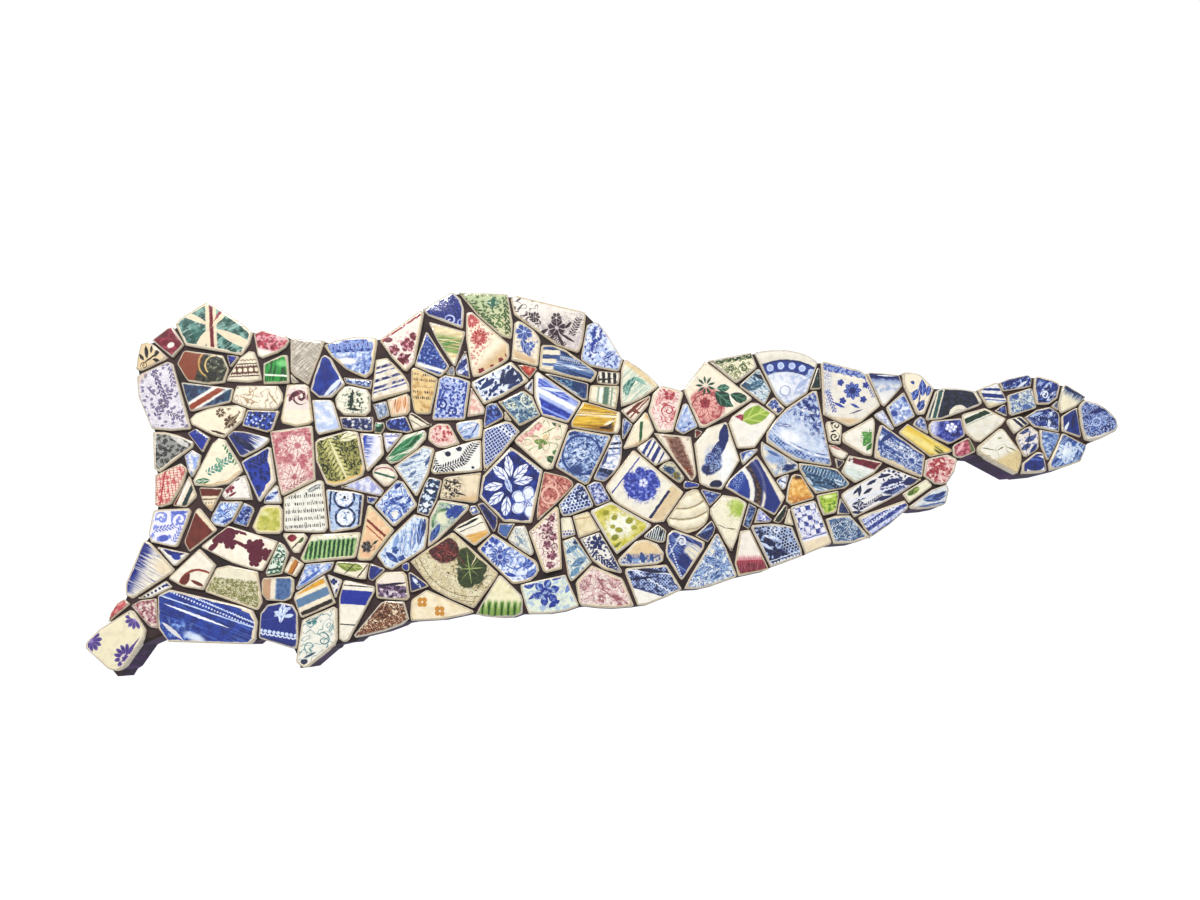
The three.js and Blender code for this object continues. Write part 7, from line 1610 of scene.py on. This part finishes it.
shard(49, 21, "eee2cc", band("a87f6c", 47, 24, 8, -68, 0.4),
    speckle("8f5f4c", 0.8, 0.4, inside=band("", 47, 24, 8.6, -68, 0.3)),
    mottle("7f4f40", 2.2, 0.52, 3, inside=band("", 48, 22, 6, -68, 0.4)),
    flower("8f4630", 51.6, 11.6, 3.4, 6, second="cf8f70"), leaf("b09078", 36, 33, 46, 31, 1.6))
shard(55, 3, "2450b0", mottle("4a70c4", 2, 0.56, 2))
shard(67, -4, "6f88c4", mottle("3f5aa4", 2, 0.52, 2), mottle("b6c4e0", 1.8, 0.56, 5),
    leaf("3f5aa4", 63, -2, 70, -5, 2))
shard(54, -13, "efe6cc", mottle("e4d8b8", 5, 0.52, 3), mark("arc", "a8986f", 49, 9, 20.2, width=0.026, soft=0.02),
    mark("arc", "a8986f", 49, 9, 26.6, width=0.02, soft=0.016),
    mark("arc", "b9ab88", 49, 9, 33, width=0.016, soft=0.014), relief=bars_at, step=1.1)
shard(78, -18, "efe8cf", patch("b9cc5c", 82.4, -10.4, 4.4, 5, 0, 0.5), patch("9cb83c", 84, -12, 2.6, 3.6, 0, 0.5),
    mottle("a9c04a", 2, 0.54, 2, inside=spot(82, -11, 6, 7, 0, 0.4)), *several(leaf, "8a6f54",
    (70, -20.4, 76, -23, 0.7), (75.4, -22.8, 82, -23.6, 0.7)), speckle("cfc68a", 1.2, 0.24, amount=0.7))
shard(90, -15, "46639c", mottle("8fa9cc", 2, 0.53, 3), mottle("22407c", 1.8, 0.56, 5))
shard(97, -17, "b9bce0", flower("eceef6", 98, -17.6, 2.6, 5, 10, "7f88cc"), mottle("6a78c4", 1.8, 0.54, 4),
    leaf("4a5ab0", 94, -19, 99, -18.8, 1.6))
shard(107, -33, "142f78", mottle("0d2260", 2.4, 0.52, 4), mark("honeycomb", "c4d3ec", 0, 0, 1.9, 1.9, 20, line=0.09,
    dot=0.22, second="dfe8f5", inside=beyond(106, -32, -40, 2)), scroll("e3eaf5", 105.6, -23.6, 3.4, 1.4, 40, 0.2),
    leaf("dfe8f5", 98, -27, 108, -29.6, 2.2), leaf("c4d2ec", 96, -31, 104, -36, 1.8), foliage("a9bce2", 2.2, 0.56, 3),
    beads("dfe8f5", 112, -41.4, 2.1, 19, 0.34), band("dfe8f5", 112, -39.4, 0.5, 19),
    band("0f2868", 112.2, -43.4, 1.4, 19))
shard(90, -38, "efe6d9", field("d99a9c", 90, -40, 182, 1.6), field("a03050", 90, -43.4, 182, 1.2),
    mottle("7c1836", 2.2, 0.5, 3, inside=beyond(90, -43.6, 182, 0.8)),
    mark("scallops", "b8405c", 91, -42, 3.2, 2.6, 182, width=0.3),
    brushed("c87080", 2.2, 0.9, 86, 0.55, 5, inside=beyond(90, -39.6, 182, 1.4)))
shard(68, -45, "dfe4e4", leaf("4a70b0", 62, -40, 76, -47, 5, "b4c8e2"),
    leaf("5f84bc", 55, -52, 66, -46, 4.6, "c4d4e8"), leaf("4a70b0", 68, -32, 74, -42, 4, "b4c8e2"),
    leaf("3f66a8", 66, -54, 74, -48, 4, "b4c8e2"), leaf("6f92c4", 72, -50, 78, -42, 3.6, "c9d8ea"),
    curls("5278b4", 3, 0.12, 3), foliage("4a70b0", 2.8, 0.6, 5, second="c4d4e8"),
    patch("e9e3cc", 66, -36, 3.4, 2.6, 30, 0.4), mottle("9cb4d4", 2.4, 0.56, 6))
shard(64, -24, "1f3a7c", leaf("8fa6d0", 60, -26, 68, -22, 1.6), mottle("3a5a9c", 2, 0.56, 2))
shard(95, 3, "2f58b0", speckle("9cb6e2", 0.8, 0.32, inside=beyond(84, 2, 62, 2)),
    mark("arc", "f0ece2", 71, -1, 20.6, width=0.07, soft=0.02),
    mark("arc", "4a2c20", 71, -1, 24.4, width=0.09, soft=0.06),
    mottle("8a6a54", 2, 0.54, 3, inside=mark("arc", "", 71, -1, 24.6, width=0.07, soft=0.03)),
    mark("arc", "e6dcc6", 71, -1, 28, width=0.03, soft=0.03),
    mark("arc", "1f449c", 71, -1, 31.4, width=0.075, soft=0.02), field("1f449c", 100, -4, -62, 0.6, amount=0.8),
    field("e9dfc6", 103.6, 2.4, -62, 0.5))
shard(110, 6, "ebeef2", field("3f66b8", 108.4, 6, 62, 0.4), band("1f3a86", 109.4, 5.6, 0.8, -28),
    mottle("8fa9da", 1.8, 0.58, 3))
shard(119, 0, "e3ab4c", patch("3a2a22", 118, 8.4, 3.6, 1.9, -10, 0.3),
    mottle("8a5a24", 2, 0.6, 3, inside=beyond(118, 6, 0, 1)), field("d0882c", 120, -4, 184, 2),
    speckle("b8742a", 0.7, 0.32, amount=0.7), mottle("f0c87c", 3, 0.54, 5))
shard(132, 8, "1c4670", mottle("0f2f54", 2.4, 0.52, 4),
    lattice("c4d6e4", 1.9, 400, -22, 0.15, inside=band("", 132, 11, 4.6, -20, 0.1)), *several(leaf, "dfe9f0",
    (124, 2, 138, 0, 2.4), (140, 6, 147, 3, 3, "4a78a4")), brushed("5f8cae", 3, 1, -16, 0.52, 3),
    leaf("b4cadc", 123, 8, 128, 3, 2), mottle("8fb0cc", 1.6, 0.6, 6))
shard(108, -14, "1f4a30", mottle("123420", 2, 0.5, 3), patch("5f8c6a", 108.6, -12, 0.7, 2, -20, 0.5))
shard(113, -16, "ece0c0")
shard(127, -22, "eceaee", mark("check", "4458ac", 0, 0, 3, 3, 14, inside=beyond(127, -27.4, 16, 0.3)),
    mottle("dfe0ea", 3, 0.54, 3, inside=beyond(127, -27, 16)), band("6f80c4", 128, -27.8, 0.8, 16),
    field("ead9b8", 128, -29.6, 196, 0.3), mottle("8f9cd2", 1.6, 0.62, 5, inside=beyond(127, -26, 16)))
shard(138, -7, "a4c02c", brushed("c9dc6a", 3, 1.2, 8, 0.52, 3), mottle("6f9a1c", 2.4, 0.54, 2),
    patch("dfea9c", 137, -4, 3, 1, 6, 0.5), lip("e2dca4", 1.4, inside=beyond(138, -11, 180)))
shard(146, -11, "27457c", mottle("4a6ca4", 1.8, 0.55, 2))
shard(168, -1, "e6e4e2", *several(leaf, "1f2f70", (152, -2.6, 157, 2.4, 1.8), (155.6, -4, 156.6, 3.4, 2),
    (158, -2.4, 164, 1.6, 2), (160, 3, 166.6, 6.6, 2), (152, -6, 160, -4.6, 1.6)), *several(leaf, "223478",
    (151, -9, 161, -9.4, 5.4, "e6e4e2"), (155.4, -13.6, 156.6, -5.4, 2.6, "e6e4e2"), (150.6, -13, 162, -14, 2)),
    patch("2a418c", 175.6, 2.4, 7.4, 4.4, 18, 0.12), mark("scallops", "dfe4f0", 175, 0.6, 2.4, None, 18, width=0.2),
    leaf("dfe4f0", 170, 1, 183, 5.6, 1), band("dfe4f0", 176, 3.6, 0.6, 18, inside=spot(175.6, 2.4, 7, 4)),
    patch("1f3480", 186.6, 5.6, 4.6, 2.4, 18, 0.12), leaf("1f3480", 164, -6.6, 176, -3, 2.4),
    leaf("1f2f70", 166.6, 7.6, 175, 9.6, 2), sprig("1f2f70", 160, -9, 170, -3, 2.8, 8),
    foliage("2a3f88", 2.2, 0.55, 4, inside=beyond(172, -1, -60, 3)),
    lattice("8fa0cc", 1.3, 1.3, 18, 0.14, inside=spot(181, 0, 6, 2, 18)))
shard(170, -17, "c9cfe4", band("3a50a4", 171, -15, 5.2, 34, 0.1),
    mark("scallops", "dfe3f2", 170, -16.2, 2.7, None, 34, width=0.18), beads("dfe3f2", 171, -13.4, 1.7, 34, 0.3),
    band("dfe3f2", 172.4, -18, 0.6, 34), band("5468b4", 174, -19.8, 1.6, 34, 0.2),
    beads("3a50a4", 168, -11, 1.4, 34, 0.34), mottle("8f9cd0", 2, 0.57, 3),
    lip("ebe2d0", 1.8, inside=beyond(166, -14, 20)))
shard(190, 0, "ebe6c8", leaf("7f9a34", 185, -1.6, 192, 1.4, 4.6, "b4c46c"),
    patch("6a8a2a", 186.6, -2, 2, 1.4, 20, 0.3), leaf("4f7024", 185.4, -3.4, 190, 2.4, 0.8))
shard(198, -6, "d9dcdc", mottle("b9c2cc", 3, 0.54, 3), leaf("3f62a6", 194, -6, 208, -3, 4.6, "8fa9d2"),
    leaf("2f5298", 200, -5, 208.4, -0.6, 2.4), band("5f7db4", 200, -8.4, 0.9, 10), band("8fa4c4", 197, -9.8, 0.7, 8),
    field("e9e4d6", 190, -8.6, 140, 2))
shard(149, -24, "5a82ac", mark("honeycomb", "d2dde4", 0, 0, 1.1, 1.1, 14, line=0.12, dot=0.24, second="e6ecf0",
    inside=spot(152, -18, 8, 5, -10, 0.3)), *several(leaf, "1c4c84", (139, -22, 149, -17.6, 4, "8fb0cc"),
    (143, -28, 152, -22, 4.4, "8fb0cc"), (153, -28, 160, -22, 3.6, "8fb0cc")), leaf("24568c", 138, -27, 144, -24, 3),
    foliage("1c4c84", 2.4, 0.6, 4, second="a9c2d4"), speckle("dfe8ec", 0.9, 0.34), mottle("2f6296", 2.2, 0.57, 5))
